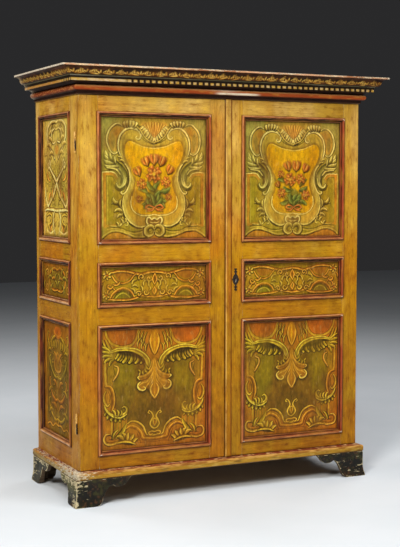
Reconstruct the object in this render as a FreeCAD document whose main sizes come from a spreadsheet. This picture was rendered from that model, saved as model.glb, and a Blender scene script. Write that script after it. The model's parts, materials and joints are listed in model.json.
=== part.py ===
import FreeCAD, Part
import math
import os
import sys

import Sketcher

# Painted two-door armoire: a frame-and-panel case on bracket feet, with a
# moulded cornice, two full-overlay frame-and-panel doors on pin hinges, a box
# lock and two slide bolts.
#
# Frame: millimetres, +Z up, the doors face -Y, +X to the right when facing
# the doors.  The origin is the middle of the bounding box at floor level.

V = FreeCAD.Vector
doc = FreeCAD.newDocument("painted_armoire")
sheet = doc.addObject("Spreadsheet::Sheet", "Dims")

# ---------------------------------------------------------------- dimensions
ROWS = [
    ("case_width", 1600.0, "outside width of the case over the side frames"),
    ("case_height", 1850.0, "base moulding top to cornice bottom"),
    ("case_depth", 650.0, "door face to the back"),
    ("case_bottom", 172.0, "height of the base moulding's top above the floor"),
    ("door_face_y", -266.0, "the doors' front face"),
    ("back_y", 384.0, "the back of the case"),
    ("door_thick", 32.0, "stiles and rails of the doors"),
    ("door_clear", 0.5, "air between door back and case front edge"),
    ("door_gap", 3.0, "air above, below and between the doors"),
    ("side_thick", 26.0, "stiles and rails of the side frames"),
    ("panel_depth", 12.0, "frame face to panel face"),
    ("panel_thick", 10.0, "panels"),
    ("groove_deep", 8.0, "grooves that hold the panels"),
    ("groove_play", 0.1, "play of a panel in its groove, each face"),
    ("panel_tongue", 7.0, "panel edge held in the groove"),
    ("tenon_long", 45.0, "tenons on the rails"),
    ("tenon_inset", 10.0, "shoulder above and below a tenon"),
    ("mould_wide", 26.0, "panel moulding, outer to inner edge"),
    ("mould_lap", 8.0, "panel moulding lying on the frame"),
    ("mould_proud", 10.0, "panel moulding standing over the frame"),
    ("left_door_wide", 793.5, "left door"),
    ("right_door_wide", 803.5, "right door"),
    ("left_hinge_stile", 101.5, "left door, hinge stile"),
    ("left_meet_stile", 84.0, "left door, meeting stile"),
    ("right_meet_stile", 101.5, "right door, meeting stile"),
    ("right_hinge_stile", 94.0, "right door, hinge stile"),
    ("door_low_a", 74.0, "door panel openings, heights over the case bottom"),
    ("door_low_b", 711.0, ""),
    ("door_mid_a", 812.0, ""),
    ("door_mid_b", 1021.0, ""),
    ("door_top_a", 1125.0, ""),
    ("door_top_b", 1762.0, ""),
    ("side_front_stile", 93.5, "side frame, front stile"),
    ("side_rear_stile", 64.0, "side frame, rear stile"),
    ("side_low_a", 107.0, "side panel openings, heights over the case bottom"),
    ("side_low_b", 718.0, ""),
    ("side_mid_a", 819.0, ""),
    ("side_mid_b", 1027.0, ""),
    ("side_top_a", 1128.0, ""),
    ("side_top_b", 1765.0, ""),
    ("board_thick", 24.0, "top board"),
    ("floor_thick", 26.0, "bottom board"),
    ("floor_rise", 12.0, "bottom board over the base moulding"),
    ("back_thick", 14.0, "back boards"),
    ("back_count", 6.0, "back boards"),
    ("back_seam", 1.0, "air between back boards"),
    ("shelf_thick", 22.0, "shelves"),
    ("shelf_front_y", -180.0, "front edge of the shelves"),
    ("shelf_play", 1.0, "air beside a shelf"),
    ("shelf_low_z", 640.0, "shelf undersides over the floor"),
    ("shelf_mid_z", 1140.0, ""),
    ("shelf_top_z", 1600.0, ""),
    ("cleat_thick", 20.0, "shelf cleats"),
    ("cleat_high", 30.0, "shelf cleats"),
    ("cornice_high", 134.0, "cornice"),
    ("cornice_over", 118.0, "cornice overhang at its top edge"),
    ("base_high", 38.0, "base moulding"),
    ("base_over", 32.0, "base moulding overhang"),
    ("foot_flare", 10.0, "feet standing out at the floor"),
    ("foot_thick", 24.0, "bracket thickness at the top"),
    ("foot_span", 297.0, "bracket length along the front"),
    ("foot_side_span", 250.0, "bracket length along the sides"),
    ("foot_back_span", 190.0, "bracket length along the back"),
    ("block_size", 40.0, "glue blocks behind the brackets"),
    ("hinge_out", 6.0, "hinge axis outside the case side"),
    ("barrel_rad", 5.5, "hinge barrel radius"),
    ("pin_rad", 3.0, "hinge pin radius"),
    ("pin_play", 0.05, "radial running clearance of the pins"),
    ("hinge_long", 98.0, "hinge barrel length"),
    ("leaf_wide", 24.0, "hinge leaf on the wood"),
    ("leaf_thick", 1.3, "hinge leaf"),
    ("hinge_low_z", 183.0, "lower hinges, bottom over the case bottom"),
    ("hinge_top_z", 1568.0, "upper hinges, bottom over the case bottom"),
    ("astragal_wide", 38.0, "cover strip on the right door"),
    ("astragal_proud", 9.0, "cover strip"),
    ("key_x", 58.0, "keyhole, from the middle"),
    ("key_z", 925.0, "keyhole, over the case bottom"),
    ("key_rad", 4.0, "keyhole, round part"),
    ("key_slot", 4.6, "keyhole, slot width"),
    ("key_drop", 15.0, "keyhole, slot length under the centre"),
    ("plate_thick", 2.0, "escutcheon"),
    ("lock_left_x", -3.0, "lock case, edge by the other door"),
    ("lock_wide", 92.0, "lock case"),
    ("lock_high", 84.0, "lock case"),
    ("lock_deep", 22.0, "lock case"),
    ("lock_wall", 2.0, "lock case sheet"),
    ("bolt_high", 20.0, "lock bolt"),
    ("bolt_thick", 10.0, "lock bolt"),
    ("bolt_long", 70.0, "lock bolt"),
    ("bolt_play", 0.5, "air around the lock bolt"),
    ("slide_wide", 10.0, "slide bolt bar"),
    ("slide_thick", 8.0, "slide bolt bar"),
    ("slide_long", 170.0, "slide bolt bar"),
    ("slide_x", -40.0, "slide bolts, from the middle"),
    ("slide_travel", 15.0, "slide bolts' throw"),
    ("slide_play", 0.5, "air around a slide bolt"),
]


class Dim:
    """A number together with the spreadsheet expression that drives it."""

    def __init__(self, value, text):
        self.value = float(value)
        self.text = text

    def _other(self, other):
        return other if isinstance(other, Dim) else Dim(other, repr(float(other)))

    def __add__(self, other):
        o = self._other(other)
        return Dim(self.value + o.value, "(%s + %s)" % (self.text, o.text))

    __radd__ = __add__

    def __sub__(self, other):
        o = self._other(other)
        return Dim(self.value - o.value, "(%s - %s)" % (self.text, o.text))

    def __rsub__(self, other):
        return self._other(other) - self

    def __mul__(self, other):
        o = self._other(other)
        return Dim(self.value * o.value, "(%s * %s)" % (self.text, o.text))

    __rmul__ = __mul__

    def __truediv__(self, other):
        o = self._other(other)
        return Dim(self.value / o.value, "(%s / %s)" % (self.text, o.text))

    def __neg__(self):
        return Dim(-self.value, "(0 - %s)" % self.text)


sheet.set("A1", "name")
sheet.set("B1", "mm")
sheet.set("C1", "meaning")
D = {}
for row, (alias, value, meaning) in enumerate(ROWS, start=2):
    sheet.set("A%d" % row, alias)
    sheet.set("B%d" % row, "%g" % value)
    sheet.set("C%d" % row, meaning)
    sheet.setAlias("B%d" % row, alias)
    D[alias] = Dim(value, "Dims." + alias)
doc.recompute()


def dim(x):
    return x if isinstance(x, Dim) else Dim(x, repr(float(x)))


NODES = []          # (node name, object) in the order they are written
CUTS = []           # (cutting feature, feature before it): each must remove wood


def node(label, obj):
    obj.Label = label
    NODES.append((label, obj))
    return obj


# ------------------------------------------------------------------- helpers
def place(obj, x, y, z, rot=None):
    """Put an object at (x, y, z), each bound to the sheet, turned by rot."""
    x, y, z = dim(x), dim(y), dim(z)
    obj.Placement = FreeCAD.Placement(V(x.value, y.value, z.value),
                                      rot or FreeCAD.Rotation())
    obj.setExpression("Placement.Base.x", x.text)
    obj.setExpression("Placement.Base.y", y.text)
    obj.setExpression("Placement.Base.z", z.text)
    return obj


def box(name, x, y, z, lx, ly, lz, rot=None):
    b = doc.addObject("Part::Box", name)
    for prop, size in (("Length", lx), ("Width", ly), ("Height", lz)):
        size = dim(size)
        setattr(b, prop, size.value)
        b.setExpression(prop, size.text)
    return place(b, x, y, z, rot)


def cylinder(name, x, y, z, radius, height, rot=None):
    c = doc.addObject("Part::Cylinder", name)
    radius, height = dim(radius), dim(height)
    c.Radius = radius.value
    c.Height = height.value
    c.setExpression("Radius", radius.text)
    c.setExpression("Height", height.text)
    return place(c, x, y, z, rot)


def group(name, members):
    g = doc.addObject("Part::Compound", name)
    g.Links = members
    return g


def fuse(name, members):
    f = doc.addObject("Part::MultiFuse", name)
    f.Shapes = members
    return f


def cut(name, base, tool):
    c = doc.addObject("Part::Cut", name)
    c.Base = base
    c.Tool = tool
    return c


def new_body(name):
    return doc.addObject("PartDesign::Body", name)


def origin_plane(body, role):
    for feature in body.Origin.OriginFeatures:
        if feature.Role == role:
            return feature
    raise ValueError(role)


def sketch(body, role, outlines, name, offset=None):
    """A sketch of closed outlines on one of the body's origin planes.

    An outline is a list of corners (u, v), or (u, v, (mu, mv)) where the edge
    that ends at the corner is an arc through (mu, mv).  Every corner is tied
    to the sketch origin by distances that the sheet drives.
    """
    s = body.newObject("Sketcher::SketchObject", name)
    s.AttachmentSupport = [(origin_plane(body, role), "")]
    s.MapMode = "FlatFace"
    if offset is not None:
        offset = dim(offset)
        s.AttachmentOffset = FreeCAD.Placement(V(0, 0, offset.value), FreeCAD.Rotation())
        s.setExpression("AttachmentOffset.Base.z", offset.text)
    for outline in outlines:
        pts = [(dim(c[0]), dim(c[1])) for c in outline]
        n = len(pts)
        first = s.GeometryCount
        ends = []
        for i in range(n):
            a, b = pts[i - 1], pts[i]
            pa = V(a[0].value, a[1].value, 0)
            pb = V(b[0].value, b[1].value, 0)
            if len(outline[i]) > 2:
                mid = outline[i][2]
                pm = V(dim(mid[0]).value, dim(mid[1]).value, 0)
                geo = Part.Arc(pa, pm, pb)
                arc = geo.toShape().Curve
                turn = (pm - pa).cross(pb - pm).z
                idx = s.addGeometry(geo, False)
                # an arc's own start and end run anticlockwise
                ends.append((2, 1) if turn < 0 else (1, 2))
                s.addConstraint(Sketcher.Constraint("Radius", idx, arc.Radius))
            else:
                s.addGeometry(Part.LineSegment(pa, pb), False)
                ends.append((1, 2))
        for i in range(n):
            j = (i + 1) % n
            s.addConstraint(Sketcher.Constraint(
                "Coincident", first + i, ends[i][1], first + j, ends[j][0]))
        for i in range(n):
            u, v = pts[i]
            geo, pos = first + i, ends[i][1]
            for kind, d, zero in (("DistanceX", u, "PointOnObjectY"),
                                  ("DistanceY", v, "PointOnObjectX")):
                if abs(d.value) < 1e-9:
                    axis = -2 if kind == "DistanceX" else -1
                    s.addConstraint(Sketcher.Constraint("PointOnObject", geo, pos, axis))
                else:
                    c = s.addConstraint(Sketcher.Constraint(kind, -1, 1, geo, pos, d.value))
                    s.setExpression("Constraints[%d]" % c, d.text)
    return s


def pad(body, sk, length, name, reversed_=False):
    p = body.newObject("PartDesign::Pad", name)
    p.Profile = sk
    length = dim(length)
    p.Length = length.value
    p.setExpression("Length", length.text)
    p.Reversed = reversed_
    sk.Visibility = False
    return p


def pocket(body, sk, length, name, reversed_=False):
    """A pocket; length None cuts right through both ways."""
    before = body.Tip
    p = body.newObject("PartDesign::Pocket", name)
    p.Profile = sk
    if length is None:
        p.Type = "ThroughAll"
        p.Midplane = True
    else:
        length = dim(length)
        p.Length = length.value
        p.setExpression("Length", length.text)
        p.Reversed = reversed_
    sk.Visibility = False
    CUTS.append((p, before))
    return p


def rect(u0, v0, u1, v1):
    return [(u0, v0), (u1, v0), (u1, v1), (u0, v1)]


ROT_Z = {a: FreeCAD.Rotation(V(0, 0, 1), a) for a in (0, 90, -90, 180)}

half = D["case_width"] / 2
z0 = D["case_bottom"]                       # case bottom, base moulding top
z1 = z0 + D["case_height"]                  # cornice bottom
z_base = z0 - D["base_high"]                # base moulding bottom, feet top
y_face = D["door_face_y"]
y_door = y_face + D["door_thick"]           # doors' back
y_case = y_door + D["door_clear"]           # case front edges
y_back = D["back_y"]
inner = half - D["side_thick"]              # inner face of the side frames


# -------------------------------------------------------- frame-and-panel leaf
class Leaf:
    """A frame-and-panel leaf seen from its face.

    Local axes: x along the leaf to the right, y from the face inwards, z up.
    """

    def __init__(self, prefix, turn, origin, wide, high, thick, stile_a, stile_b,
                 openings, names):
        self.prefix, self.turn = prefix, turn
        self.ox, self.oy, self.oz = [dim(c) for c in origin]
        self.wide, self.high, self.thick = dim(wide), dim(high), dim(thick)
        self.sa, self.sb = dim(stile_a), dim(stile_b)
        self.openings = openings            # [(low, high)] from the leaf's bottom
        self.names = names
        self.in_a, self.in_b = self.sa, self.wide - self.sb
        self.g0 = D["panel_depth"] - D["groove_play"]
        self.g1 = D["panel_depth"] + D["panel_thick"] + D["groove_play"]

    def at(self, x, y, z):
        x, y, z = dim(x), dim(y), dim(z)
        if self.turn == 0:
            return self.ox + x, self.oy + y, self.oz + z
        if self.turn == 90:                 # x runs along +Y, depth along -X
            return self.ox - y, self.oy + x, self.oz + z
        return self.ox + y, self.oy - x, self.oz + z    # -90: x along -Y, depth +X

    def put(self, obj, x, y, z, rot=None):
        px, py, pz = self.at(x, y, z)
        r = ROT_Z[self.turn]
        return place(obj, px, py, pz, r.multiply(rot) if rot else r)

    def rails_z(self):
        lows = [dim(0)] + [b for a, b in self.openings]
        tops = [a for a, b in self.openings] + [self.high]
        return list(zip(lows, tops))

    def stile(self, name, wide, at_x, inner_edge_right, extra=None):
        b = new_body(name)
        pad(b, sketch(b, "XY_Plane", [rect(0, 0, wide, self.thick)], name + "_plan"),
            self.high, name + "_board")
        if inner_edge_right:
            u0, u1 = wide - D["groove_deep"], wide + 2
        else:
            u0, u1 = dim(-2), D["groove_deep"]
        pocket(b, sketch(b, "XY_Plane", [rect(u0, self.g0, u1, self.g1)], name + "_groove_plan"),
               None, name + "_groove")
        holes = []
        for lo, hi in self.rails_z():
            holes.append(rect(self.g0, lo + D["tenon_inset"], self.g1, hi - D["tenon_inset"]))
        sk = sketch(b, "YZ_Plane", holes, name + "_mortise_plan",
                    wide if inner_edge_right else 0)
        pocket(b, sk, D["tenon_long"] + 1, name + "_mortises", not inner_edge_right)
        if extra:
            extra(b, name)
        self.put(b, at_x, 0, 0)
        return b

    def rail(self, name, lo, hi, groove_below, groove_above):
        long = self.in_b - self.in_a
        high = hi - lo
        b = new_body(name)
        pad(b, sketch(b, "XY_Plane", [rect(0, 0, long, self.thick)], name + "_plan"),
            high, name + "_board")
        t0, t1 = D["panel_depth"], D["panel_depth"] + D["panel_thick"]
        sk = sketch(b, "XY_Plane",
                    [rect(-D["tenon_long"], t0, long + D["tenon_long"], t1)],
                    name + "_tenon_plan", D["tenon_inset"])
        pad(b, sk, high - D["tenon_inset"] * 2, name + "_tenons")
        grooves = []
        if groove_below:
            grooves.append(rect(self.g0, -2, self.g1, D["groove_deep"]))
        if groove_above:
            grooves.append(rect(self.g0, high - D["groove_deep"], self.g1, high + 2))
        sk = sketch(b, "YZ_Plane", grooves, name + "_groove_plan", 0)
        pocket(b, sk, long, name + "_grooves", True)
        self.put(b, self.in_a, 0, lo)
        return b

    def panel(self, name, lo, hi):
        p = doc.addObject("Part::Box", name)
        t = D["panel_tongue"]
        for prop, size in (("Length", self.in_b - self.in_a + t * 2),
                           ("Width", D["panel_thick"]),
                           ("Height", hi - lo + t * 2)):
            setattr(p, prop, size.value)
            p.setExpression(prop, size.text)
        return self.put(p, self.in_a - t, D["panel_depth"], lo - t)

    def mouldings(self, name):
        """Four mitred lengths of bolection moulding round each panel."""
        bars = []
        lap = D["mould_lap"]
        wide = self.in_b - self.in_a + lap * 2
        along = FreeCAD.Rotation(V(1, 0, 0), 90)
        for k, (lo, hi) in enumerate(self.openings):
            x0, x1 = self.in_a - lap, self.in_b + lap
            a, b = lo - lap, hi + lap
            tall = hi - lo + lap * 2
            for tag, length, x, z, spin in (
                    ("sill", wide, x0, a, 0), ("right", tall, x1, a, -90),
                    ("head", wide, x1, b, 180), ("left", tall, x0, b, 90)):
                bar = moulding_bar("%s_%d_%s" % (name, k, tag), panel_profile(),
                                   length, D["mould_wide"], True, True)
                rot = FreeCAD.Rotation(V(0, 1, 0), spin).multiply(along)
                self.put(bar, x, D["panel_depth"], z, rot)
                bars.append(bar)
        return bars

    def build(self, extra_a=None, extra_b=None):
        n = self.names
        node(n["stile_a"], self.stile(n["stile_a"], self.sa, 0, True, extra_a))
        node(n["stile_b"], self.stile(n["stile_b"], self.sb, self.in_b, False, extra_b))
        rails = []
        zs = self.rails_z()
        for k, (lo, hi) in enumerate(zs):
            rails.append(self.rail("%s_%d" % (n["rails"], k), lo, hi, k > 0, k < len(zs) - 1))
        node(n["rails"], group(n["rails"] + "_group", rails))
        for label, (lo, hi) in zip(n["panels"], self.openings):
            node(label, self.panel(label, lo, hi))
        node(n["mouldings"], group(n["mouldings"] + "_group", self.mouldings(n["mouldings"])))


def panel_profile():
    """Bolection section: u inwards from the outer edge, w up from the panel."""
    w, lap = D["mould_wide"], D["mould_lap"]
    face = D["panel_depth"]
    top = face + D["mould_proud"]
    return [(lap, 0), (w, 0), (w, 5),
            (w - 8, face + 1, (w - 5.5, 7.6)),
            (w - 9, face + 3),
            (2, face + 3, (w * 0.365, top)),
            (0, face + 3), (0, face), (lap, face)]


def moulding_bar(name, profile, length, mitre, start, end):
    """A length of moulding along +X, u towards +Y, w towards +Z."""
    length, mitre = dim(length), dim(mitre)
    b = new_body(name)
    pad(b, sketch(b, "YZ_Plane", [profile], name + "_section"), length, name + "_length")
    cuts = []
    far = dim(400)
    if start:
        cuts.append([(-10, -10), (mitre, mitre), (mitre, far), (-10, far)])
    if end:
        cuts.append([(length + 10, -10), (length + 10, far), (length - mitre, far),
                     (length - mitre, mitre)])
    if cuts:
        pocket(b, sketch(b, "XY_Plane", cuts, name + "_mitre_plan"), None, name + "_mitres")
    return b


# ------------------------------------------------------------------- the case
top_board = new_body("top_board")
pad(top_board, sketch(top_board, "XY_Plane",
                      [rect(0, 0, inner * 2, y_back - D["back_thick"] - y_case)],
                      "top_board_plan"), D["board_thick"], "top_board_plank")
bolt_y = D["slide_thick"] / 2 + 3.5         # slide bolt centre behind the door's back
socket_u = inner + D["slide_x"]
sw = D["slide_wide"] / 2 + D["slide_play"]
st_ = D["slide_thick"] / 2 + D["slide_play"]
sock_y = bolt_y - D["door_clear"]
pocket(top_board, sketch(top_board, "XY_Plane",
                         [rect(socket_u - sw, sock_y - st_, socket_u + sw, sock_y + st_)],
                         "top_socket_plan"),
       D["slide_travel"] + 3, "top_socket", True)
place(top_board, -inner, y_case, z1 - D["board_thick"])
node("top_board", top_board)

bottom_board = new_body("bottom_board")
pad(bottom_board, sketch(bottom_board, "XY_Plane",
                         [rect(0, 0, inner * 2, y_back - D["back_thick"] - y_case)],
                         "bottom_board_plan"), D["floor_thick"], "bottom_board_plank")
pocket(bottom_board, sketch(bottom_board, "XY_Plane",
                            [rect(socket_u - sw, sock_y - st_, socket_u + sw, sock_y + st_)],
                            "bottom_socket_plan", D["floor_thick"]),
       D["slide_travel"] + 3, "bottom_socket")
place(bottom_board, -inner, y_case, z0 + D["floor_rise"] - D["floor_thick"])
node("bottom_board", bottom_board)
floor_top = z0 + D["floor_rise"]
ceiling = z1 - D["board_thick"]

# Upright back boards, side by side between the side frames.
boards = []
count = int(D["back_count"].value)
pitch = inner * 2 / D["back_count"]
for i in range(count):
    boards.append(box("back_board_%d" % i, -inner + pitch * i + D["back_seam"] / 2,
                      y_back - D["back_thick"], z_base,
                      pitch - D["back_seam"], D["back_thick"], z1 - z_base))
node("back_boards", group("back_boards_group", boards))

# Shelves on cleats.
cleats = []
for label, z in (("lower_shelf", D["shelf_low_z"]), ("middle_shelf", D["shelf_mid_z"]),
                 ("upper_shelf", D["shelf_top_z"])):
    node(label, box(label, -inner + D["shelf_play"], D["shelf_front_y"], z,
                    inner * 2 - D["shelf_play"] * 2,
                    y_back - D["back_thick"] - D["shelf_front_y"] - D["shelf_play"],
                    D["shelf_thick"]))
    for side, x in (("left", -inner), ("right", inner - D["cleat_thick"])):
        cleats.append(box("%s_%s_cleat" % (label, side), x, D["shelf_front_y"] + 10,
                          z - D["cleat_high"], D["cleat_thick"],
                          y_back - D["back_thick"] - D["shelf_front_y"] - 12, D["cleat_high"]))
node("shelf_cleats", group("shelf_cleats_group", cleats))

# Side frames.
side_wide = y_back - y_case
side_open = [(D["side_low_a"] + D["base_high"], D["side_low_b"] + D["base_high"]),
             (D["side_mid_a"] + D["base_high"], D["side_mid_b"] + D["base_high"]),
             (D["side_top_a"] + D["base_high"], D["side_top_b"] + D["base_high"])]
HINGES = (D["hinge_low_z"], D["hinge_top_z"])


def leaf_recess(edge, face_y, flip, bottom_offset):
    """Shallow recesses for two hinge leaves, in the board's edge or back."""

    def extra(b, name):
        outs = []
        for hz in HINGES:
            lo = hz + bottom_offset - 0.5
            hi = hz + bottom_offset + D["hinge_long"] + 0.5
            if edge == "side":              # case stile: recess in its front edge
                outs.append(rect(-2, lo, D["leaf_wide"] + 0.5, hi))
            elif edge == "low_x":           # door stile, barrel at local x = 0
                outs.append(rect(-2, lo, D["leaf_wide"] + 0.5, hi))
            else:                           # door stile, barrel at its far edge
                wide = dim(edge)
                outs.append(rect(wide - D["leaf_wide"] - 0.5, lo, wide + 2, hi))
        plane = "YZ_Plane" if edge == "side" else "XZ_Plane"
        sk = sketch(b, plane, outs, name + "_leaf_plan", face_y)
        pocket(b, sk, D["leaf_thick"] + 0.2, name + "_leaf_recess", flip)

    return extra


left_side = Leaf("left_side", -90, (-half, y_back, z_base), side_wide, z1 - z_base,
                 D["side_thick"], D["side_rear_stile"], D["side_front_stile"], side_open,
                 {"stile_a": "left_side_rear_stile", "stile_b": "left_side_front_stile",
                  "rails": "left_side_rails",
                  "panels": ["left_side_lower_panel", "left_side_middle_panel",
                             "left_side_upper_panel"],
                  "mouldings": "left_side_panel_mouldings"})
left_side.build(None, leaf_recess("side", D["side_front_stile"], False, D["base_high"]))
right_side = Leaf("right_side", 90, (half, y_case, z_base), side_wide, z1 - z_base,
                  D["side_thick"], D["side_front_stile"], D["side_rear_stile"], side_open,
                  {"stile_a": "right_side_front_stile", "stile_b": "right_side_rear_stile",
                   "rails": "right_side_rails",
                   "panels": ["right_side_lower_panel", "right_side_middle_panel",
                              "right_side_upper_panel"],
                   "mouldings": "right_side_panel_mouldings"})
right_side.build(leaf_recess("side", 0, True, D["base_high"]), None)


# Cornice: three mitred lengths that sit on the case.
def cornice_profile(deep):
    o = D["cornice_over"]
    top = D["cornice_high"]
    return [(o - 9, 0), (deep, 0), (deep, 34), (o + 10, 34), (45, top), (0, top), (0, top - 9),
            (14, top - 12), (27, top - 20, (22, top - 14)), (32, top - 32),
            (44, top - 47, (37, top - 43)), (o - 70, top - 47), (o - 64, top - 49),
            (o - 64, top - 58), (o - 58, top - 59), (o - 58, top - 76),
            (o - 54, top - 77), (o - 20, top - 86, (o - 30, top - 79)),
            (o - 16, top - 88), (o - 14, 15, (o - 29.5, 31)),
            (o - 9, 12)]


front_deep = D["cornice_over"] + D["door_thick"] + 20
side_deep = D["cornice_over"] + D["side_thick"]
corner_x = half + D["cornice_over"]
corner_y = y_face - D["cornice_over"]
b = moulding_bar("cornice_front", cornice_profile(front_deep), corner_x * 2, side_deep, True, True)
node("cornice_front", place(b, -corner_x, corner_y, z1))
b = moulding_bar("cornice_left", cornice_profile(side_deep), y_back - corner_y, side_deep, False, True)
node("cornice_left", place(b, -corner_x, y_back, z1, ROT_Z[-90]))
b = moulding_bar("cornice_right", cornice_profile(side_deep), y_back - corner_y, side_deep, True, False)
node("cornice_right", place(b, corner_x, corner_y, z1, ROT_Z[90]))


# Base moulding: three mitred lengths; the front one runs under the doors.
def base_profile(deep):
    high = D["base_high"]
    return [(3, 0), (deep, 0), (deep, high), (D["base_over"] - 1, high),
            (10, high - 4), (0, high - 14, (2.5, high - 7.5)), (0, 4), ]


bx, by = half + D["base_over"], y_face - D["base_over"]
b = moulding_bar("base_moulding_front", base_profile(y_case - by), bx * 2, D["base_over"], True, True)
node("base_moulding_front", place(b, -bx, by, z_base))
b = moulding_bar("base_moulding_left", base_profile(D["base_over"]), y_back - by, D["base_over"], False, True)
node("base_moulding_left", place(b, -bx, y_back, z_base, ROT_Z[-90]))
b = moulding_bar("base_moulding_right", base_profile(D["base_over"]), y_back - by, D["base_over"], True, False)
node("base_moulding_right", place(b, bx, by, z_base, ROT_Z[90]))


# Bracket feet.
def bracket(name, hand, span, mitred, flared):
    """A shaped bracket; its corner is at x = 0 and it runs to hand * x."""
    span = dim(span)
    high = z_base
    flare = D["foot_flare"]
    thick = D["foot_thick"] + flare if flared else D["foot_thick"]
    b = new_body(name)
    k = span / 297.0

    def pt(x, z, mid=None):
        x = (k * x + flare) * hand if x else dim(0)
        z = high + z
        if mid:
            return (x, z, ((k * mid[0] + flare) * hand, high + mid[1]))
        return (x, z)

    outline = [(0, 0), (0, high), pt(297, 0), pt(276, -19), pt(225, -49, (253, -42)),
               pt(190, -36, (206, -46)), pt(160, -62, (176, -43)), pt(141, -98),
               pt(108, -133.9, (131, -122))]
    outline[-1] = ((k * 108 + flare) * hand, dim(0), outline[-1][2])
    pad(b, sketch(b, "XZ_Plane", [outline], name + "_outline"), thick, name + "_board", True)
    if flared:
        face = [(-5, high + 5), (flare, high + 5), (flare, high * 0.55),
                (0, 6, (flare * 0.75, high * 0.28)), (0, -5), (-5, -5)]
        pocket(b, sketch(b, "YZ_Plane", [face], name + "_flare_plan"), None, name + "_flare")
    if mitred:
        tri = [(-5 * hand, -5), (60 * hand, 60), (-5 * hand, 60)]
        pocket(b, sketch(b, "XY_Plane", [tri], name + "_mitre_plan"), None, name + "_mitre")
    return b


fx = bx + D["foot_flare"]
fy = by - D["foot_flare"]
bs = D["block_size"]
inx = fx - D["foot_thick"] - D["foot_flare"]
iny = fy + D["foot_thick"] + D["foot_flare"]
fs, ss, rs = D["foot_span"], D["foot_side_span"], D["foot_back_span"]

parts = [place(bracket("front_left_front_bracket", 1, fs, True, True), -fx, fy, 0),
         place(bracket("front_left_side_bracket", -1, ss, True, True), -fx, fy, 0, ROT_Z[-90]),
         box("front_left_block", -inx, iny, 6, bs, bs, z_base - 6)]
node("foot_front_left", group("foot_front_left_group", parts))
parts = [place(bracket("front_right_front_bracket", -1, fs, True, True), fx, fy, 0),
         place(bracket("front_right_side_bracket", 1, ss, True, True), fx, fy, 0, ROT_Z[90]),
         box("front_right_block", inx - bs, iny, 6, bs, bs, z_base - 6)]
node("foot_front_right", group("foot_front_right_group", parts))
rear_in = y_back - D["foot_thick"]
parts = [place(bracket("rear_left_side_bracket", 1, ss, False, True), -fx, y_back, 0, ROT_Z[-90]),
         place(bracket("rear_left_back_bracket", -1, rs, False, False), -inx, y_back, 0, ROT_Z[180]),
         box("rear_left_block", -inx, rear_in - bs, 6, bs, bs, z_base - 6)]
node("foot_rear_left", group("foot_rear_left_group", parts))
parts = [place(bracket("rear_right_side_bracket", -1, ss, False, True), fx, y_back, 0, ROT_Z[90]),
         place(bracket("rear_right_back_bracket", 1, rs, False, False), inx, y_back, 0, ROT_Z[180]),
         box("rear_right_block", inx - bs, rear_in - bs, 6, bs, bs, z_base - 6)]
node("foot_rear_right", group("foot_rear_right_group", parts))

# ------------------------------------------------------------------ the doors
dz = z0 + D["door_gap"]
door_high = D["case_height"] - D["door_gap"] * 2
door_open = [(D["door_low_a"] - D["door_gap"], D["door_low_b"] - D["door_gap"]),
             (D["door_mid_a"] - D["door_gap"], D["door_mid_b"] - D["door_gap"]),
             (D["door_top_a"] - D["door_gap"], D["door_top_b"] - D["door_gap"])]
right_x = half - D["right_door_wide"]       # free edge of the right door


def door_names(side, a, b):
    return {"stile_a": "%s_door_%s_stile" % (side, a), "stile_b": "%s_door_%s_stile" % (side, b),
            "rails": "%s_door_rails" % side,
            "panels": ["%s_door_%s_panel" % (side, p) for p in ("lower", "middle", "upper")],
            "mouldings": "%s_door_panel_mouldings" % side}


key_u = D["key_x"] - right_x
key_v = z0 + D["key_z"] - dz


def keyhole_outline(u, v):
    """A round hole with a slot hanging under it, as one outline."""
    r, s = D["key_rad"], D["key_slot"] / 2
    drop = math.sqrt(D["key_rad"].value ** 2 - (D["key_slot"].value / 2) ** 2)
    return [(u - s, v - drop), (u - s, v - D["key_drop"]), (u + s, v - D["key_drop"]),
            (u + s, v - drop), (u, v + r, (u + r * 0.9, v + r * 0.43588989)),
            (u - s, v - drop, (u - r * 0.9, v + r * 0.43588989))][1:]


def keyhole(b, name):
    sk = sketch(b, "XZ_Plane", [keyhole_outline(key_u, key_v)], name + "_keyhole_plan")
    pocket(b, sk, None, name + "_keyhole")


left_door = Leaf("left_door", 0, (-half, y_face, dz), D["left_door_wide"], door_high,
                 D["door_thick"], D["left_hinge_stile"], D["left_meet_stile"], door_open,
                 door_names("left", "hinge", "meeting"))
left_door.build(leaf_recess("low_x", -D["door_thick"], True, -D["door_gap"]), None)
right_door = Leaf("right_door", 0, (right_x, y_face, dz), D["right_door_wide"], door_high,
                  D["door_thick"], D["right_meet_stile"], D["right_hinge_stile"], door_open,
                  door_names("right", "meeting", "hinge"))
right_door.build(keyhole, leaf_recess(D["right_hinge_stile"], -D["door_thick"], True,
                                      -D["door_gap"]))

# Cover strip on the right door's free edge.
astragal = new_body("astragal")
aw, ap = D["astragal_wide"], D["astragal_proud"]
pad(astragal, sketch(astragal, "XY_Plane",
                     [[(0, 0), (0, -4), (3, -6.5), (aw - 3, -6.5, (aw / 2, -ap)), (aw, -4), (aw, 0)]],
                     "astragal_section"), door_high, "astragal_strip")
node("astragal", place(astragal, right_x, y_face, dz))


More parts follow.
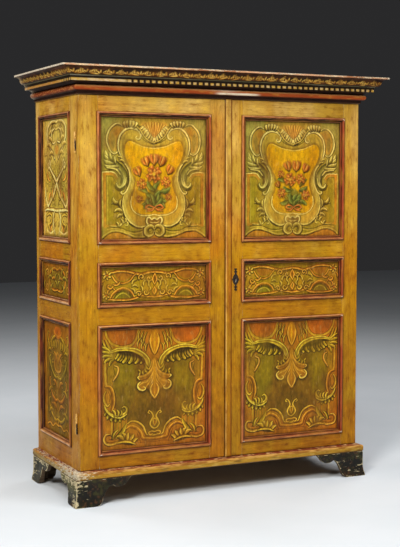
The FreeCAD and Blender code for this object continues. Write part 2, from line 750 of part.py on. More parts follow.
# --------------------------------------------------------------- the ironwork
def hinge_part(name, sign, hz, which):
    """One hinge half.  which is case (end knuckles) or door (middle knuckle)."""
    axis_x = (half + D["hinge_out"]) * sign
    axis_y = y_door + D["door_clear"] / 2
    low = z0 + hz
    long = D["hinge_long"]
    third = long / 3
    if which == "case":
        runs = [(dim(0), third - 0.25), (third * 2 + 0.25, long)]
        py = y_case
    else:
        runs = [(third + 0.25, third * 2 - 0.25)]
        py = y_door - D["leaf_thick"]
    solids = []
    for i, (a, b) in enumerate(runs):
        solids.append(cylinder("%s_knuckle_%d" % (name, i), axis_x, axis_y, low + a,
                               D["barrel_rad"], b - a))
        arm = D["hinge_out"] + 1
        x = (half - 1) if sign > 0 else (-half - D["hinge_out"])
        solids.append(box("%s_tab_%d" % (name, i), x, py, low + a, arm, D["leaf_thick"], b - a))
    x = (half - D["leaf_wide"]) if sign > 0 else -half
    solids.append(box(name + "_plate", x, py, low, D["leaf_wide"] - 0.0, D["leaf_thick"], long))
    whole = fuse(name + "_whole", solids)
    bore = cylinder(name + "_bore", axis_x, axis_y, low - 5, D["pin_rad"] + D["pin_play"], long + 10)
    return cut(name, whole, bore)


case_leaves, pins, left_leaves, right_leaves = [], [], [], []
for side, sign, doors in (("left", -1, left_leaves), ("right", 1, right_leaves)):
    for tag, hz in (("lower", HINGES[0]), ("upper", HINGES[1])):
        name = "%s_%s_hinge" % (side, tag)
        case_leaves.append(hinge_part(name + "_case_half", sign, hz, "case"))
        doors.append(hinge_part(name + "_door_half", sign, hz, "door"))
        ax = (half + D["hinge_out"]) * sign
        ay = y_door + D["door_clear"] / 2
        shaft = cylinder(name + "_pin_shaft", ax, ay, z0 + hz - 1, D["pin_rad"], D["hinge_long"] + 2)
        head = cylinder(name + "_pin_head", ax, ay, z0 + hz + D["hinge_long"] + 0.3,
                        D["barrel_rad"] - 0.7, 3.0)
        pins.append(fuse(name + "_pin", [shaft, head]))
node("hinge_case_leaves", group("hinge_case_leaves_group", case_leaves))
node("hinge_pins", group("hinge_pins_group", pins))
node("left_door_hinge_leaves", group("left_door_hinge_leaves_group", left_leaves))
node("right_door_hinge_leaves", group("right_door_hinge_leaves_group", right_leaves))

# Escutcheon: a pierced lozenge with a trefoil at each end, around the keyhole.
esc = new_body("escutcheon")
half_outline = [(3.2, 57), (7.5, 52.5, (7.6, 56.3)), (3.4, 48.2, (6.6, 49.2)), (2.8, 44.5),
                (8.5, 40, (6.8, 44.0)), (4.6, 34.5, (8.2, 36.2)), (8.5, 24, (4.6, 28.5)),
                (14.5, 14.5), (19.5, 2.8, (15.6, 8.2)), (20, 0)]
right_up = [(0, 57.5)] + half_outline
right_down = []
for i in range(len(half_outline) - 2, -1, -1):
    x, y = half_outline[i][0], half_outline[i][1]
    nxt = half_outline[i + 1]
    if len(nxt) > 2:
        right_down.append((x, -y, (nxt[2][0], -nxt[2][1])))
    else:
        right_down.append((x, -y))
left_up = [(0, -57.5)]
chain = right_up + right_down


def mirror_chain(points):
    out = []
    n = len(points)
    for i in range(n - 1, 0, -1):
        x, y = points[i][0], points[i][1]
        src = points[i + 1] if i + 1 < n else None
        if src is not None and len(src) > 2:
            out.append((-x, y, (-src[2][0], src[2][1])))
        else:
            out.append((-x, y))
    return out


outline = chain + left_up + mirror_chain(chain)
fixed = []
for p in outline:
    u = dim(p[0])
    fixed.append((u, dim(p[1])) if len(p) < 3 else (u, dim(p[1]), p[2]))
pad(esc, sketch(esc, "XZ_Plane", [fixed], "escutcheon_outline"), D["plate_thick"], "escutcheon_plate")
pocket(esc, sketch(esc, "XZ_Plane", [keyhole_outline(dim(0), dim(0))], "escutcheon_keyhole_plan"),
       None, "escutcheon_keyhole")
node("escutcheon", place(esc, D["key_x"], y_face, z0 + D["key_z"]))

# Box lock on the back of the right door: an open-fronted case and its bolt.
lock = new_body("lock_case")
lz = z0 + D["key_z"] - D["lock_high"] / 2
lw, lh, ld, wall = D["lock_wide"], D["lock_high"], D["lock_deep"], D["lock_wall"]
pad(lock, sketch(lock, "XZ_Plane", [rect(0, 0, lw, lh)], "lock_case_outline"), ld,
    "lock_case_block", True)
pocket(lock, sketch(lock, "XZ_Plane", [rect(wall, wall, lw - wall, lh - wall)],
                    "lock_case_hollow_plan"), ld - wall, "lock_case_hollow", False)
bolt_low = D["lock_high"] / 2 + 14          # over the lock case's bottom
bolt_deep = (D["lock_deep"] - D["bolt_thick"]) / 2
pl = D["bolt_play"]
pocket(lock, sketch(lock, "YZ_Plane",
                    [rect(bolt_deep - pl, bolt_low - pl,
                          bolt_deep + D["bolt_thick"] + pl, bolt_low + D["bolt_high"] + pl)],
                    "lock_case_mouth_plan", -5), wall + 8, "lock_case_mouth", True)
node("lock_case", place(lock, D["lock_left_x"], y_door, lz))

bolt = new_body("lock_bolt")
bh, bt, bl = D["bolt_high"], D["bolt_thick"], D["bolt_long"]
pad(bolt, sketch(bolt, "XZ_Plane",
                 [[(0, 0), (46, 0), (46, 5), (58, 5), (58, 0), (bl, 0), (bl, bh), (0, bh)]],
                 "lock_bolt_outline"), bt, "lock_bolt_bar", True)
node("lock_bolt", place(bolt, D["lock_left_x"] + 0.5, y_door + bolt_deep, lz + bolt_low))

# Keep on the back of the left door that the lock bolt enters.
keep = new_body("lock_keep")
keep_wide = dim(20)
keep_right = D["lock_left_x"] - 4.0
pad(keep, sketch(keep, "XZ_Plane", [rect(0, 0, keep_wide, bh + 22)], "lock_keep_outline"), ld,
    "lock_keep_block", True)
pocket(keep, sketch(keep, "YZ_Plane",
                    [rect(bolt_deep - pl * 2, 11 - pl * 2, bolt_deep + bt + pl * 2, 11 + bh + pl * 2)],
                    "lock_keep_mouth_plan", keep_wide), 16, "lock_keep_mouth", False)
node("lock_keep", place(keep, keep_right - keep_wide, y_door, lz + bolt_low - 11))


# Slide bolts on the back of the left door, with their guides.
def slide_bolt(name, up):
    sw2, st2, ln = D["slide_wide"], D["slide_thick"], D["slide_long"]
    knob = cylinder(name + "_knob", sw2 / 2, st2 - 1, ln * 0.45, 5.0, 17.0,
                    FreeCAD.Rotation(V(1, 0, 0), -90))
    bar = box(name + "_bar", 0, 0, 0, sw2, st2, ln)
    whole = fuse(name, [bar, knob])
    x = D["slide_x"] - sw2 / 2
    y = y_door + bolt_y - st2 / 2
    z = (ceiling - 4 - ln) if up else (floor_top + 4)
    return place(whole, x, y, z)


node("upper_slide_bolt", slide_bolt("upper_slide_bolt_whole", True))
node("lower_slide_bolt", slide_bolt("lower_slide_bolt_whole", False))


def guide(name, z):
    """A strap bridging the slide bolt, open right through along Z."""
    sw2, st2 = D["slide_wide"], D["slide_thick"]
    play = D["slide_play"]
    outer = box(name + "_strap", D["slide_x"] - 17, y_door, z, 34, bolt_y + st2 / 2 + play + 2, 16)
    hole = box(name + "_way", D["slide_x"] - sw2 / 2 - play, y_door + bolt_y - st2 / 2 - play, z - 5,
               sw2 + play * 2, st2 + play * 2, 26)
    return cut(name, outer, hole)


guides = []
top_bolt_z = ceiling - 4 - D["slide_long"]
low_bolt_z = floor_top + 4
for name, z in (("upper_guide_high", top_bolt_z + D["slide_long"] - 34),
                ("upper_guide_low", top_bolt_z + 22),
                ("lower_guide_high", low_bolt_z + D["slide_long"] - 38),
                ("lower_guide_low", low_bolt_z + 18)):
    guides.append(guide("slide_bolt_" + name, z))
node("slide_bolt_guides", group("slide_bolt_guides_group", guides))

# ------------------------------------------------------------ check and write
doc.recompute()
bad = []
for obj in doc.Objects:
    state = [s for s in obj.State if s in ("Invalid", "Error")]
    if state:
        bad.append("%s %s" % (obj.Name, state))
for label, obj in NODES:
    shape = obj.Shape
    if shape.isNull() or not shape.isValid() or shape.Volume <= 0:
        bad.append("%s has no valid shape" % label)
for feature, before in CUTS:
    if not feature.Shape.Volume < before.Shape.Volume - 0.5:
        bad.append("%s removes nothing" % feature.Name)
labels = [label for label, obj in NODES]
if len(set(labels)) != len(labels):
    bad.append("a node name is used twice")
if bad:
    print("\n".join(bad))
    sys.exit(1)

os.makedirs("parts", exist_ok=True)
box_all = FreeCAD.BoundBox()
for label, obj in NODES:
    obj.Shape.exportStep(os.path.join("parts", label + ".step"))
    box_all.add(obj.Shape.BoundBox)
print("nodes", len(NODES), "box", box_all)
for label, obj in NODES:
    bb = obj.Shape.BoundBox
    print("%-32s solids %2d  x %8.1f %8.1f  y %8.1f %8.1f  z %8.1f %8.1f" % (
        label, len(obj.Shape.Solids), bb.XMin, bb.XMax, bb.YMin, bb.YMax, bb.ZMin, bb.ZMax))
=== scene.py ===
import json
import math

import bmesh
import bpy
import numpy as np
from mathutils import Matrix, Vector

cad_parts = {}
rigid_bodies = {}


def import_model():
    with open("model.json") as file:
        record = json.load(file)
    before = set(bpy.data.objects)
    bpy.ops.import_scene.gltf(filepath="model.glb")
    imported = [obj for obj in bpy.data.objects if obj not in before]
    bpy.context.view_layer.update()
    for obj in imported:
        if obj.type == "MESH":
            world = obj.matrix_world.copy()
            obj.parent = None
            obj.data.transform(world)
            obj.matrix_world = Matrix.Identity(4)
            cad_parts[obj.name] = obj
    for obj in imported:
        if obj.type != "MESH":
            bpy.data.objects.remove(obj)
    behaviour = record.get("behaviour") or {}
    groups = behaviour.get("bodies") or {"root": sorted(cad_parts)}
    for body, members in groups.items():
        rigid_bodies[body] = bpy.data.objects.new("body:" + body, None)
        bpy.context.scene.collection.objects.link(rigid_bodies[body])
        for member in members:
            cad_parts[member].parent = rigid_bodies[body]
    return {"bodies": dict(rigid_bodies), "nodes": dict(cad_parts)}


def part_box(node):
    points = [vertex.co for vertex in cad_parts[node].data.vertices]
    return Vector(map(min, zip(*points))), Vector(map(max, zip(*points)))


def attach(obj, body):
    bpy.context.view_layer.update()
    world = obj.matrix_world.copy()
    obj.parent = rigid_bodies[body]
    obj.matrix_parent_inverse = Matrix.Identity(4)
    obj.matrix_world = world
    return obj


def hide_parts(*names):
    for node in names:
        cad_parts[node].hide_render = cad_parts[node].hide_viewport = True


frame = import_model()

# Painted two-door armoire: the looks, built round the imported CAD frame.
# Lengths below are millimetres in the row's frame; make() turns them to metres.

NODES = frame["nodes"]
for _o in list(bpy.data.objects):
    if _o not in set(NODES.values()) and _o not in set(frame["bodies"].values()):
        bpy.data.objects.remove(_o)
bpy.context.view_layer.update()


# ---------------------------------------------------------------- numbers
def lin(r, g, b):
    """An sRGB colour, 0 to 255, as linear light."""
    c = np.array([r, g, b], float) / 255.0
    return np.where(c <= 0.04045, c / 12.92, ((c + 0.055) / 1.055) ** 2.4)


def smooth(x, a, b):
    t = np.clip((np.asarray(x, float) - a) / (b - a), 0, 1)
    return t * t * (3 - 2 * t)


def _hash(i, j, k, seed):
    h = (i * 73856093) ^ (j * 19349663) ^ (k * 83492791) ^ (seed * 265443577 + 12345)
    h &= 0xFFFFFFFF
    h = ((h ^ (h >> 15)) * 224682251) & 0xFFFFFFFF
    h = ((h ^ (h >> 13)) * 326648991) & 0xFFFFFFFF
    h ^= h >> 16
    return (h & 0xFFFFFF) / 16777215.0


def noise(p, size, seed=0, octaves=1):
    """Smooth value noise, 0 to 1, with features of about size mm (a number or one per axis)."""
    p = np.asarray(p, float)
    size = np.broadcast_to(np.asarray(size, float), (p.shape[1],))
    total, weight, amp = np.zeros(len(p)), 0.0, 1.0
    for o in range(octaves):
        q = p / size * (2.03 ** o) + 17.31 * (o + 1) + seed * 3.7
        if q.shape[1] == 2:
            q = np.column_stack([q, np.zeros(len(q))])
        f = np.floor(q)
        t = q - f
        t = t * t * (3 - 2 * t)
        i, j, k = f.astype(np.int64).T
        v = 0.0
        for a in (0, 1):
            wa = t[:, 0] if a else 1 - t[:, 0]
            for b in (0, 1):
                wb = t[:, 1] if b else 1 - t[:, 1]
                for c in (0, 1):
                    wc = t[:, 2] if c else 1 - t[:, 2]
                    v = v + wa * wb * wc * _hash(i + a, j + b, k + c, seed + o * 7)
        total += v * amp
        weight += amp
        amp *= 0.5
    return total / weight


def blendc(a, b, t):
    """Colours a to b by t, one row per point."""
    t = np.asarray(t, float).reshape(-1, 1)
    return np.asarray(a) * (1 - t) + np.asarray(b) * t


# ---------------------------------------------------------------- meshes
class Part:
    """Vertices, faces and per-vertex looks of one closed piece."""

    def __init__(self, verts, faces, **attrs):
        self.verts = np.asarray(verts, float)
        self.faces = faces if isinstance(faces, list) else [faces]
        self.attrs = attrs


def join(parts):
    verts, faces, attrs, start = [], [], {}, 0
    names = set(k for p in parts for k in p.attrs)
    for p in parts:
        n = len(p.verts)
        verts.append(p.verts)
        faces += [np.asarray(f, np.int64) + start for f in p.faces if len(f)]
        for k in names:
            a = p.attrs.get(k)
            if a is None:
                a = np.tile([0.5, 0.5, 0.5], (n, 1)) if k == "paint" else np.zeros(n)
            attrs.setdefault(k, []).append(np.broadcast_to(a, (n, 3) if k == "paint" else (n,)))
        start += n
    return Part(np.concatenate(verts), faces, **{k: np.concatenate(v) for k, v in attrs.items()})


def make(name, parts, body, nodes, mat, sharp=40, ride=True):
    part = join(parts) if isinstance(parts, (list, tuple)) else parts
    me = bpy.data.meshes.new(name)
    loops = np.concatenate([f.reshape(-1) for f in part.faces]).astype(np.int32)
    sizes = np.concatenate([np.full(len(f), f.shape[1]) for f in part.faces])
    starts = np.concatenate([[0], np.cumsum(sizes)[:-1]]).astype(np.int32)
    me.vertices.add(len(part.verts))
    me.vertices.foreach_set("co", (part.verts / 1000.0).astype(np.float32).ravel())
    me.loops.add(len(loops))
    me.loops.foreach_set("vertex_index", loops)
    me.polygons.add(len(sizes))
    me.polygons.foreach_set("loop_start", starts)
    me.polygons.foreach_set("use_smooth", np.ones(len(sizes), bool))
    me.update(calc_edges=True)
    me.validate()
    give(me, part.attrs)
    me.set_sharp_from_angle(angle=math.radians(sharp))
    obj = bpy.data.objects.new(name, me)
    bpy.context.scene.collection.objects.link(obj)
    me.materials.append(mat)
    if ride:
        settle(obj, body, nodes)
    return obj


def settle(obj, body, nodes):
    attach(obj, body)
    if nodes:
        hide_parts(*nodes)


def give(me, attrs):
    n = len(me.vertices)
    for key, a in attrs.items():
        if key == "paint":
            rgba = np.ones((n, 4), np.float32)
            rgba[:, :3] = np.clip(a, 0, 1)
            at = me.color_attributes.new("paint", "FLOAT_COLOR", "POINT")
            at.data.foreach_set("color", rgba.ravel())
        else:
            at = me.attributes.new(key, "FLOAT", "POINT")
            at.data.foreach_set("value", np.ascontiguousarray(a, np.float32))


def cuts(a, b, cell):
    length = b - a
    e = [x for x in (0, 0.5, 1.2, 2.4, 4.5, 9) if x < length * 0.5 - 0.3]
    inner = length - 2 * e[-1]
    n = max(1, int(round(inner / cell)))
    mid = list(np.linspace(e[-1], length - e[-1], n + 1))[1:-1]
    return a + np.array(e + mid + [length - x for x in reversed(e)])


def lattice(xs, ys, zs):
    """The surface of a block, cut into cells."""
    shape = (len(xs), len(ys), len(zs))
    m = np.zeros(shape, bool)
    m[0] = m[-1] = True
    m[:, 0] = m[:, -1] = True
    m[:, :, 0] = m[:, :, -1] = True
    idx = np.full(shape, -1, np.int64)
    idx[m] = np.arange(m.sum())
    i, j, k = np.nonzero(m)
    pts = np.stack([xs[i], ys[j], zs[k]], 1)

    def side(g, flip):
        q = np.stack([g[:-1, :-1], g[1:, :-1], g[1:, 1:], g[:-1, 1:]], -1).reshape(-1, 4)
        return q[:, ::-1] if flip else q

    quads = np.concatenate([side(idx[-1], False), side(idx[0], True), side(idx[:, 0, :], False),
                            side(idx[:, -1, :], True), side(idx[:, :, -1], False), side(idx[:, :, 0], True)])
    return pts, quads


def with_lines(base, lines):
    """Adds cuts where a painted line, a dirty line or a line of painted shade runs."""
    keep = sorted(x for x in lines if base[0] + 2.5 < x < base[-1] - 2.5)
    rest = [x for k, x in enumerate(base) if k < 3 or k > len(base) - 4 or all(abs(x - y) > 0.8 for y in keep)]
    out = sorted(rest + [x for x in keep if all(abs(x - y) > 0.4 for y in rest)])
    return np.array(out)


def board(lo, hi, look, r=1.3, cell=15, seed=0, wav=0.25, worn=1.0, painted=("-Y",), grain=2, lines=None):
    """A sawn and planed board with rounded, worn arrises. look(points) gives its paint; painted names the faces that
    carry paint, and the others are bare wood."""
    lo, hi = np.array(lo, float), np.array(hi, float)
    at = [cuts(lo[a], hi[a], cell if a == grain else min(cell, 22)) for a in range(3)]
    if lines:
        at = [with_lines(list(v), lines.get(a, ())) for a, v in enumerate(at)]
    pts, quads = lattice(*at)
    depth = np.stack([np.minimum(pts[:, a] - lo[a], hi[a] - pts[:, a]) for a in range(3)], 1)
    order = np.sort(depth, 1)
    edge, corner = order[:, 1], order[:, 2]
    # paint or bare wood, by the face that a point is on
    on = np.zeros(len(pts))
    for f in painted:
        a = "XYZ".index(f[1])
        d = (hi[a] - pts[:, a]) if f[0] == "+" else (pts[:, a] - lo[a])
        on = np.maximum(on, 1 - smooth(d, 0.4, 3.0 + 4.0 * noise(pts, 30, seed + 5)))
    # arrises: a radius that varies along the edge, and small bruises
    rv = r * (0.55 + 0.9 * noise(pts, (60, 60, 60), seed + 1)) + worn * 1.6 * smooth(noise(pts, 26, seed + 2, 2), 0.66, 0.85)
    rv = np.minimum(rv, (hi - lo).min() * 0.4)[:, None]
    q = np.minimum(np.maximum(pts, lo + rv), hi - rv)
    d = pts - q
    n = np.linalg.norm(d, axis=1, keepdims=True)
    out = np.where(n > 1e-9, q + d / np.maximum(n, 1e-9) * np.minimum(rv, n), pts)
    # planed faces are never quite flat
    inward = (out - (lo + hi) / 2)
    big = np.argmin(depth, 1)
    sgn = np.sign(inward[np.arange(len(out)), big])
    size = np.full(3, 70.0)
    size[grain] = 420.0
    wob = noise(pts, size, seed + 3, 2) * wav
    out[np.arange(len(out)), big] -= sgn * wob * smooth(edge, 0, 6)
    wear = worn * (np.exp(-edge / 2.2) * (0.25 + 0.75 * noise(pts, 40, seed + 4, 2)) + 0.35 * np.exp(-corner / 12.0) * np.exp(-edge / 4.0))
    return Part(out, quads, paint=look(pts), wear=np.clip(wear, 0, 1), bare=1 - on)


def run_profile(spec, step):
    """A closed outline from points and ("arc", mid, end) pieces. Returns points and the number of the piece each is on."""
    pts, zone = [], []
    steps = step if isinstance(step, (list, tuple)) else [step] * len(spec)
    prev = np.array(spec[-1][2] if isinstance(spec[-1][0], str) else spec[-1], float)
    for z, s in enumerate(spec):
        step = steps[z]
        if isinstance(s[0], str):
            a, m, b = prev, np.array(s[1], float), np.array(s[2], float)
            d = 2 * (a[0] * (m[1] - b[1]) + m[0] * (b[1] - a[1]) + b[0] * (a[1] - m[1]))
            ux = ((a @ a) * (m[1] - b[1]) + (m @ m) * (b[1] - a[1]) + (b @ b) * (a[1] - m[1])) / d
            uy = ((a @ a) * (b[0] - m[0]) + (m @ m) * (a[0] - b[0]) + (b @ b) * (m[0] - a[0])) / d
            c = np.array([ux, uy])
            rad = np.linalg.norm(a - c)
            t0, tm, t1 = [math.atan2(*(p - c)[::-1]) for p in (a, m, b)]
            while tm < t0:
                tm += 2 * math.pi
            while t1 < t0:
                t1 += 2 * math.pi
            if tm > t1:
                t1 -= 2 * math.pi
            n = max(3, int(abs(t1 - t0) * rad / step))
            for t in np.linspace(t0, t1, n + 1)[1:]:
                pts.append(c + rad * np.array([math.cos(t), math.sin(t)]))
                zone.append(z)
            prev = b
        else:
            b = np.array(s, float)
            length = np.linalg.norm(b - prev)
            n = max(1, int(round(length / step)))
            for t in np.linspace(0, 1, n + 1)[1:]:
                pts.append(prev + (b - prev) * t)
                zone.append(z)
            prev = b
    return np.array(pts), np.array(zone)


def soften(pts, zone, r=0.5):
    """Adds a point just each side of every corner and pulls the corner in a little, so an outline has no knife edge."""
    out, oz = [], []
    n = len(pts)
    for i in range(n):
        a, b, c = pts[i - 1], pts[i], pts[(i + 1) % n]
        d1, d2 = a - b, c - b
        l1, l2 = np.linalg.norm(d1), np.linalg.norm(d2)
        cosang = (d1 @ d2) / (l1 * l2)
        if cosang < -0.9:
            out.append(b)
            oz.append(zone[i])
            continue
        e = min(r, l1 * 0.4, l2 * 0.4)
        p, q = b + d1 / l1 * e, b + d2 / l2 * e
        out += [p, b * 0.55 + (p + q) * 0.225, q]
        oz += [zone[i], zone[i], zone[(i + 1) % n]]
    return np.array(out), np.array(oz)


def sweep(section, stations, place):
    """A closed bar: section is (M, 2), stations runs 0 to 1, place(t, section) gives the (M, 3) outline at t."""
    rings = [place(t, section) for t in stations]
    m, n = len(section), len(rings)
    pts = np.concatenate(rings)
    i, j = np.meshgrid(np.arange(n - 1), np.arange(m), indexing="ij")
    a = i * m + j
    b = i * m + (j + 1) % m
    quads = np.stack([a, b, b + m, a + m], -1).reshape(-1, 4)
    caps = [np.arange(m)[::-1][None, :], (np.arange(m) + (n - 1) * m)[None, :]]
    return pts, [quads] + caps


def outward(part):
    """Turns the faces if they point in: the volume's sign says."""
    vol = 0.0
    for f in part.faces:
        p0 = part.verts[f[:, 0]]
        for k in range(1, f.shape[1] - 1):
            p1, p2 = part.verts[f[:, k]], part.verts[f[:, k + 1]]
            vol += np.einsum("ij,ij->i", p0, np.cross(p1, p2)).sum()
    if vol < 0:
        part.faces = [f[:, ::-1] for f in part.faces]
    return part


# ---------------------------------------------------------------- materials
class Graph:
    def __init__(self, name):
        self.mat = bpy.data.materials.new(name)
        self.mat.use_nodes = True
        self.t = self.mat.node_tree
        self.t.nodes.clear()
        self.out = self.t.nodes.new("ShaderNodeOutputMaterial")
        self.bsdf = self.t.nodes.new("ShaderNodeBsdfPrincipled")
        self.t.links.new(self.bsdf.outputs[0], self.out.inputs[0])
        self.coord = self.t.nodes.new("ShaderNodeTexCoord").outputs["Object"]

    def put(self, socket, value):
        if isinstance(value, bpy.types.NodeSocket):
            self.t.links.new(value, socket)
        elif value is not None:
            if hasattr(socket.default_value, "__len__") and not hasattr(value, "__len__"):
                value = (value,) * len(socket.default_value)
            elif hasattr(value, "__len__") and len(socket.default_value) == 4 and len(value) == 3:
                value = (*value, 1.0)
            socket.default_value = value

    def attr(self, name, out="Fac"):
        n = self.t.nodes.new("ShaderNodeAttribute")
        n.attribute_name = name
        return n.outputs[out]

    def math(self, op, a, b=None, c=None, clamp=False):
        n = self.t.nodes.new("ShaderNodeMath")
        n.operation, n.use_clamp = op, clamp
        for s, v in zip(n.inputs, (a, b, c)):
            if v is not None:
                self.put(s, v)
        return n.outputs[0]

    def scale(self, vec, s):
        n = self.t.nodes.new("ShaderNodeVectorMath")
        n.operation = "MULTIPLY"
        self.put(n.inputs[0], vec)
        self.put(n.inputs[1], s)
        return n.outputs[0]

    def add(self, a, b):
        n = self.t.nodes.new("ShaderNodeVectorMath")
        n.operation = "ADD"
        self.put(n.inputs[0], a)
        self.put(n.inputs[1], b)
        return n.outputs[0]

    def noise(self, vec, scale=1.0, detail=3.0, rough=0.55, distort=0.0, out="Fac"):
        n = self.t.nodes.new("ShaderNodeTexNoise")
        self.put(n.inputs["Vector"], vec)
        n.inputs["Scale"].default_value = scale
        n.inputs["Detail"].default_value = detail
        n.inputs["Roughness"].default_value = rough
        n.inputs["Distortion"].default_value = distort
        return n.outputs[0 if out == "Fac" else 1]

    def voronoi(self, vec, scale=1.0, feature="F1", rand=1.0, out="Distance"):
        n = self.t.nodes.new("ShaderNodeTexVoronoi")
        n.feature = feature
        self.put(n.inputs["Vector"], vec)
        n.inputs["Scale"].default_value = scale
        n.inputs["Randomness"].default_value = rand
        return n.outputs[out]

    def span(self, v, a, b, lo=0.0, hi=1.0, soft=True):
        n = self.t.nodes.new("ShaderNodeMapRange")
        n.interpolation_type = "SMOOTHSTEP" if soft else "LINEAR"
        self.put(n.inputs["Value"], v)
        for k, x in (("From Min", a), ("From Max", b), ("To Min", lo), ("To Max", hi)):
            n.inputs[k].default_value = x
        return n.outputs["Result"]

    def mix(self, fac, a, b, blend="MIX"):
        n = self.t.nodes.new("ShaderNodeMix")
        n.data_type, n.blend_type = "RGBA", blend
        self.put(n.inputs[0], fac)
        self.put(n.inputs[6], a)
        self.put(n.inputs[7], b)
        return n.outputs[2]

    def ramp(self, fac, stops):
        n = self.t.nodes.new("ShaderNodeValToRGB")
        self.put(n.inputs[0], fac)
        e = n.color_ramp.elements
        while len(e) < len(stops):
            e.new(0.5)
        for el, (p, c) in zip(e, stops):
            el.position, el.color = p, (*c, 1.0)
        return n.outputs[0]

    def bump(self, height, distance, strength=1.0, normal=None):
        n = self.t.nodes.new("ShaderNodeBump")
        n.inputs["Distance"].default_value = distance
        n.inputs["Strength"].default_value = strength
        self.put(n.inputs["Height"], height)
        if normal is not None:
            self.put(n.inputs["Normal"], normal)
        return n.outputs[0]

    def set(self, **kw):
        names = {"color": "Base Color", "rough": "Roughness", "metal": "Metallic", "normal": "Normal",
                 "spec": "Specular IOR Level", "coat": "Coat Weight", "coat_rough": "Coat Roughness"}
        for k, v in kw.items():
            self.put(self.bsdf.inputs[names[k]], v)
        return self.mat


def along(axis, across, length):
    """Mapping scales, per metre, for marks that are across mm wide and length mm long down one axis."""
    s = [1000.0 / across] * 3
    s[axis] = 1000.0 / length
    return tuple(s)


def wood_color(g, axis, dark=(0.115, 0.056, 0.024), mid=(0.27, 0.15, 0.068), pale=(0.42, 0.27, 0.14)):
    """Old softwood: growth bands, fine fibre, knots, dirt. Returns colour and height."""
    warp = g.noise(g.scale(g.coord, along(axis, 90, 900)), 1.0, 2.0, 0.5, out="Color")
    bent = g.add(g.coord, g.scale(warp, (0.03, 0.03, 0.03)))
    band = g.noise(g.scale(bent, along(axis, 14, 900)), 1.0, 3.0, 0.55)
    fibre = g.noise(g.scale(g.coord, along(axis, 1.6, 70)), 1.0, 2.0, 0.6)
    dirt = g.noise(g.coord, 7.0, 4.0, 0.6)
    knot = g.voronoi(g.scale(g.coord, along(axis, 210, 460)), 1.0)
    core = g.span(knot, 0.03, 0.10, 1.0, 0.0)
    v = g.math("ADD", band, g.math("MULTIPLY", g.math("SUBTRACT", fibre, 0.5), 0.35))
    col = g.ramp(v, [(0.25, dark), (0.45, mid), (0.62, pale), (0.8, mid)])
    col = g.mix(g.math("MULTIPLY", core, 0.75), col, tuple(c * 0.35 for c in dark))
    col = g.mix(g.span(dirt, 0.35, 0.75, 0.0, 0.55), col, tuple(c * 0.8 for c in dark), "MIX")
    height = g.math("ADD", g.math("MULTIPLY", band, 0.6), g.math("MULTIPLY", fibre, 0.4))
    return col, height


def bare_material(name, axis, tint=True):
    g = Graph(name)
    col, height = wood_color(g, axis)
    if tint:
        col = g.mix(1.0, col, g.scale(g.attr("paint", "Color"), (2.0, 2.0, 2.0)), "MULTIPLY")
    worn = g.attr("wear")
    col = g.mix(g.math("MULTIPLY", worn, 0.35), col, (0.36, 0.24, 0.13))
    rough = g.span(g.noise(g.coord, 40.0, 3.0), 0.3, 0.7, 0.62, 0.86)
    return g.set(color=col, rough=rough, spec=0.25, normal=g.bump(height, 0.0009, 0.6))


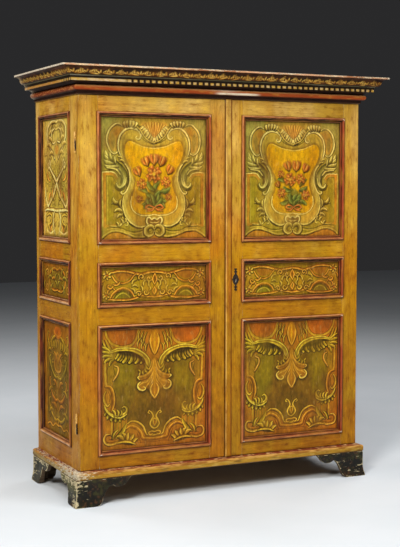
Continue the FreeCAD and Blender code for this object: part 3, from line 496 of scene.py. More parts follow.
def paint_material(name, axis, streak=0.5, gesso=(0.60, 0.47, 0.28), chip=0.62, chip_size=7.0, crack=0.0,
                   rough=(0.38, 0.60), dirt=0.35, fine=0.35, relief=0.0004, wormholes=0.0, spec=0.24, mottle=0.2):
    """Old paint on wood. The vertex colour "paint" is the colour, "wear" says where it is rubbed or chipped to the
    gesso, and "bare" says where there is none."""
    g = Graph(name)
    paint = g.attr("paint", "Color")
    wear, bare = g.attr("wear"), g.attr("bare")
    brush = g.noise(g.scale(g.coord, along(axis, 9, 330)), 1.0, 4.0, 0.6)
    hair = g.noise(g.scale(g.coord, along(axis, 2.2, 120)), 1.0, 3.0, 0.65)
    patch = g.noise(g.coord, 11.0, 4.0, 0.6)
    grainy = g.noise(g.coord, 420.0, 2.0, 0.6)
    col = g.mix(g.span(brush, 0.50, 0.78, 0.0, streak), paint, (0.55, 0.33, 0.13), "MULTIPLY")
    col = g.mix(g.span(brush, 0.22, 0.46, streak * 0.5, 0.0), col, (0.86, 0.66, 0.30), "SOFT_LIGHT")
    col = g.mix(g.span(hair, 0.45, 0.75, 0.0, fine), col, (0.60, 0.42, 0.22), "MULTIPLY")
    col = g.mix(g.span(patch, 0.42, 0.74, 0.0, dirt), col, (0.62, 0.44, 0.25), "MULTIPLY")
    cloud = g.noise(g.scale(g.coord, along(axis, 22, 70)), 1.0, 5.0, 0.68)
    col = g.mix(g.span(cloud, 0.50, 0.72, 0.0, mottle), col, (0.52, 0.36, 0.16), "MULTIPLY")
    col = g.mix(g.span(cloud, 0.28, 0.47, mottle * 0.75, 0.0), col, (1.0, 0.86, 0.52), "SOFT_LIGHT")
    speck = g.noise(g.scale(g.coord, along(axis, 5, 11)), 1.0, 3.0, 0.7)
    col = g.mix(g.span(speck, 0.62, 0.74, 0.0, mottle), col, (0.34, 0.20, 0.08), "MULTIPLY")
    col = g.mix(g.span(grainy, 0.35, 0.7, 0.0, 0.12), col, (0.4, 0.3, 0.2), "MULTIPLY")
    height = g.math("ADD", g.math("MULTIPLY", brush, 0.55), g.math("MULTIPLY", hair, 0.45))
    if crack:
        wob = g.noise(g.coord, 60.0, 3.0, 0.6, out="Color")
        at = g.add(g.scale(g.coord, along(axis, 14, 26)), g.scale(wob, (0.9, 0.9, 0.9)))
        line = g.span(g.voronoi(at, 1.0, "DISTANCE_TO_EDGE"), 0.0, 0.045, 1.0, 0.0)
        where = g.span(g.noise(g.coord, 16.0, 2.0), 0.38, 0.62, 0.15, 1.0)
        line = g.math("MULTIPLY", line, where)
        col = g.mix(g.math("MULTIPLY", line, crack), col, (0.10, 0.055, 0.02))
        height = g.math("SUBTRACT", height, g.math("MULTIPLY", line, 0.7 * crack))
    if wormholes:
        spots = g.voronoi(g.coord, 17.0, out="Distance")
        hole = g.math("MULTIPLY", g.span(spots, 0.018, 0.028, 1.0, 0.0),
                      g.span(g.noise(g.coord, 2.3, 1.0), 0.52, 0.60))
        col = g.mix(g.math("MULTIPLY", hole, wormholes), col, (0.035, 0.018, 0.008))
        height = g.math("SUBTRACT", height, g.math("MULTIPLY", hole, 3.0))
    # rubbed and chipped places
    ragged = g.noise(g.scale(g.coord, along(axis, chip_size, chip_size * 2.2)), 1.0, 5.0, 0.65)
    m = g.math("ADD", wear, g.math("MULTIPLY", g.math("SUBTRACT", ragged, 0.5), 1.25))
    chipped = g.span(m, chip, chip + 0.07)
    rim = g.math("SUBTRACT", g.span(m, chip - 0.10, chip - 0.01), chipped, clamp=True)
    under = g.mix(g.span(g.noise(g.coord, 90.0, 3.0), 0.40, 0.66), gesso, tuple(c * 0.62 for c in gesso))
    col = g.mix(g.math("MULTIPLY", rim, 0.45), col, (0.30, 0.17, 0.08), "MULTIPLY")
    col = g.mix(chipped, col, under)
    wcol, wheight = wood_color(g, axis)
    col = g.mix(bare, col, wcol)
    height = g.math("SUBTRACT", height, g.math("MULTIPLY", chipped, 1.3))
    r = g.span(patch, 0.3, 0.7, rough[0], rough[1])
    r = g.math("ADD", r, g.math("MULTIPLY", g.math("MAXIMUM", chipped, bare), 0.25), clamp=True)
    return g.set(color=col, rough=r, spec=spec, normal=g.bump(height, relief, 0.8))


def iron_material(name, base=(0.040, 0.034, 0.030), metal=0.75, rust=0.5, rough=(0.42, 0.68)):
    g = Graph(name)
    big = g.noise(g.coord, 55.0, 4.0, 0.6)
    small = g.noise(g.coord, 420.0, 3.0, 0.6)
    pit = g.voronoi(g.coord, 260.0)
    col = g.mix(g.span(big, 0.46, 0.70, 0.0, rust), base, (0.105, 0.042, 0.016))
    col = g.mix(g.span(small, 0.5, 0.8, 0.0, 0.45), col, tuple(min(1, c * 3.2) for c in base))
    h = g.math("ADD", g.math("MULTIPLY", big, 0.9), g.math("MULTIPLY", g.math("SUBTRACT", small, pit), 0.25))
    return g.set(color=col, metal=metal, rough=g.span(small, 0.3, 0.7, rough[0], rough[1]), normal=g.bump(h, 0.0006, 0.7))


# ---------------------------------------------------------------- colours
OCHRE = lin(208, 154, 18)
OCHRE_PALE = lin(228, 188, 100)
OCHRE_BROWN = lin(166, 100, 6)
OCHRE_ORANGE = lin(194, 116, 16)
OCHRE_OLIVE = lin(184, 142, 26)
TERRA = lin(172, 84, 44)
TERRA_DEEP = lin(132, 54, 28)
TERRA_PINK = lin(206, 146, 108)
CREAM = lin(222, 196, 150)
UMBER = lin(58, 36, 20)
NEAR_BLACK = lin(30, 28, 24)


DOOR_X = ((-706.5, -82.5), (90.0, 714.0))
SIDE_Y = ((-148.0, 328.0),)
FRAME_Z = {"door": ((238, 891), (976, 1201), (1289, 1942)), "side": ((271, 898), (983, 1207), (1292, 1945))}


def dirt_and_shade(p, seed):
    """Old dirt and varnish gathered on the frames beside the panel mouldings, together with painted shade, most of all
    below and to the right, on the side away from the light.
    """
    front, flank = p[:, 1] < -258, np.abs(p[:, 0]) > 795
    total = np.zeros(len(p))
    n1, n2 = noise(p, (34, 34, 34), seed + 51, 3), noise(p, (120, 120, 120), seed + 52, 2)
    for on, a, spans, kind in ((front, p[:, 0], DOOR_X, "door"), (flank & ~front, p[:, 1], SIDE_Y, "side")):
        for a0, a1 in spans:
            for z0, z1 in FRAME_Z[kind]:
                da, dz = np.maximum(a0 - a, a - a1), np.maximum(z0 - p[:, 2], p[:, 2] - z1)
                d = np.maximum(da, dz).clip(0)
                strong = np.where(dz > da, np.where(p[:, 2] < z0, 1.0, 0.40), np.where(a > a1, 0.85, 0.45))
                if kind == "side":
                    strong = np.where(dz > da, strong, np.where(a < a0, 0.85, 0.45))
                g = strong * (0.80 * np.exp(-d / 2.6) + 0.50 * np.exp(-d / 13.0) * smooth(n1, 0.30, 0.72) * (0.4 + n2))
                total = np.maximum(total, np.where(on, g, 0))
    # the doors' own edges, their top and the foot of the doors: dirt with painted shade in the gaps between parts
    x = np.abs(p[:, 0] - (-3.5))
    for d, s in ((np.abs(np.abs(p[:, 0]) - 806), 0.45), (x, 0.55), (p[:, 2] - 175, 0.55), (2019 - p[:, 2], 0.5)):
        total = np.maximum(total, np.where(front, s * (0.8 * np.exp(-d.clip(0) / 3.0) + 0.5 * np.exp(-d.clip(0) / 20.0) * smooth(n1, 0.35, 0.75)), 0))
    return np.clip(total, 0, 1)


DIRT_SHADE_LINES = {}
for _a, _v in ((0, [x for r in DOOR_X for x in r]), (1, [y for r in SIDE_Y for y in r]), (2, [z for r in FRAME_Z["door"] for z in r])):
    DIRT_SHADE_LINES[_a] = [v + d for v in _v for d in (-18, -9, -4.5, -2, 0, 2, 4.5, 9, 18)]
SIDE_LINES = {1: DIRT_SHADE_LINES[1], 2: [z + d for r in FRAME_Z["side"] for z in r for d in (-18, -9, -4.5, -2, 0, 2, 4.5, 9, 18)]}


def ochre(seed=0, pale=0.0, brown=0.0):
    """The ground colour of the frames: paler and creamier high up and browner towards the floor, partly as painted
    light falling from above, in soft patches, with dirt and painted shade beside the mouldings."""

    def look(p):
        h = smooth(p[:, 2], 250, 1950)
        a = noise(p, (190, 190, 420), seed + 11, 3)
        b = noise(p, (60, 60, 300), seed + 12, 2)
        c = noise(p, (300, 300, 260), seed + 13, 2)
        col = np.tile(OCHRE, (len(p), 1))
        # partly painted light: browner low down and paler high up, as the light falls from above
        col = blendc(col, OCHRE_BROWN, np.clip(0.80 * (1 - h) * (0.55 + 0.6 * a) + brown, 0, 1))
        col = blendc(col, OCHRE_PALE, np.clip(smooth(h, 0.58, 1.0) * (0.30 + 0.70 * smooth(b, 0.30, 0.75)) * 0.85 + pale, 0, 1))
        col = blendc(col, OCHRE_ORANGE, 0.60 * smooth(c, 0.48, 0.76))
        col = blendc(col, OCHRE_OLIVE, 0.60 * smooth(noise(p, (150, 150, 260), seed + 14, 3), 0.48, 0.74))
        col = blendc(col, lin(150, 88, 14), 0.40 * smooth(noise(p, (70, 70, 160), seed + 15, 3), 0.56, 0.80))
        col = blendc(col, lin(222, 178, 74), 0.30 * smooth(noise(p, (46, 46, 90), seed + 16, 3), 0.58, 0.80) * (0.3 + h))
        # dirt and painted shade darken the frame beside the mouldings and along the doors' edges
        col = blendc(col, lin(88, 46, 10), 0.85 * dirt_and_shade(p, seed))
        return col * (0.86 + 0.28 * a)[:, None]

    return look


def plain(color, seed=0, vary=0.15):
    def look(p):
        return np.asarray(color) * (1 + vary * (noise(p, 160, seed + 21, 3) - 0.5) * 2)[:, None]

    return look


OCHRE_Z = paint_material("ochre_paint_upright", 2, wormholes=0.9, streak=0.66, fine=0.62, dirt=0.44, mottle=0.86, spec=0.18)
OCHRE_X = paint_material("ochre_paint_across", 0, wormholes=0.9, streak=0.66, fine=0.62, dirt=0.44, mottle=0.86, spec=0.18)
OCHRE_Y = paint_material("ochre_paint_side_rails", 1, wormholes=0.9, streak=0.66, fine=0.62, dirt=0.44, mottle=0.86, spec=0.18)
BARE_X = bare_material("bare_wood_across", 0)
BARE_Y = bare_material("bare_wood_deep", 1)
BARE_Z = bare_material("bare_wood_upright", 2)
IRON = iron_material("wrought_iron")
IRON_RUBBED = iron_material("wrought_iron_rubbed", base=(0.16, 0.14, 0.125), metal=0.9, rust=0.25, rough=(0.30, 0.5))

# ---------------------------------------------------------------- doors and side frames: stiles and rails
RAIL_Z = {"door": [(175, 246), (883, 984), (1193, 1297), (1934, 2019)],
          "side": [(134, 279), (890, 991), (1199, 1300), (1937, 2022)]}
OPEN_Z = {"door": [(246, 883), (984, 1193), (1297, 1934)], "side": [(279, 890), (991, 1199), (1300, 1937)]}


def mm_box(node):
    a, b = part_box(node)
    return np.array(a) * 1000, np.array(b) * 1000


def cut_out(obj, boxes):
    """Cuts openings through a finished piece: each box is a closed outline pushed through along one axis."""
    for me in boxes:
        cutter = bpy.data.objects.new("cutter", me)
        bpy.context.scene.collection.objects.link(cutter)
        mod = obj.modifiers.new("cut", "BOOLEAN")
        mod.operation, mod.solver, mod.object = "DIFFERENCE", "EXACT", cutter
        bpy.context.view_layer.update()
        dg = bpy.context.evaluated_depsgraph_get()
        new = bpy.data.meshes.new_from_object(obj.evaluated_get(dg))
        obj.modifiers.clear()
        old = obj.data
        obj.data = new
        bpy.data.meshes.remove(old)
        bpy.data.objects.remove(cutter)
    obj.data.set_sharp_from_angle(angle=math.radians(40))


def prism(outline, a, b, axis):
    """A closed mesh from an outline (pairs, in the two other axes' order) between a and b along an axis."""
    others = [i for i in range(3) if i != axis]
    n = len(outline)
    pts = np.zeros((2 * n, 3))
    for k, v in enumerate((a, b)):
        pts[k * n:(k + 1) * n, others] = outline
        pts[k * n:(k + 1) * n, axis] = v
    side = np.array([[i, (i + 1) % n, (i + 1) % n + n, i + n] for i in range(n)])
    part = outward(Part(pts, [side, np.arange(n)[::-1][None, :], (np.arange(n) + n)[None, :]]))
    me = bpy.data.meshes.new("outline")
    me.from_pydata([tuple(p / 1000) for p in part.verts], [], [tuple(int(i) for i in r) for f in part.faces for r in f])
    me.update()
    return me


def door_frame(side, hinge_x, seed):
    body = side + "_door"
    for k, which in enumerate(("hinge", "meeting")):
        node = "%s_door_%s_stile" % (side, which)
        lo, hi = mm_box(node)
        obj = make(node + "_paint", [board(lo, hi, ochre(seed + k), r=1.5, seed=seed + 10 + k, painted=("-Y", "-X", "+X", "-Z", "+Z"),
                                           lines=DIRT_SHADE_LINES)], body, [node], OCHRE_Z)
        if node == "right_door_meeting_stile":
            ring = [(58 + 4.6 * math.cos(t), 1097 + 4.6 * math.sin(t)) for t in np.radians(np.linspace(-55, 235, 20))]
            ring += [(58 - 2.6, 1081.6), (58 + 2.6, 1081.6)]
            cut_out(obj, [prism(ring, -270, -230, 1)])
    x0, x1 = (-698.5, -90.5) if side == "left" else (98.0, 706.0)
    # the top rail is painted paler and the two lowest rails browner, partly as painted light from above
    rails = [board((x0, -266, z0), (x1, -234, z1), ochre(seed + 20 + i, pale=0.12 if i == 3 else 0, brown=0.08 if i < 2 else 0),
                   r=0.9, seed=seed + 30 + i, painted=("-Y", "-Z", "+Z"), grain=0, lines=DIRT_SHADE_LINES)
             for i, (z0, z1) in enumerate(RAIL_Z["door"])]
    make(side + "_door_rails_paint", rails, body, [side + "_door_rails"], OCHRE_X)


def side_frame(side, seed):
    out = "-X" if side == "left" else "+X"
    for k, which in enumerate(("front", "rear")):
        node = "%s_side_%s_stile" % (side, which)
        lo, hi = mm_box(node)
        make(node + "_paint", [board(lo, hi, ochre(seed + k, pale=0.1), r=1.3, seed=seed + 10 + k, painted=(out, "-Y") if k == 0 else (out,),
                                     lines=SIDE_LINES)], "case", [node], OCHRE_Z)
    xa, xb = (-800, -774) if side == "left" else (774, 800)
    rails = [board((xa, -140, z0), (xb, 320, z1), ochre(seed + 20 + i, brown=0.1), r=0.8, seed=seed + 30 + i, painted=(out,), grain=1,
                   lines=SIDE_LINES)
             for i, (z0, z1) in enumerate(RAIL_Z["side"])]
    make(side + "_side_rails_paint", rails, "case", [side + "_side_rails"], OCHRE_Y)


door_frame("left", -806, 100)
door_frame("right", 806, 200)
side_frame("left", 300)
side_frame("right", 400)

# ---------------------------------------------------------------- panel mouldings
MOULD = [(8, 0), (26, 0), (26, 4), ("arc", (23.4, 9.2), (19.6, 7.0)), (19.2, 6.4), (18.6, 11.5), (17, 14.2), ("arc", (9.5, 22), (2, 15)), (0, 15), (0, 12), (8, 12)]
M_PTS, M_ZONE = soften(*run_profile(MOULD, 1.0), 0.35)
# colours across a bar, from its outer edge (0) to the panel (26): the bars are worn differently, and they carry painted
# light and shade as well: faces turned up and towards the light are painted paler, those turned away darker, and the
# top bar near-black under its crest as painted shade
BAR_TONES_LIT_AND_SHADED = {
    "foot": ((0, (70, 32, 12)), (2.5, (100, 42, 18)), (6, (160, 84, 42)), (9.5, (206, 146, 88)), (12, (166, 90, 46)), (15.5, (150, 76, 36)), (17.5, (84, 34, 14)),
             (19.5, (88, 38, 16)), (20.5, (160, 86, 42)), (23, (196, 130, 74)), (25.2, (120, 58, 24)), (26, (56, 28, 12))),
    "side_foot": ((0, (96, 44, 18)), (2.5, (140, 70, 34)), (6, (214, 158, 108)), (9.5, (240, 198, 152)), (12, (222, 170, 118)), (15.5, (198, 134, 78)), (17.5, (110, 52, 20)),
                  (19.5, (110, 54, 22)), (20.5, (206, 148, 96)), (23, (230, 182, 132)), (25.2, (146, 80, 34)), (26, (64, 32, 14))),
    "red": ((0, (74, 32, 10)), (3, (92, 36, 14)), (6.5, (130, 52, 22)), (8.5, (192, 108, 60)), (11, (168, 72, 34)), (15.5, (158, 62, 28)), (17.5, (76, 28, 10)),
            (19.5, (84, 32, 12)), (21, (168, 78, 38)), (23, (188, 106, 56)), (25.2, (104, 44, 16)), (26, (54, 26, 10))),
    "head": ((0, (120, 50, 22)), (1.8, (150, 74, 38)), (3, (222, 168, 108)), (5.5, (200, 136, 80)), (7.5, (146, 74, 38)), (10, (84, 34, 14)), (12, (56, 22, 10)), (16, (32, 12, 6)),
             (17.5, (24, 10, 5)), (19.5, (30, 13, 7)), (21, (118, 74, 42)), (23, (164, 114, 70)), (25.2, (70, 36, 18)), (26, (30, 16, 8))),
    "dark": ((0, (98, 38, 16)), (1.8, (118, 48, 22)), (3.4, (206, 142, 84)), (7, (184, 110, 58)), (10, (180, 106, 56)), (12, (116, 46, 20)), (16, (88, 32, 12)), (17.5, (46, 16, 6)),
             (19.5, (52, 22, 8)), (21, (140, 78, 38)), (23, (172, 106, 56)), (25.2, (84, 40, 16)), (26, (40, 20, 8))),
}


def bar_paint(look, u):
    at, rgb = zip(*BAR_TONES_LIT_AND_SHADED[look])
    table = np.array([lin(*c) for c in rgb])
    return np.column_stack([np.interp(u, at, table[:, c]) for c in range(3)])


def moulding_loop(place, lo, hi, seed, looks):
    """Four mitred bars round an opening. lo and hi are the outer edges in the panel's plane; place(a, b, w) puts a
    point there; looks names the paint of the bottom, right, top and left bars."""
    corners = [(lo[0], lo[1]), (hi[0], lo[1]), (hi[0], hi[1]), (lo[0], hi[1])]
    parts = []
    for k in range(4):
        a, b = np.array(corners[k], float), np.array(corners[(k + 1) % 4], float)
        length = np.linalg.norm(b - a)
        e = (b - a) / length
        n = np.array([-e[1], e[0]])
        count = max(8, int(length / (6)))
        st = np.linspace(0, 1, count + 1)
        lin_seed = seed + 13 * k

        def at(t, sec):
            u, w = sec[:, 0], sec[:, 1]
            s = np.clip(t, 0.00025, 0.99975)
            p = a + e * (u + s * (length - 2 * u))[:, None] + n * u[:, None]
            w = w - 0.35 * smooth(w, 3, 12) * noise(np.column_stack([p, w * 3]), (120, 120, 40), lin_seed, 2)
            return place(p[:, 0], p[:, 1], w)

        pts, faces = sweep(M_PTS, st, at)
        u = np.tile(M_PTS[:, 0], len(st))
        w = np.tile(M_PTS[:, 1], len(st))
        s = np.repeat(st, len(M_PTS)) * length
        q = np.column_stack([s, u * 4, w * 4])
        n1, n2 = noise(q, (70, 30, 30), lin_seed + 1, 3), noise(q, (26, 12, 12), lin_seed + 2, 2)
        # pale: how much of the pale worn tone each bar takes; the bars turned up and towards the light take most,
        # partly as painted light
        pale = {"foot": 1.0, "side_foot": 1.0, "head": 0.7, "dark": 0.3, "red": 0.35}[looks[k]]
        col = bar_paint(looks[k], u + 1.1 * (n2 - 0.5))
        col = blendc(col, lin(136, 54, 20), 0.50 * smooth(n1, 0.46, 0.74))
        col = blendc(col, lin(214, 156, 88), 0.40 * pale * smooth(n2, 0.52, 0.78) * smooth(w, 8, 14))
        col = blendc(col, lin(62, 30, 12), 0.55 * smooth(noise(q, (40, 14, 14), lin_seed + 3, 3), 0.52, 0.78))
        col = blendc(col, lin(196, 138, 40), 0.35 * smooth(noise(q, (90, 40, 40), lin_seed + 4, 2), 0.50, 0.75))
        crest = np.exp(-((u - 8.5) / 4.2) ** 2) * smooth(w, 17, 21.5)
        lip = np.exp(-((u - 1.0) / 1.6) ** 2) * smooth(w, 13, 15)
        inner = np.exp(-((u - 23.0) / 1.8) ** 2) * smooth(w, 6, 8)
        # painted shade: a dark line on the outer lip where the moulding meets the frame
        low = np.exp(-(w - 12) / 1.0) * (u < 1.5)
        col = blendc(col, lin(60, 30, 12), np.clip(0.85 * low, 0, 1))
        end = np.exp(-np.minimum(s - u, length - s - u).clip(0) / 9.0)
        wear = np.clip(0.34 * crest * (0.3 + 0.9 * pale) * smooth(n1, 0.42, 0.75) + 0.56 * end * crest + 0.26 * lip * n2 * pale + 0.26 * inner * pale * n2, 0, 1)
        hidden = (w < 0.3) | ((u > 7.2) & (u < 8.6) & (w < 12.3)) | ((w < 12.2) & (u < 8.6))
        parts.append(outward(Part(pts, faces, paint=col, wear=np.where(hidden, 0, wear), bare=np.where(hidden, 1.0, 0.0))))
    return parts


MOULD_MAT = paint_material("moulding_paint", 2, streak=0.25, gesso=(0.66, 0.50, 0.36), chip=0.60, chip_size=4.0, dirt=0.45, fine=0.2,
                           rough=(0.34, 0.55), relief=0.0003)


def mouldings(kind, side, seed):
    if kind == "door":
        x0, x1 = (-706.5, -82.5) if side == "left" else (90.0, 714.0)
        rows = [(238, 891), (976, 1201), (1289, 1942)]
        put = lambda a, b, w: np.column_stack([a, np.full(len(a), -254.0) - w, b])
        body = side + "_door"
    else:
        x0, x1 = -148.0, 328.0
        rows = [(271, 898), (983, 1207), (1292, 1945)]
        sg = -1 if side == "left" else 1
        put = lambda a, b, w: np.column_stack([sg * (788.0 + w), a, b])
        body = "case"
    parts = []
    for i, (z0, z1) in enumerate(rows):
        # bottom, right, top, left in the loop's order
        parts += moulding_loop(put, (x0, z0), (x1, z1), seed + 50 * i, ("foot", "red", "head", "dark") if kind == "door" else ("side_foot", "dark", "head", "red"))
    node = "%s_%s_panel_mouldings" % (side, kind)
    make(node + "_paint", parts, body, [node], MOULD_MAT, sharp=32)


for s, sd in (("left", 500), ("right", 700)):
    mouldings("door", s, sd)
    mouldings("side", s, sd + 1000)

# ---------------------------------------------------------------- cornice
def cornice_spec(deep):
    return [(109, 0), (deep, 0), (deep, 34), (128, 34), (45, 134), (0, 134), (0, 125), (14, 122),
            ("arc", (22, 120), (27, 114)), (32, 102), ("arc", (37, 91), (44, 87)), (48, 87), (54, 85), (54, 76),
            (60, 75), (60, 58), (64, 57), ("arc", (88, 55), (98, 48)), (102, 46), ("arc", (88.5, 31), (104, 15)), (109, 12)]


CORN_STEP = [4, 16, 12, 14, 16, 6, 2.2, 3, 2.2, 2.2, 2.2, 2, 2.2, 2.4, 2.5, 2.6, 2, 3, 2, 2.4, 3]


def leafy(s, b, seed, size=1.0):
    """The painted leaf border: fans of strokes in the lower part of the band. s runs along it in mm, b 0 to 1 up it.
    Returns leaf, light and vein masks."""
    pitch = 69.0 * size
    k = np.floor(s / pitch).astype(int)
    x, y = s - k * pitch, b * 44.0
    rs = np.random.RandomState(seed).rand(64, 8, 4)
    r = rs[np.mod(k, 64)]
    leaf, light, vein = np.zeros(len(s)), np.zeros(len(s)), np.zeros(len(s))
    for j, (cx, cy, long, wide, ang) in enumerate(((12, 16, 13, 6.0, 38), (22, 20, 15, 6.4, 56), (33, 22, 17, 7.0, 82), (44, 20, 14, 6.4, 112), (54, 15, 12, 5.6, 138),
                                                   (65, 19, 11, 5.4, 84), (33, 7, 22, 4.2, 2))):
        cx, cy = cx * size + 5 * (r[:, j, 0] - 0.5), cy + 6 * (r[:, j, 1] - 0.5)
        t = np.radians(ang + 34 * (r[:, j, 2] - 0.5))
        f = (0.75 + 0.5 * r[:, j, 3]) * (size if j == 6 else 1)
        dx, dy = x - cx, y - cy
        p, q = (dx * np.cos(t) + dy * np.sin(t)) / (long * f), (-dx * np.sin(t) + dy * np.cos(t)) / (wide * f)
        d = p * p + q * q
        m = smooth(1.15 - d, 0.0, 0.5)
        gap = smooth(1.9 - d, 0.0, 0.6) * (1 - m)
        leaf, light, vein = leaf * (1 - 0.7 * gap), light * (1 - gap), vein * (1 - m) * (1 - gap)
        leaf = np.maximum(leaf, m * (0.55 + 0.45 * r[:, j, 3]))
        light = np.maximum(light, smooth(0.8 - ((p - 0.15) ** 2 + (q - 0.25) ** 2 * 1.6), 0.0, 0.5) * (0.25 + 0.75 * r[:, j, 0]))
        vein = np.maximum(vein, 0.8 * gap)
    return leaf, light, np.clip(vein, 0, 1)


def cornice_paint(sec, zone, s, place_len, seed, front):
    """Colours and relief of the cornice's bands. s is the distance along it, from the left or the front corner."""
    u, w = sec[:, 0], sec[:, 1]
    q = np.column_stack([s, u * 1.5, w * 1.5])
    n1, n2, n3 = noise(q, (150, 40, 40), seed, 3), noise(q, (34, 14, 14), seed + 1, 3), noise(q, (11, 7, 7), seed + 2, 2)
    col = np.tile(lin(70, 48, 30), (len(u), 1))
    wear = np.zeros(len(u))
    bare = np.zeros(len(u))
    lift = np.zeros(len(u))
    inner = (zone >= 1) & (zone <= 4)
    bare[inner] = 1.0
    top = zone == 5
    bare[top] = smooth(u[top], 1, 10)
    col[top] = lin(150, 112, 74)
    f = zone == 6
    col[f] = blendc(blendc(lin(216, 164, 126), lin(150, 88, 48), 0.8 * smooth(n1, 0.46, 0.68)), lin(236, 206, 160), 0.75 * smooth(n2, 0.46, 0.66))[f]
    wear[f] = (0.30 + 0.45 * n2 + 0.35 * np.exp(-(134 - w) / 1.5))[f]
    if not front:
        col[f] = blendc(col, lin(232, 222, 204), 0.75)[f]
        wear[f] += 0.2
    # the underside below the top fillet is painted dark, as painted shade
    f = zone == 7
    col[f] = lin(62, 34, 20)
    f = (zone >= 8) & (zone <= 10)
    b = (w - 87) / 36.0
    leaf, light, vein = leafy(s + 2.0 * (n1 - 0.5), b + 0.06 * (n2 - 0.5), seed, 1.0 if front else 0.8)
    thin = 1.0 - 0.55 * smooth(noise(q, (420, 300, 300), seed + 5), 0.58, 0.80)
    ground = blendc(blendc(lin(124, 68, 24), lin(72, 50, 20), smooth(n1, 0.35, 0.65)), lin(50, 26, 12), smooth(n2, 0.38, 0.7))
    band = blendc(ground, blendc(lin(206, 142, 40), lin(166, 104, 24), n2), leaf * thin)
    band = blendc(band, lin(252, 208, 104), 0.95 * light * thin * smooth(n3, 0.10, 0.40))
    band = blendc(band, lin(44, 22, 10), 0.66 * vein * thin)
    # painted shade on the leaf band: darker at its foot and under the fillet at its top
    low = np.exp(-(w - 87) / 3.0)
    band = blendc(band, lin(40, 24, 14), 0.6 * low)
    band = blendc(band, lin(52, 24, 12), 0.55 * smooth(w, 110, 119))
    col[f] = band[f]
    lift[f] = (0.7 * leaf * thin)[f]
    wear[f] = (0.18 * n1 + 0.10 * light)[f]
    # the step under the leaf band: the grey-green and pale lines along its edges are painted highlights, the pale one
    # brightest at the front-left corner, and the rest is painted dark as painted shade under the leaf band
    f = (zone == 11) | (zone == 12)
    col[f] = blendc(lin(52, 34, 22), lin(150, 142, 100), smooth(u, 49, 53.5) * 0.85)[f]
    wear[f] = (0.30 * n2)[f]
    f = (zone == 13) | (zone == 14)
    pale = blendc(lin(104, 98, 64), lin(214, 208, 186), np.clip(np.exp(-s / 340.0) + 0.5 * smooth(noise(q, (120, 40, 40), seed + 9, 3), 0.56, 0.7), 0, 1)) if front else lin(120, 116, 84)
    col[f] = blendc(lin(40, 28, 18), pale, 0.85 * smooth(w, 81, 84))[f]
    wear[f] = (0.26 * smooth(w, 82, 85) * n2)[f]
    # yellow blocks on a dark strip
    f = (zone == 15) | (zone == 16)
    t = np.mod(s + 2.0 * (n1 - 0.5), 32.0)
    block = smooth(t, 0.0, 2.6) * (1 - smooth(t, 18.5, 21.0))
    if front:
        block = np.maximum(block, 1 - smooth(s, 330, 372))
        block = np.maximum(block, 0.9 * smooth(noise(q, (95, 300, 300), seed + 8), 0.80, 0.86))
    else:
        block = np.maximum(block, smooth(s, 170, 200))
    edge = smooth(w, 58.5, 60.5) * (1 - smooth(w, 71.0, 73.0))
    yellow = blendc(blendc(lin(222, 180, 88), lin(190, 146, 52), n2), CREAM, 0.75 * smooth(n3, 0.45, 0.7))
    if front:
        yellow = blendc(yellow, lin(240, 214, 176), 0.8 * np.exp(-((s - 250) / 90.0) ** 2) * smooth(n3, 0.2, 0.5))
    else:
        yellow = blendc(yellow, lin(186, 118, 44), 0.6 * smooth(s, 100, 300))
    col[f] = blendc(lin(48, 32, 20), yellow, block * edge)[f]
    lift[f] = (1.2 * block * edge)[f]
    wear[f] = (0.20 * block * n2)[f]
    # the cove under the blocks is painted near-black, as painted shade in the recess
    f = (zone == 17) | (zone == 18)
    col[f] = blendc(lin(30, 18, 11), lin(60, 32, 18), n2 * smooth(u, 70, 95))[f]
    # the half round, with painted shade on its lower part and, on the front, a painted highlight along its top that is
    # brightest towards the left
    f = zone == 19
    c = blendc(lin(196, 92, 36), lin(150, 60, 22), n1)
    c = blendc(c, lin(200, 138, 52), 0.55 * smooth(n2, 0.52, 0.74))
    if front:
        c = blendc(c, lin(246, 186, 120), 0.90 * smooth(w, 34, 40) * np.clip(np.exp(-s / 900.0) + smooth(n2, 0.14, 0.44) * 0.5, 0, 1))
        c = blendc(c, lin(228, 150, 90), 0.5 * smooth(w, 28, 38) * np.exp(-s / 700.0))
    else:
        c = blendc(c, lin(120, 46, 22), 0.7)
        c = blendc(c, lin(214, 150, 84), 0.7 * smooth(n3, 0.50, 0.66))
    c = blendc(c, lin(60, 24, 20), smooth(-w, -23, -15))
    col[f] = c[f]
    wear[f] = (0.22 * smooth(w, 34, 42) * n2)[f]
    if front:
        patch = np.exp(-((s - 972) / 118.0) ** 8) * smooth(w, 17.5, 19.5) * (1 - smooth(w, 27, 30))
        col[f] = blendc(col, lin(252, 236, 208), np.clip(1.25 * patch, 0, 1) * smooth(n3, 0.02, 0.25))[f]
        patch2 = np.exp(-((s - 905) / 62.0) ** 2) * smooth(w, 32, 36)
        col[f] = blendc(col, lin(250, 220, 190), 0.8 * patch2)[f]
    # painted shadow: the fillet and strip under the half round are painted near-black, the shadow line over the doors
    f = (zone == 20) | (zone == 0)
    col[f] = blendc(lin(24, 13, 8), lin(58, 30, 16), n2)[f]
    # rear ends of the returns, and the mitres, are rubbed to the gesso
    if not front:
        tail = np.exp(-(place_len - s) / 26.0)
        col = blendc(col, lin(226, 208, 176), np.where((zone >= 6), 0.75 * tail * smooth(n3, 0.2, 0.5), 0))
        wear += np.where(zone >= 6, 0.45 * tail, 0)
    corner = np.exp(-s / 16.0) + (np.exp(-(place_len - s) / 16.0) if front else 0)
    wear += np.where((zone >= 6) & (zone != 17), 0.30 * corner, 0)
    return col, np.clip(wear, 0, 1), bare, lift


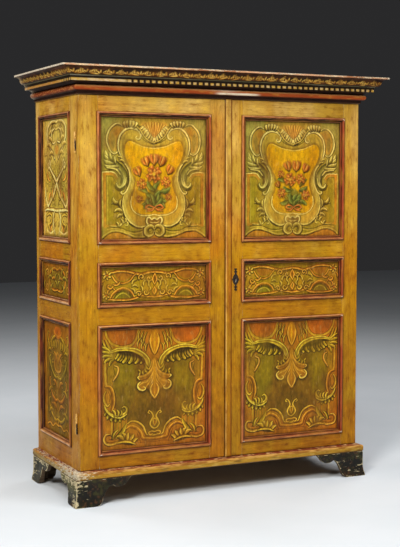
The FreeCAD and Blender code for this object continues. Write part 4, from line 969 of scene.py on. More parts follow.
def cornice_piece(which):
    front = which == "front"
    deep = 170 if front else 144
    sec, zone = soften(*run_profile(cornice_spec(deep), [x * 1 for x in CORN_STEP]), 0.55)
    # outward direction of the outline at each point, to lift the painted relief
    tang = np.roll(sec, -1, 0) - np.roll(sec, 1, 0)
    nrm = np.column_stack([-tang[:, 1], tang[:, 0]])
    nrm /= np.linalg.norm(nrm, axis=1, keepdims=True)
    if (nrm * (sec - sec.mean(0))).sum() < 0:
        nrm = -nrm
    step = 3.0
    sg = -1 if which == "left" else 1
    length = 1836.0 if front else 768.0
    st = np.linspace(0, 1, int(length / step) + 1)
    seed = {"front": 21, "left": 22, "right": 23}[which]
    cols, wears, bares = [], [], []

    def at(t, s2):
        u, w = s2[:, 0], s2[:, 1]
        if front:
            half = 918 - np.minimum(u, 144)
            x = (2 * np.clip(t, 0.00012, 0.99988) - 1) * half
            s = x + 918
        else:
            s = u + np.clip(t, 0.0003, 1.0) * (length - u)
        col, wear, bare, lift = cornice_paint(s2, zone, s, length, seed, front)
        cols.append(col), wears.append(wear), bares.append(bare)
        q = np.column_stack([s, u, w])
        vis = (zone >= 6) | (zone == 0)
        chip = 1.8 * smooth(noise(q, (16, 8, 8), seed + 40, 2), 0.70, 0.88) * vis
        wob = 0.5 * noise(q, (260, 60, 60), seed + 41, 2) * vis
        d = -(chip + wob) + lift * vis - 0.1
        d = np.where(vis, d, 0)
        u2 = u + nrm[:, 0] * d
        w2 = w + nrm[:, 1] * d
        sag = -0.8 * noise(np.column_stack([s, s * 0, s * 0]), 500, seed + 42)
        w2 = np.where(w > 100, w2 + sag * (w - 100) / 34.0, w2)
        u2, w2 = np.clip(u2, 0.0, None), np.clip(w2, 0.0, 134.0)
        if front:
            return np.column_stack([x, -384 + u2, 2022 + w2])
        return np.column_stack([sg * (918 - u2), -384 + s, 2022 + w2])

    pts, faces = sweep(sec, st, at)
    node = "cornice_" + which
    part = outward(Part(pts, faces, paint=np.concatenate(cols), wear=np.concatenate(wears), bare=np.concatenate(bares)))
    make(node + "_paint", part, "case", [node], CORNICE_X if front else CORNICE_Y, sharp=38)


CORNICE_X = paint_material("cornice_paint_front", 0, streak=0.22, gesso=(0.66, 0.53, 0.38), chip=0.62, chip_size=3.6, dirt=0.4, fine=0.15,
                           rough=(0.44, 0.64), relief=0.0003, spec=0.14)
CORNICE_Y = paint_material("cornice_paint_sides", 1, streak=0.22, gesso=(0.70, 0.60, 0.46), chip=0.62, chip_size=3.6, dirt=0.4, fine=0.15,
                           rough=(0.44, 0.64), relief=0.0003, spec=0.14)
for _w in ("front", "left", "right"):
    cornice_piece(_w)


# ---------------------------------------------------------------- base moulding
def base_spec(deep):
    return [(3, 0), (deep, 0), (deep, 38), (31, 38), (10, 34), ("arc", (2.5, 30.5), (0, 24)), (0, 4)]


def base_piece(which):
    front = which == "front"
    deep = 64.5 if front else 32.0
    spec = base_spec(deep)
    if not front:
        spec[3] = (31, 38)
    sec, zone = soften(*run_profile(spec, [2, 10, 10, 6, 2.6, 1.8, 2.6]), 0.5)
    tang = np.roll(sec, -1, 0) - np.roll(sec, 1, 0)
    nrm = np.column_stack([-tang[:, 1], tang[:, 0]])
    nrm /= np.linalg.norm(nrm, axis=1, keepdims=True)
    if (nrm * (sec - sec.mean(0))).sum() < 0:
        nrm = -nrm
    length = 1664.0 if front else 682.0
    step = 3.2
    st = np.linspace(0, 1, int(length / step) + 1)
    seed = {"front": 61, "left": 62, "right": 63}[which]
    sg = -1 if which == "left" else 1
    cols, wears, bares = [], [], []

    def at(t, s2):
        u, w = s2[:, 0], s2[:, 1]
        if front:
            x = (2 * np.clip(t, 0.00012, 0.99988) - 1) * (832 - np.minimum(u, 32))
            s = x + 832
        else:
            s = u + np.clip(t, 0.0003, 1.0) * (length - u)
        q = np.column_stack([s, u * 1.4, w * 1.4])
        n1, n2, n3 = noise(q, (170, 30, 30), seed, 3), noise(q, (36, 12, 12), seed + 1, 3), noise(q, (12, 6, 6), seed + 2, 2)
        vis = (zone >= 4) | (zone == 0)
        yellow = blendc(blendc(lin(200, 154, 44), lin(160, 112, 24), n1), lin(216, 184, 100), 0.6 * smooth(n2, 0.52, 0.76))
        if not front:
            yellow = blendc(yellow, lin(168, 150, 92), 0.7)
        yellow = blendc(yellow, lin(92, 62, 20), 0.7 * smooth(noise(q, (70, 14, 14), seed + 6, 3), 0.54, 0.78))
        red = blendc(blendc(lin(150, 62, 32), lin(96, 40, 22), n1), lin(232, 192, 132), 0.90 * smooth(noise(q, (22, 7, 7), seed + 7, 3), 0.54, 0.66))
        nose = blendc(lin(206, 156, 76), lin(160, 104, 32), smooth(n2, 0.35, 0.65))
        col = np.where((zone >= 6)[:, None], yellow, nose)
        col = np.where(((zone == 3) | (zone == 4))[:, None], red, col)
        low = np.exp(-(w - 0) / 2.5) * (zone >= 6)
        col = blendc(col, lin(60, 44, 26), 0.7 * low)
        col = blendc(col, lin(56, 38, 26), np.where(zone == 0, 0.8, 0))
        # towards the front left corner, and along the left side, the paint is mostly gone
        if front:
            bad = np.exp(-s / 110.0) * 0.60 + 0.20 * np.exp(-(length - s) / 60.0) + 0.22 * np.exp(-((s - 60) / 260.0) ** 2) * n1
        elif which == "left":
            bad = 0.40 * np.exp(-s / 240.0) + 0.34
        else:
            bad = 0.30 * np.exp(-s / 90.0) + 0.10
        wear = np.where(zone == 4, 0.14 + 0.26 * n2, 0.05 + 0.20 * n2) + bad * np.where(zone <= 4, 0.25 + 0.75 * n3, 0.50 + 0.75 * n3)
        wear += 0.16 * np.exp(-np.abs(w - 34) / 2.2) * n2
        back = zone == 1
        col = np.where((zone == 2)[:, None], lin(34, 20, 10), col)
        cols.append(col)
        wears.append(np.clip(np.where(vis | (zone == 3), wear, 0), 0, 1))
        bares.append(np.where(back, 1.0, 0.0))
        chip = (2.2 * smooth(noise(q, (18, 9, 9), seed + 40, 2), 0.64, 0.84) * (0.5 + 1.6 * bad) + 0.5 * noise(q, (200, 60, 60), seed + 41, 2)) * vis
        u2 = np.clip(u - nrm[:, 0] * chip, 0, None)
        w2 = np.clip(w - nrm[:, 1] * chip, 0, 38)
        if front:
            return np.column_stack([x, -298 + u2, 134 + w2])
        return np.column_stack([sg * (832 - u2), -298 + s, 134 + w2])

    pts, faces = sweep(sec, st, at)
    node = "base_moulding_" + which
    part = outward(Part(pts, faces, paint=np.concatenate(cols), wear=np.concatenate(wears), bare=np.concatenate(bares)))
    make(node + "_paint", part, "case", [node], BASE_X if front else BASE_Y, sharp=38)


BASE_X = paint_material("base_paint_front", 0, streak=0.3, gesso=(0.66, 0.53, 0.34), chip=0.60, chip_size=8.0, dirt=0.45, fine=0.2,
                        rough=(0.45, 0.68), relief=0.0005)
BASE_Y = paint_material("base_paint_sides", 1, streak=0.3, gesso=(0.62, 0.53, 0.38), chip=0.60, chip_size=9.0, dirt=0.5, fine=0.2,
                        rough=(0.45, 0.68), relief=0.0005)
for _w in ("front", "left", "right"):
    base_piece(_w)


# ---------------------------------------------------------------- feet
def read_points(me):
    co = np.zeros(len(me.vertices) * 3, np.float32)
    me.vertices.foreach_get("co", co)
    return co.reshape(-1, 3).astype(float) * 1000


def read_normals(me):
    no = np.zeros(len(me.vertices) * 3, np.float32)
    me.vertices.foreach_get("normal", no)
    return no.reshape(-1, 3).astype(float)


def neighbour_mean(me, values):
    e = np.zeros(len(me.edges) * 2, np.int32)
    me.edges.foreach_get("vertices", e)
    e = e.reshape(-1, 2)
    total = np.zeros((len(values), values.shape[1]))
    count = np.zeros(len(values))
    for a, b in ((0, 1), (1, 0)):
        for c in range(values.shape[1]):
            total[:, c] += np.bincount(e[:, a], values[e[:, b], c], len(values))
        count += np.bincount(e[:, a], minlength=len(values))
    return total / np.maximum(count, 1)[:, None]


def remeshed(node, voxel, rounds):
    """A copy of a CAD node as one even skin, smoothed so that its arrises are worn round."""
    me = NODES[node].data.copy()
    tmp = bpy.data.objects.new("tmp", me)
    bpy.context.scene.collection.objects.link(tmp)
    mod = tmp.modifiers.new("skin", "REMESH")
    mod.mode, mod.voxel_size, mod.adaptivity = "VOXEL", voxel / 1000, 0.0
    bpy.context.view_layer.update()
    new = bpy.data.meshes.new_from_object(tmp.evaluated_get(bpy.context.evaluated_depsgraph_get()))
    bpy.data.objects.remove(tmp)
    bpy.data.meshes.remove(me)
    pts = read_points(new)
    for _ in range(rounds):
        pts = pts * 0.45 + neighbour_mean(new, pts) * 0.55
    new.vertices.foreach_set("co", (pts / 1000).astype(np.float32).ravel())
    new.update()
    return new


def foot(node, seed):
    lo, hi = mm_box(node)
    me = remeshed(node, 2.4, 5)
    me.materials.clear()
    pts, nrm = read_points(me), read_normals(me)
    mean = neighbour_mean(me, pts)
    for _ in range(3):
        mean = neighbour_mean(me, mean)
    sharp = smooth(((pts - mean) * nrm).sum(1), 0.20, 1.0)
    # chips out of the arrises, and the rough surface under thick old paint
    chips = smooth(noise(pts, 15, seed, 3), 0.52, 0.72)
    rough = noise(pts, (26, 26, 26), seed + 1, 3)
    front, left = "front" in node, "left" in node
    sx = -1 if left else 1
    outx = smooth(nrm[:, 0] * sx, 0.3, 0.7)
    outy = smooth(-nrm[:, 1] if front else nrm[:, 1], 0.3, 0.7)
    outer = np.maximum(outx * smooth(np.abs(pts[:, 0]), 805, 822), outy * (smooth(-pts[:, 1], 268, 285) if front else 0))
    pts = pts - nrm * (sharp * chips * 1.9 + rough * 0.7 + 0.1)[:, None]
    pts = np.clip(pts, lo, hi)
    flat = pts[:, 2] < 1.2
    pts[flat, 2] = 0.0
    me.vertices.foreach_set("co", (pts / 1000).astype(np.float32).ravel())
    me.update()
    n1, n2 = noise(pts, 60, seed + 2, 3), noise(pts, 13, seed + 3, 3)
    col = blendc(lin(22, 20, 14), lin(36, 30, 18), smooth(n1, 0.35, 0.7))
    col = blendc(col, lin(70, 70, 26), 0.50 * smooth(noise(pts, 20, seed + 5, 3), 0.56, 0.74))
    col = blendc(col, lin(92, 60, 34), 0.60 * smooth(n2, 0.56, 0.74))
    inner = blendc(lin(42, 30, 20), lin(24, 18, 12), n1)
    col = blendc(inner, col, np.maximum(outer, 0.15))
    corner = np.exp(-(np.abs(pts[:, 0] - sx * 838) + np.abs(pts[:, 1] - (-304 if front else 384))) / 26.0)
    edge = smooth(sharp, 0.05, 0.6)
    broken = smooth(noise(pts, 26, seed + 7, 3), 0.46, 0.66)
    wear = edge * (0.16 + 0.34 * n2 + 0.34 * broken) + 0.50 * corner * outer + 0.14 * outer + 0.20 * smooth(noise(pts, 34, seed + 6, 3), 0.48, 0.72) * outer
    scratch = smooth(noise(pts, (46, 46, 5), seed + 8, 3), 0.58, 0.70)
    wear += (0.30 if left else 0.46) * scratch * outer
    if left and front:
        side = outx * smooth(np.abs(pts[:, 0]), 815, 828)
        wear += side * (0.04 + 0.26 * n1 + 0.26 * smooth(pts[:, 2], 66, 116))
        col = blendc(col, lin(112, 110, 50), 0.55 * side * smooth(pts[:, 2], 40, 110))
        wear += 0.20 * outy * np.exp(-np.abs(pts[:, 0] + 838) / 34.0)
    if left and not front:
        side = outx * smooth(np.abs(pts[:, 0]), 815, 828)
        wear += side * (0.04 + 0.22 * smooth(pts[:, 2], 40, 90))
        col = blendc(col, lin(70, 70, 44), 0.35 * side)
    give(me, {"paint": col, "wear": np.clip(wear, 0, 1) * np.maximum(outer, 0.35 * sharp), "bare": np.clip(0.85 - outer, 0, 1) * 0.25})
    me.polygons.foreach_set("use_smooth", np.ones(len(me.polygons), bool))
    me.update()
    obj = bpy.data.objects.new(node + "_paint", me)
    bpy.context.scene.collection.objects.link(obj)
    me.materials.append(FOOT)
    settle(obj, "case", [node])


FOOT = paint_material("foot_paint", 0, streak=0.15, gesso=(0.58, 0.48, 0.28), chip=0.60, chip_size=11.0, dirt=0.3, fine=0.2,
                      rough=(0.42, 0.70), relief=0.0007, spec=0.26)
for _i, _n in enumerate(("foot_front_left", "foot_front_right", "foot_rear_left", "foot_rear_right")):
    foot(_n, 900 + 10 * _i)


# ---------------------------------------------------------------- inside: boards, shelves, cleats, back
def plank_tint(seed, base=(0.5, 0.5, 0.5), vary=0.22):
    rs = np.random.RandomState(seed)
    k = np.array(base) * (1 + vary * (rs.rand() - 0.5) * 2) * (1 + 0.10 * (rs.rand(3) - 0.5))

    def look(p):
        return k * (0.86 + 0.28 * noise(p, (400, 400, 400), seed, 2))[:, None]

    return look


def planks(node, axis, count, seed, mat, long_axis, base=(0.5, 0.5, 0.5), gap=0.8, r=1.2, worn=0.8, vary=0.22):
    """A board of several planks side by side along axis."""
    lo, hi = mm_box(node)
    rs = np.random.RandomState(seed)
    cut = np.linspace(lo[axis], hi[axis], count + 1)
    if node != "back_boards":
        cut[1:-1] += (rs.rand(count - 1) - 0.5) * 40
    parts = []
    for i in range(count):
        a, b = lo.copy(), hi.copy()
        a[axis], b[axis] = cut[i] + (gap / 2 if i else 0), cut[i + 1] - (gap / 2 if i < count - 1 else 0)
        parts.append(board(a, b, plank_tint(seed + i, base, vary), r=r, cell=40, seed=seed + 5 * i, wav=0.5, worn=worn, painted=(), grain=long_axis))
    return make(node + "_wood", parts, "case", [node], mat)


top = planks("top_board", 1, 3, 1001, BARE_X, 0)
floor_board = planks("bottom_board", 1, 3, 1011, BARE_X, 0)
cut_out(top, [prism([(-45.6, -231.1), (-34.4, -231.1), (-34.4, -221.9), (-45.6, -221.9)], 1990, 2030, 2)])
cut_out(floor_board, [prism([(-45.6, -231.1), (-34.4, -231.1), (-34.4, -221.9), (-45.6, -221.9)], 150, 190, 2)])
planks("back_boards", 0, 6, 1021, BARE_Z, 2, gap=1.0, r=0.9)
for _i, _n in enumerate(("lower_shelf", "middle_shelf", "upper_shelf")):
    planks(_n, 1, 3, 1031 + 10 * _i, BARE_X, 0, base=(0.55, 0.54, 0.52), gap=0.5)
_cleats = []
for _sx in (-1, 1):
    for _i, _z in enumerate((640, 1140, 1600)):
        _a, _b = sorted((_sx * 754, _sx * 774))
        _cleats.append(board((_a, -170, _z - 30), (_b, 368, _z), plank_tint(1071 + _i + _sx, (0.46, 0.45, 0.44)), r=1.6, cell=30,
                             seed=1081 + _i + _sx, wav=0.5, painted=(), grain=1))
make("shelf_cleats_wood", _cleats, "case", ["shelf_cleats"], BARE_Y)


# ---------------------------------------------------------------- ironwork
def dome(centre, axis, sign, radius, height, seed=0, rings=4, sides=14):
    """A hand-forged nail or screw head standing on a surface at centre, facing along axis."""
    rs = np.random.RandomState(seed)
    prof = [(radius * math.cos(t) ** 0.8 if t < 1.57 else 0, height * math.sin(t)) for t in np.linspace(0, math.pi / 2, rings + 1)[:-1]]
    pts = []
    wob = 1 + 0.10 * (rs.rand(sides) - 0.5)
    for rr, hh in [(radius * 0.96, -0.6)] + prof:
        for k in range(sides):
            t = 2 * math.pi * k / sides
            pts.append((rr * wob[k] * math.cos(t), rr * wob[k] * math.sin(t), hh))
    pts.append((0, 0, height))
    pts.append((0, 0, -0.6))
    m = rings + 1
    quads, tris = [], []
    for i in range(m - 1):
        for k in range(sides):
            a, b = i * sides + k, i * sides + (k + 1) % sides
            quads.append((a, b, b + sides, a + sides))
    last, base = len(pts) - 2, len(pts) - 1
    for k in range(sides):
        tris.append(((m - 1) * sides + k, (m - 1) * sides + (k + 1) % sides, last))
        tris.append(((k + 1) % sides, k, base))
    p = np.array(pts)
    others = [i for i in range(3) if i != axis]
    out = np.zeros_like(p)
    out[:, others[0]], out[:, others[1]], out[:, axis] = p[:, 0], p[:, 1], p[:, 2] * sign
    out += np.array(centre, float)
    return outward(Part(out, [np.array(quads), np.array(tris)]))


def coated_iron(name):
    """Forged iron under old house paint, rubbed through where it is handled: "bare" says where there is none. On the
    hinge barrels bare iron is also set on the side by the door gap and low down, as painted shade.
    """
    g = Graph(name)
    big, small = g.noise(g.coord, 70.0, 4.0, 0.6), g.noise(g.coord, 420.0, 3.0, 0.6)
    iron = g.mix(g.span(big, 0.46, 0.70, 0.0, 0.5), (0.040, 0.034, 0.030), (0.105, 0.042, 0.016))
    coat = g.mix(g.span(g.noise(g.coord, 160.0, 3.0), 0.35, 0.7), lin(226, 182, 98), lin(186, 128, 40))
    coat = g.mix(g.span(small, 0.45, 0.75, 0.0, 0.35), coat, (0.45, 0.32, 0.20), "MULTIPLY")
    m = g.math("ADD", g.attr("bare"), g.math("MULTIPLY", g.math("SUBTRACT", g.noise(g.coord, 130.0, 4.0, 0.65), 0.5), 1.3))
    off = g.span(m, 0.44, 0.52)
    h = g.math("SUBTRACT", g.math("MULTIPLY", big, 0.6), g.math("MULTIPLY", off, 0.8))
    return g.set(color=g.mix(off, coat, iron), metal=g.math("MULTIPLY", off, 0.7), rough=g.span(small, 0.3, 0.7, 0.45, 0.66), normal=g.bump(h, 0.0004, 0.7))


def ironwork(node, body, mat, bevel=0.35, hammer=0.12, seed=0, suffix="_iron"):
    """A CAD iron part with its arrises eased and a forged surface."""
    me = NODES[node].data.copy()
    bm = bmesh.new()
    bm.from_mesh(me)
    bmesh.ops.remove_doubles(bm, verts=bm.verts, dist=1e-6)
    bmesh.ops.dissolve_limit(bm, angle_limit=math.radians(1.5), verts=bm.verts, edges=bm.edges)
    bm.to_mesh(me)
    bm.free()
    me.materials.clear()
    obj = bpy.data.objects.new(node + suffix, me)
    bpy.context.scene.collection.objects.link(obj)
    mod = obj.modifiers.new("ease", "BEVEL")
    mod.width, mod.segments, mod.limit_method, mod.angle_limit = bevel / 1000, 2, "ANGLE", math.radians(35)
    mod.use_clamp_overlap = True
    bpy.context.view_layer.update()
    new = bpy.data.meshes.new_from_object(obj.evaluated_get(bpy.context.evaluated_depsgraph_get()))
    obj.modifiers.clear()
    obj.data = new
    bpy.data.meshes.remove(me)
    lo, hi = mm_box(node)
    bm = bmesh.new()
    bm.from_mesh(new)
    long = [e for e in bm.edges if e.calc_length() > 0.012]
    if long and len(bm.edges) < 6000:
        bmesh.ops.triangulate(bm, faces=[f for f in bm.faces if len(f.verts) > 4])
        for _ in range(3):
            long = [e for e in bm.edges if e.calc_length() > 0.010]
            if not long or len(bm.edges) > 9000:
                break
            bmesh.ops.subdivide_edges(bm, edges=long, cuts=1, use_grid_fill=True)
    bm.to_mesh(new)
    bm.free()
    new.update()
    pts, nrm = read_points(new), read_normals(new)
    pts = pts - nrm * (hammer * noise(pts, 7, seed, 2))[:, None]
    pts = np.clip(pts, lo, hi)
    new.vertices.foreach_set("co", (pts / 1000).astype(np.float32).ravel())
    new.polygons.foreach_set("use_smooth", np.ones(len(new.polygons), bool))
    new.update()
    new.set_sharp_from_angle(angle=math.radians(45))
    new.materials.append(mat)
    if mat is IRON_COATED:
        # on the hinge barrels the iron is set bare on the -Y side by the door gap and on the lower part: rubbed iron
        # and painted shade together
        out = np.abs(pts[:, 0]) > 800.6
        drop = smooth(-np.mod(pts[:, 2] - 354.0, 1389.3), -78, -30)
        give(new, {"bare": np.where(out, 0.04 + 0.70 * smooth(-pts[:, 1], 236.0, 238.5) * (0.25 + 0.75 * drop) + 0.10 * noise(pts, 30, seed, 2), 1.0)})
    settle(obj, body, [node])
    return obj


IRON_COATED = coated_iron("painted_iron")
ironwork("hinge_case_leaves", "case", IRON_COATED, 0.25, 0.08, 1)
ironwork("hinge_pins", "case", IRON_COATED, 0.25, 0.03, 2)
ironwork("left_door_hinge_leaves", "left_door", IRON_COATED, 0.25, 0.08, 3)
ironwork("right_door_hinge_leaves", "right_door", IRON_COATED, 0.25, 0.08, 4)
ironwork("escutcheon", "right_door", IRON, 0.35, 0.10, 5)
ironwork("lock_case", "right_door", IRON, 0.6, 0.25, 6)
ironwork("lock_bolt", "locking_bolt", IRON_RUBBED, 0.5, 0.08, 7)
ironwork("lock_keep", "left_door", IRON, 0.6, 0.2, 8)
ironwork("slide_bolt_guides", "left_door", IRON, 0.4, 0.12, 9)


def nail_heads(name, body, spots, sign, radius, height):
    make(name, [dome(c, 1, sign, radius, height, 7 * i) for i, c in enumerate(spots)], body, [], IRON, sharp=50)


nail_heads("lock_case_nails", "right_door", [(x, -212.0, z) for x in (6.0, 80.0) for z in (1063.0, 1131.0)], 1, 3.4, 1.3)
nail_heads("lock_keep_nails", "left_door", [(-17.0, -212.0, 1104.5), (-17.0, -212.0, 1137.5)], 1, 2.2, 0.9)
nail_heads("bolt_guide_nails", "left_door", [(x, -220.0, z + 8.0) for x in (-52.0, -28.0) for z in (1960.0, 1846.0, 320.0, 206.0)], 1, 2.4, 1.0)
ironwork("upper_slide_bolt", "upper_bolt", IRON_RUBBED, 0.5, 0.10, 10)
ironwork("lower_slide_bolt", "lower_bolt", IRON_RUBBED, 0.5, 0.10, 11)

# ---------------------------------------------------------------- cover strip on the right door
_sec, _zone = soften(*run_profile([(0, 0), (38, 0), (38, 3), ("arc", (32.5, 7.2), (24, 8.8)), (14, 8.8), ("arc", (5.5, 7.2), (0, 3))], 1.6), 0.4)


def _strip(t, s2):
    z = 175 + t * 1844
    q = np.column_stack([s2[:, 0], s2[:, 1], np.full(len(s2), z)])
    d = 0.35 * noise(q, (30, 30, 260), 71, 2) * smooth(s2[:, 1], 1, 4)
    return np.column_stack([-3.5 + s2[:, 0], -266 - np.clip(s2[:, 1] - d, 0, 9), np.full(len(s2), z)])


_st = np.linspace(0, 1, 200)
_pts, _faces = sweep(_sec, _st, _strip)
_u, _v = np.tile(_sec[:, 0], len(_st)), np.tile(_sec[:, 1], len(_st))
_col = ochre(77)(_pts)
_n = noise(_pts, (20, 20, 240), 78, 3)
_mid = np.exp(-((_pts[:, 2] - 1180) / 420.0) ** 2)
_col = blendc(_col, lin(168, 92, 26), 0.75 * _mid * smooth(_n, 0.30, 0.65))
# painted light on the cover strip: a cream painted highlight on its left rounded edge, a dark line of painted shade in
# the gap at its left, and reddish-brown painted shade on its right edge
_col = blendc(_col, lin(232, 190, 104), 0.75 * np.exp(-((_u - 4.5) / 2.4) ** 2) * smooth(noise(_pts, (20, 20, 120), 79, 3), 0.25, 0.55))
_col = blendc(_col, lin(96, 46, 12), 0.85 * np.exp(-((_u - 0.4) / 1.6) ** 2))
_col = blendc(_col, lin(136, 62, 20), 0.85 * np.exp(-((_u - 33.5) / 4.2) ** 2) * smooth(noise(_pts, (20, 20, 200), 80, 3), 0.15, 0.45))
_wear = 0.34 * smooth(_v, 7.5, 8.8) * _n + 0.25 * np.exp(-np.minimum(_pts[:, 2] - 175, 2019 - _pts[:, 2]) / 12.0)
make("astragal_paint", outward(Part(_pts, _faces, paint=_col, wear=_wear, bare=np.where(_v < 0.2, 1.0, 0.0))), "right_door", ["astragal"],
     OCHRE_Z)

# ================================================================ painted panels
# The ornament is drawn as a painter would: grounds first, then bands, scrolls, leaves and lights, each a brush stroke
# along a curve. One half is drawn, and the other mirrors it with the small drift of a free hand.
def curve(points, widths=None, gap=2.4):
    """A smooth curve through points (Catmull-Rom), cut every gap mm. Returns points and widths along it."""
    p = np.asarray(points, float)
    w = np.ones(len(p)) if widths is None else np.interp(np.linspace(0, 1, len(p)), np.linspace(0, 1, len(widths)), widths)
    if len(p) < 3:
        n = max(2, int(np.linalg.norm(p[-1] - p[0]) / gap))
        t = np.linspace(0, 1, n + 1)[:, None]
        return p[0] * (1 - t) + p[-1] * t, np.interp(t[:, 0], [0, 1], [w[0], w[-1]])
    q = np.vstack([2 * p[0] - p[1], p, 2 * p[-1] - p[-2]])
    out, ow = [p[0]], [w[0]]
    for i in range(1, len(q) - 2):
        a, b, c, d = q[i - 1], q[i], q[i + 1], q[i + 2]
        n = max(2, int(np.linalg.norm(c - b) / gap + 0.5))
        for k in range(1, n + 1):
            t = k / n
            out.append(0.5 * (2 * b + (c - a) * t + (2 * a - 5 * b + 4 * c - d) * t * t + (3 * b - a - 3 * c + d) * t ** 3))
            ow.append(w[i - 1] * (1 - t) + w[i] * t)
    return np.array(out), np.array(ow)


def spiral(cx, cy, r0, r1, a0, a1, n=12):
    """Points of a spiral: radius r0 to r1 and angle a0 to a1 in degrees."""
    t = np.linspace(0, 1, n)
    r = r0 + (r1 - r0) * t
    a = np.radians(a0 + (a1 - a0) * t)
    return [(cx + rr * math.cos(x), cy + rr * math.sin(x)) for rr, x in zip(r, a)]


class Sheet:
    """A drawing in mm: x from x0 to x1, y from 0 to height, px mm per pixel."""

    def __init__(self, x0, x1, height, color, px=1.0, seed=0):
        self.x0, self.px, self.seed = x0, px, seed
        self.low, self.glaze = None, (1.0, 1.0, 1.0)
        self.w, self.h = int(round((x1 - x0) / px)) + 1, int(round(height / px)) + 1
        self.rgb = np.tile(np.asarray(color, float), (self.h, self.w, 1))
        self.lift = np.zeros((self.h, self.w))
        gy, gx = np.mgrid[0:self.h, 0:self.w]
        q = np.column_stack([gx.ravel() * px, gy.ravel() * px])
        self.hand = noise(q, (9, 16), seed + 1, 2).reshape(self.h, self.w)
        self.cloud = noise(q, (90, 120), seed + 2, 3).reshape(self.h, self.w)

    def window(self, lo, hi, pad):
        a = max(0, int((lo[0] - pad - self.x0) / self.px))
        b = min(self.w, int((hi[0] + pad - self.x0) / self.px) + 2)
        c = max(0, int((lo[1] - pad) / self.px))
        d = min(self.h, int((hi[1] + pad) / self.px) + 2)
        return a, b, c, d

    def field(self, pts, wid, pad):
        """Over a window: how far inside the stroke each pixel is, where it lies across it (-1 to 1), and along it."""
        a, b, c, d = self.window(pts.min(0), pts.max(0), pad + wid.max() / 2)
        if b <= a or d <= c:
            return None
        F = np.full((d - c, b - a), -1e9)
        N = np.zeros_like(F)
        T = np.zeros_like(F)
        seg = np.linalg.norm(np.diff(pts, axis=0), axis=1)
        s = np.concatenate([[0], np.cumsum(seg)])
        total = max(s[-1], 1e-6)
        for i in range(len(pts) - 1):
            p, q = pts[i], pts[i + 1]
            reach = pad + max(wid[i], wid[i + 1]) / 2
            e, f, g, h = self.window(np.minimum(p, q), np.maximum(p, q), reach)
            if f <= e or h <= g:
                continue
            X = (np.arange(e, f) * self.px + self.x0)[None, :]
            Y = (np.arange(g, h) * self.px)[:, None]
            dx, dy = q - p
            L2 = dx * dx + dy * dy + 1e-9
            t = np.clip(((X - p[0]) * dx + (Y - p[1]) * dy) / L2, 0, 1)
            rx, ry = X - p[0] - t * dx, Y - p[1] - t * dy
            dist = np.sqrt(rx * rx + ry * ry)
            w = wid[i] * (1 - t) + wid[i + 1] * t
            v = w / 2 - dist
            sub = (slice(g - c, h - c), slice(e - a, f - a))
            better = v > F[sub]
            side = np.sign(dx * ry - dy * rx)
            F[sub] = np.where(better, v, F[sub])
            N[sub] = np.where(better, side * dist / np.maximum(w / 2, 0.3), N[sub])
            T[sub] = np.where(better, (s[i] + t * seg[i]) / total, T[sub])
        return (slice(c, d), slice(a, b)), F, N, T

    def lay(self, win, cov, color, lift=0.0, dry=0.25):
        if dry:
            cov = cov * (1 - dry + dry * smooth(self.hand[win], 0.25, 0.6))
        c = cov[..., None]
        self.rgb[win] = self.rgb[win] * (1 - c) + np.asarray(color) * c
        if lift:
            self.lift[win] = np.maximum(self.lift[win], cov * lift) if lift > 0 else self.lift[win] * (1 - cov) + cov * lift

    def line(self, points, width, color, alpha=1.0, soft=1.2, lift=0.12, dry=0.25, off=(0, 0)):
        widths = width if hasattr(width, "__len__") else [width]
        pts, wid = curve(np.asarray(points, float) + np.array(off, float), widths)
        got = self.field(pts, wid, soft)
        if got:
            win, F, N, T = got
            self.lay(win, alpha * smooth(F, -soft / 2, soft / 2), color, lift, dry)

    def band(self, points, width, tones, alpha=1.0, soft=1.2, lift=0.3, shadow=0.5, flip=False, dry=0.2, line=True, root=0.0, tip=0.0):
        """A modelled band: tones are (shade, body, light); the light runs along one edge, the shade along the other.
        root darkens its start and tip lightens its end."""
        shade, body, light = tones
        widths = width if hasattr(width, "__len__") else [width]
        pts, wid = curve(points, widths)
        if shadow:
            got = self.field(pts + np.array([1.0, -3.0]), wid + 4.0, 5.0)
            if got:
                win, F, N, T = got
                self.lay(win, min(1.0, shadow * 1.25) * smooth(F, -4.5, 3.0), DARK, 0, 0)
        got = self.field(pts, wid, soft)
        if not got:
            return
        win, F, N, T = got
        n = -N if flip else N
        n = n[..., None]
        c = np.asarray(body) * np.ones_like(n)
        t = smooth(-n, 0.05, 0.85)
        c = c * (1 - t) + np.asarray(shade) * t
        t = np.exp(-((n - 0.50) / 0.30) ** 2)
        c = c * (1 - t) + np.asarray(light) * t
        if tip:
            t = (tip * smooth(T, 0.45, 1.0))[..., None]
            c = c * (1 - t) + np.asarray(light) * t
        if root:
            t = (root * (1 - smooth(T, 0.0, 0.55)))[..., None]
            c = c * (1 - t) + DARK * t
        length = np.linalg.norm(np.diff(pts, axis=0), axis=1).sum()
        hair = noise(np.column_stack([(T * length).ravel(), (N * 6.0).ravel()]), (16, 1.6), self.seed + 9, 2).reshape(T.shape)
        c = c * (0.90 + 0.20 * hair)[..., None]
        if line:
            t = smooth(np.abs(n), 0.80, 1.0) * 0.8
            c = c * (1 - t) + DARK * t
        self.lay(win, alpha * smooth(F, -soft / 2, soft / 2), c, lift, dry)

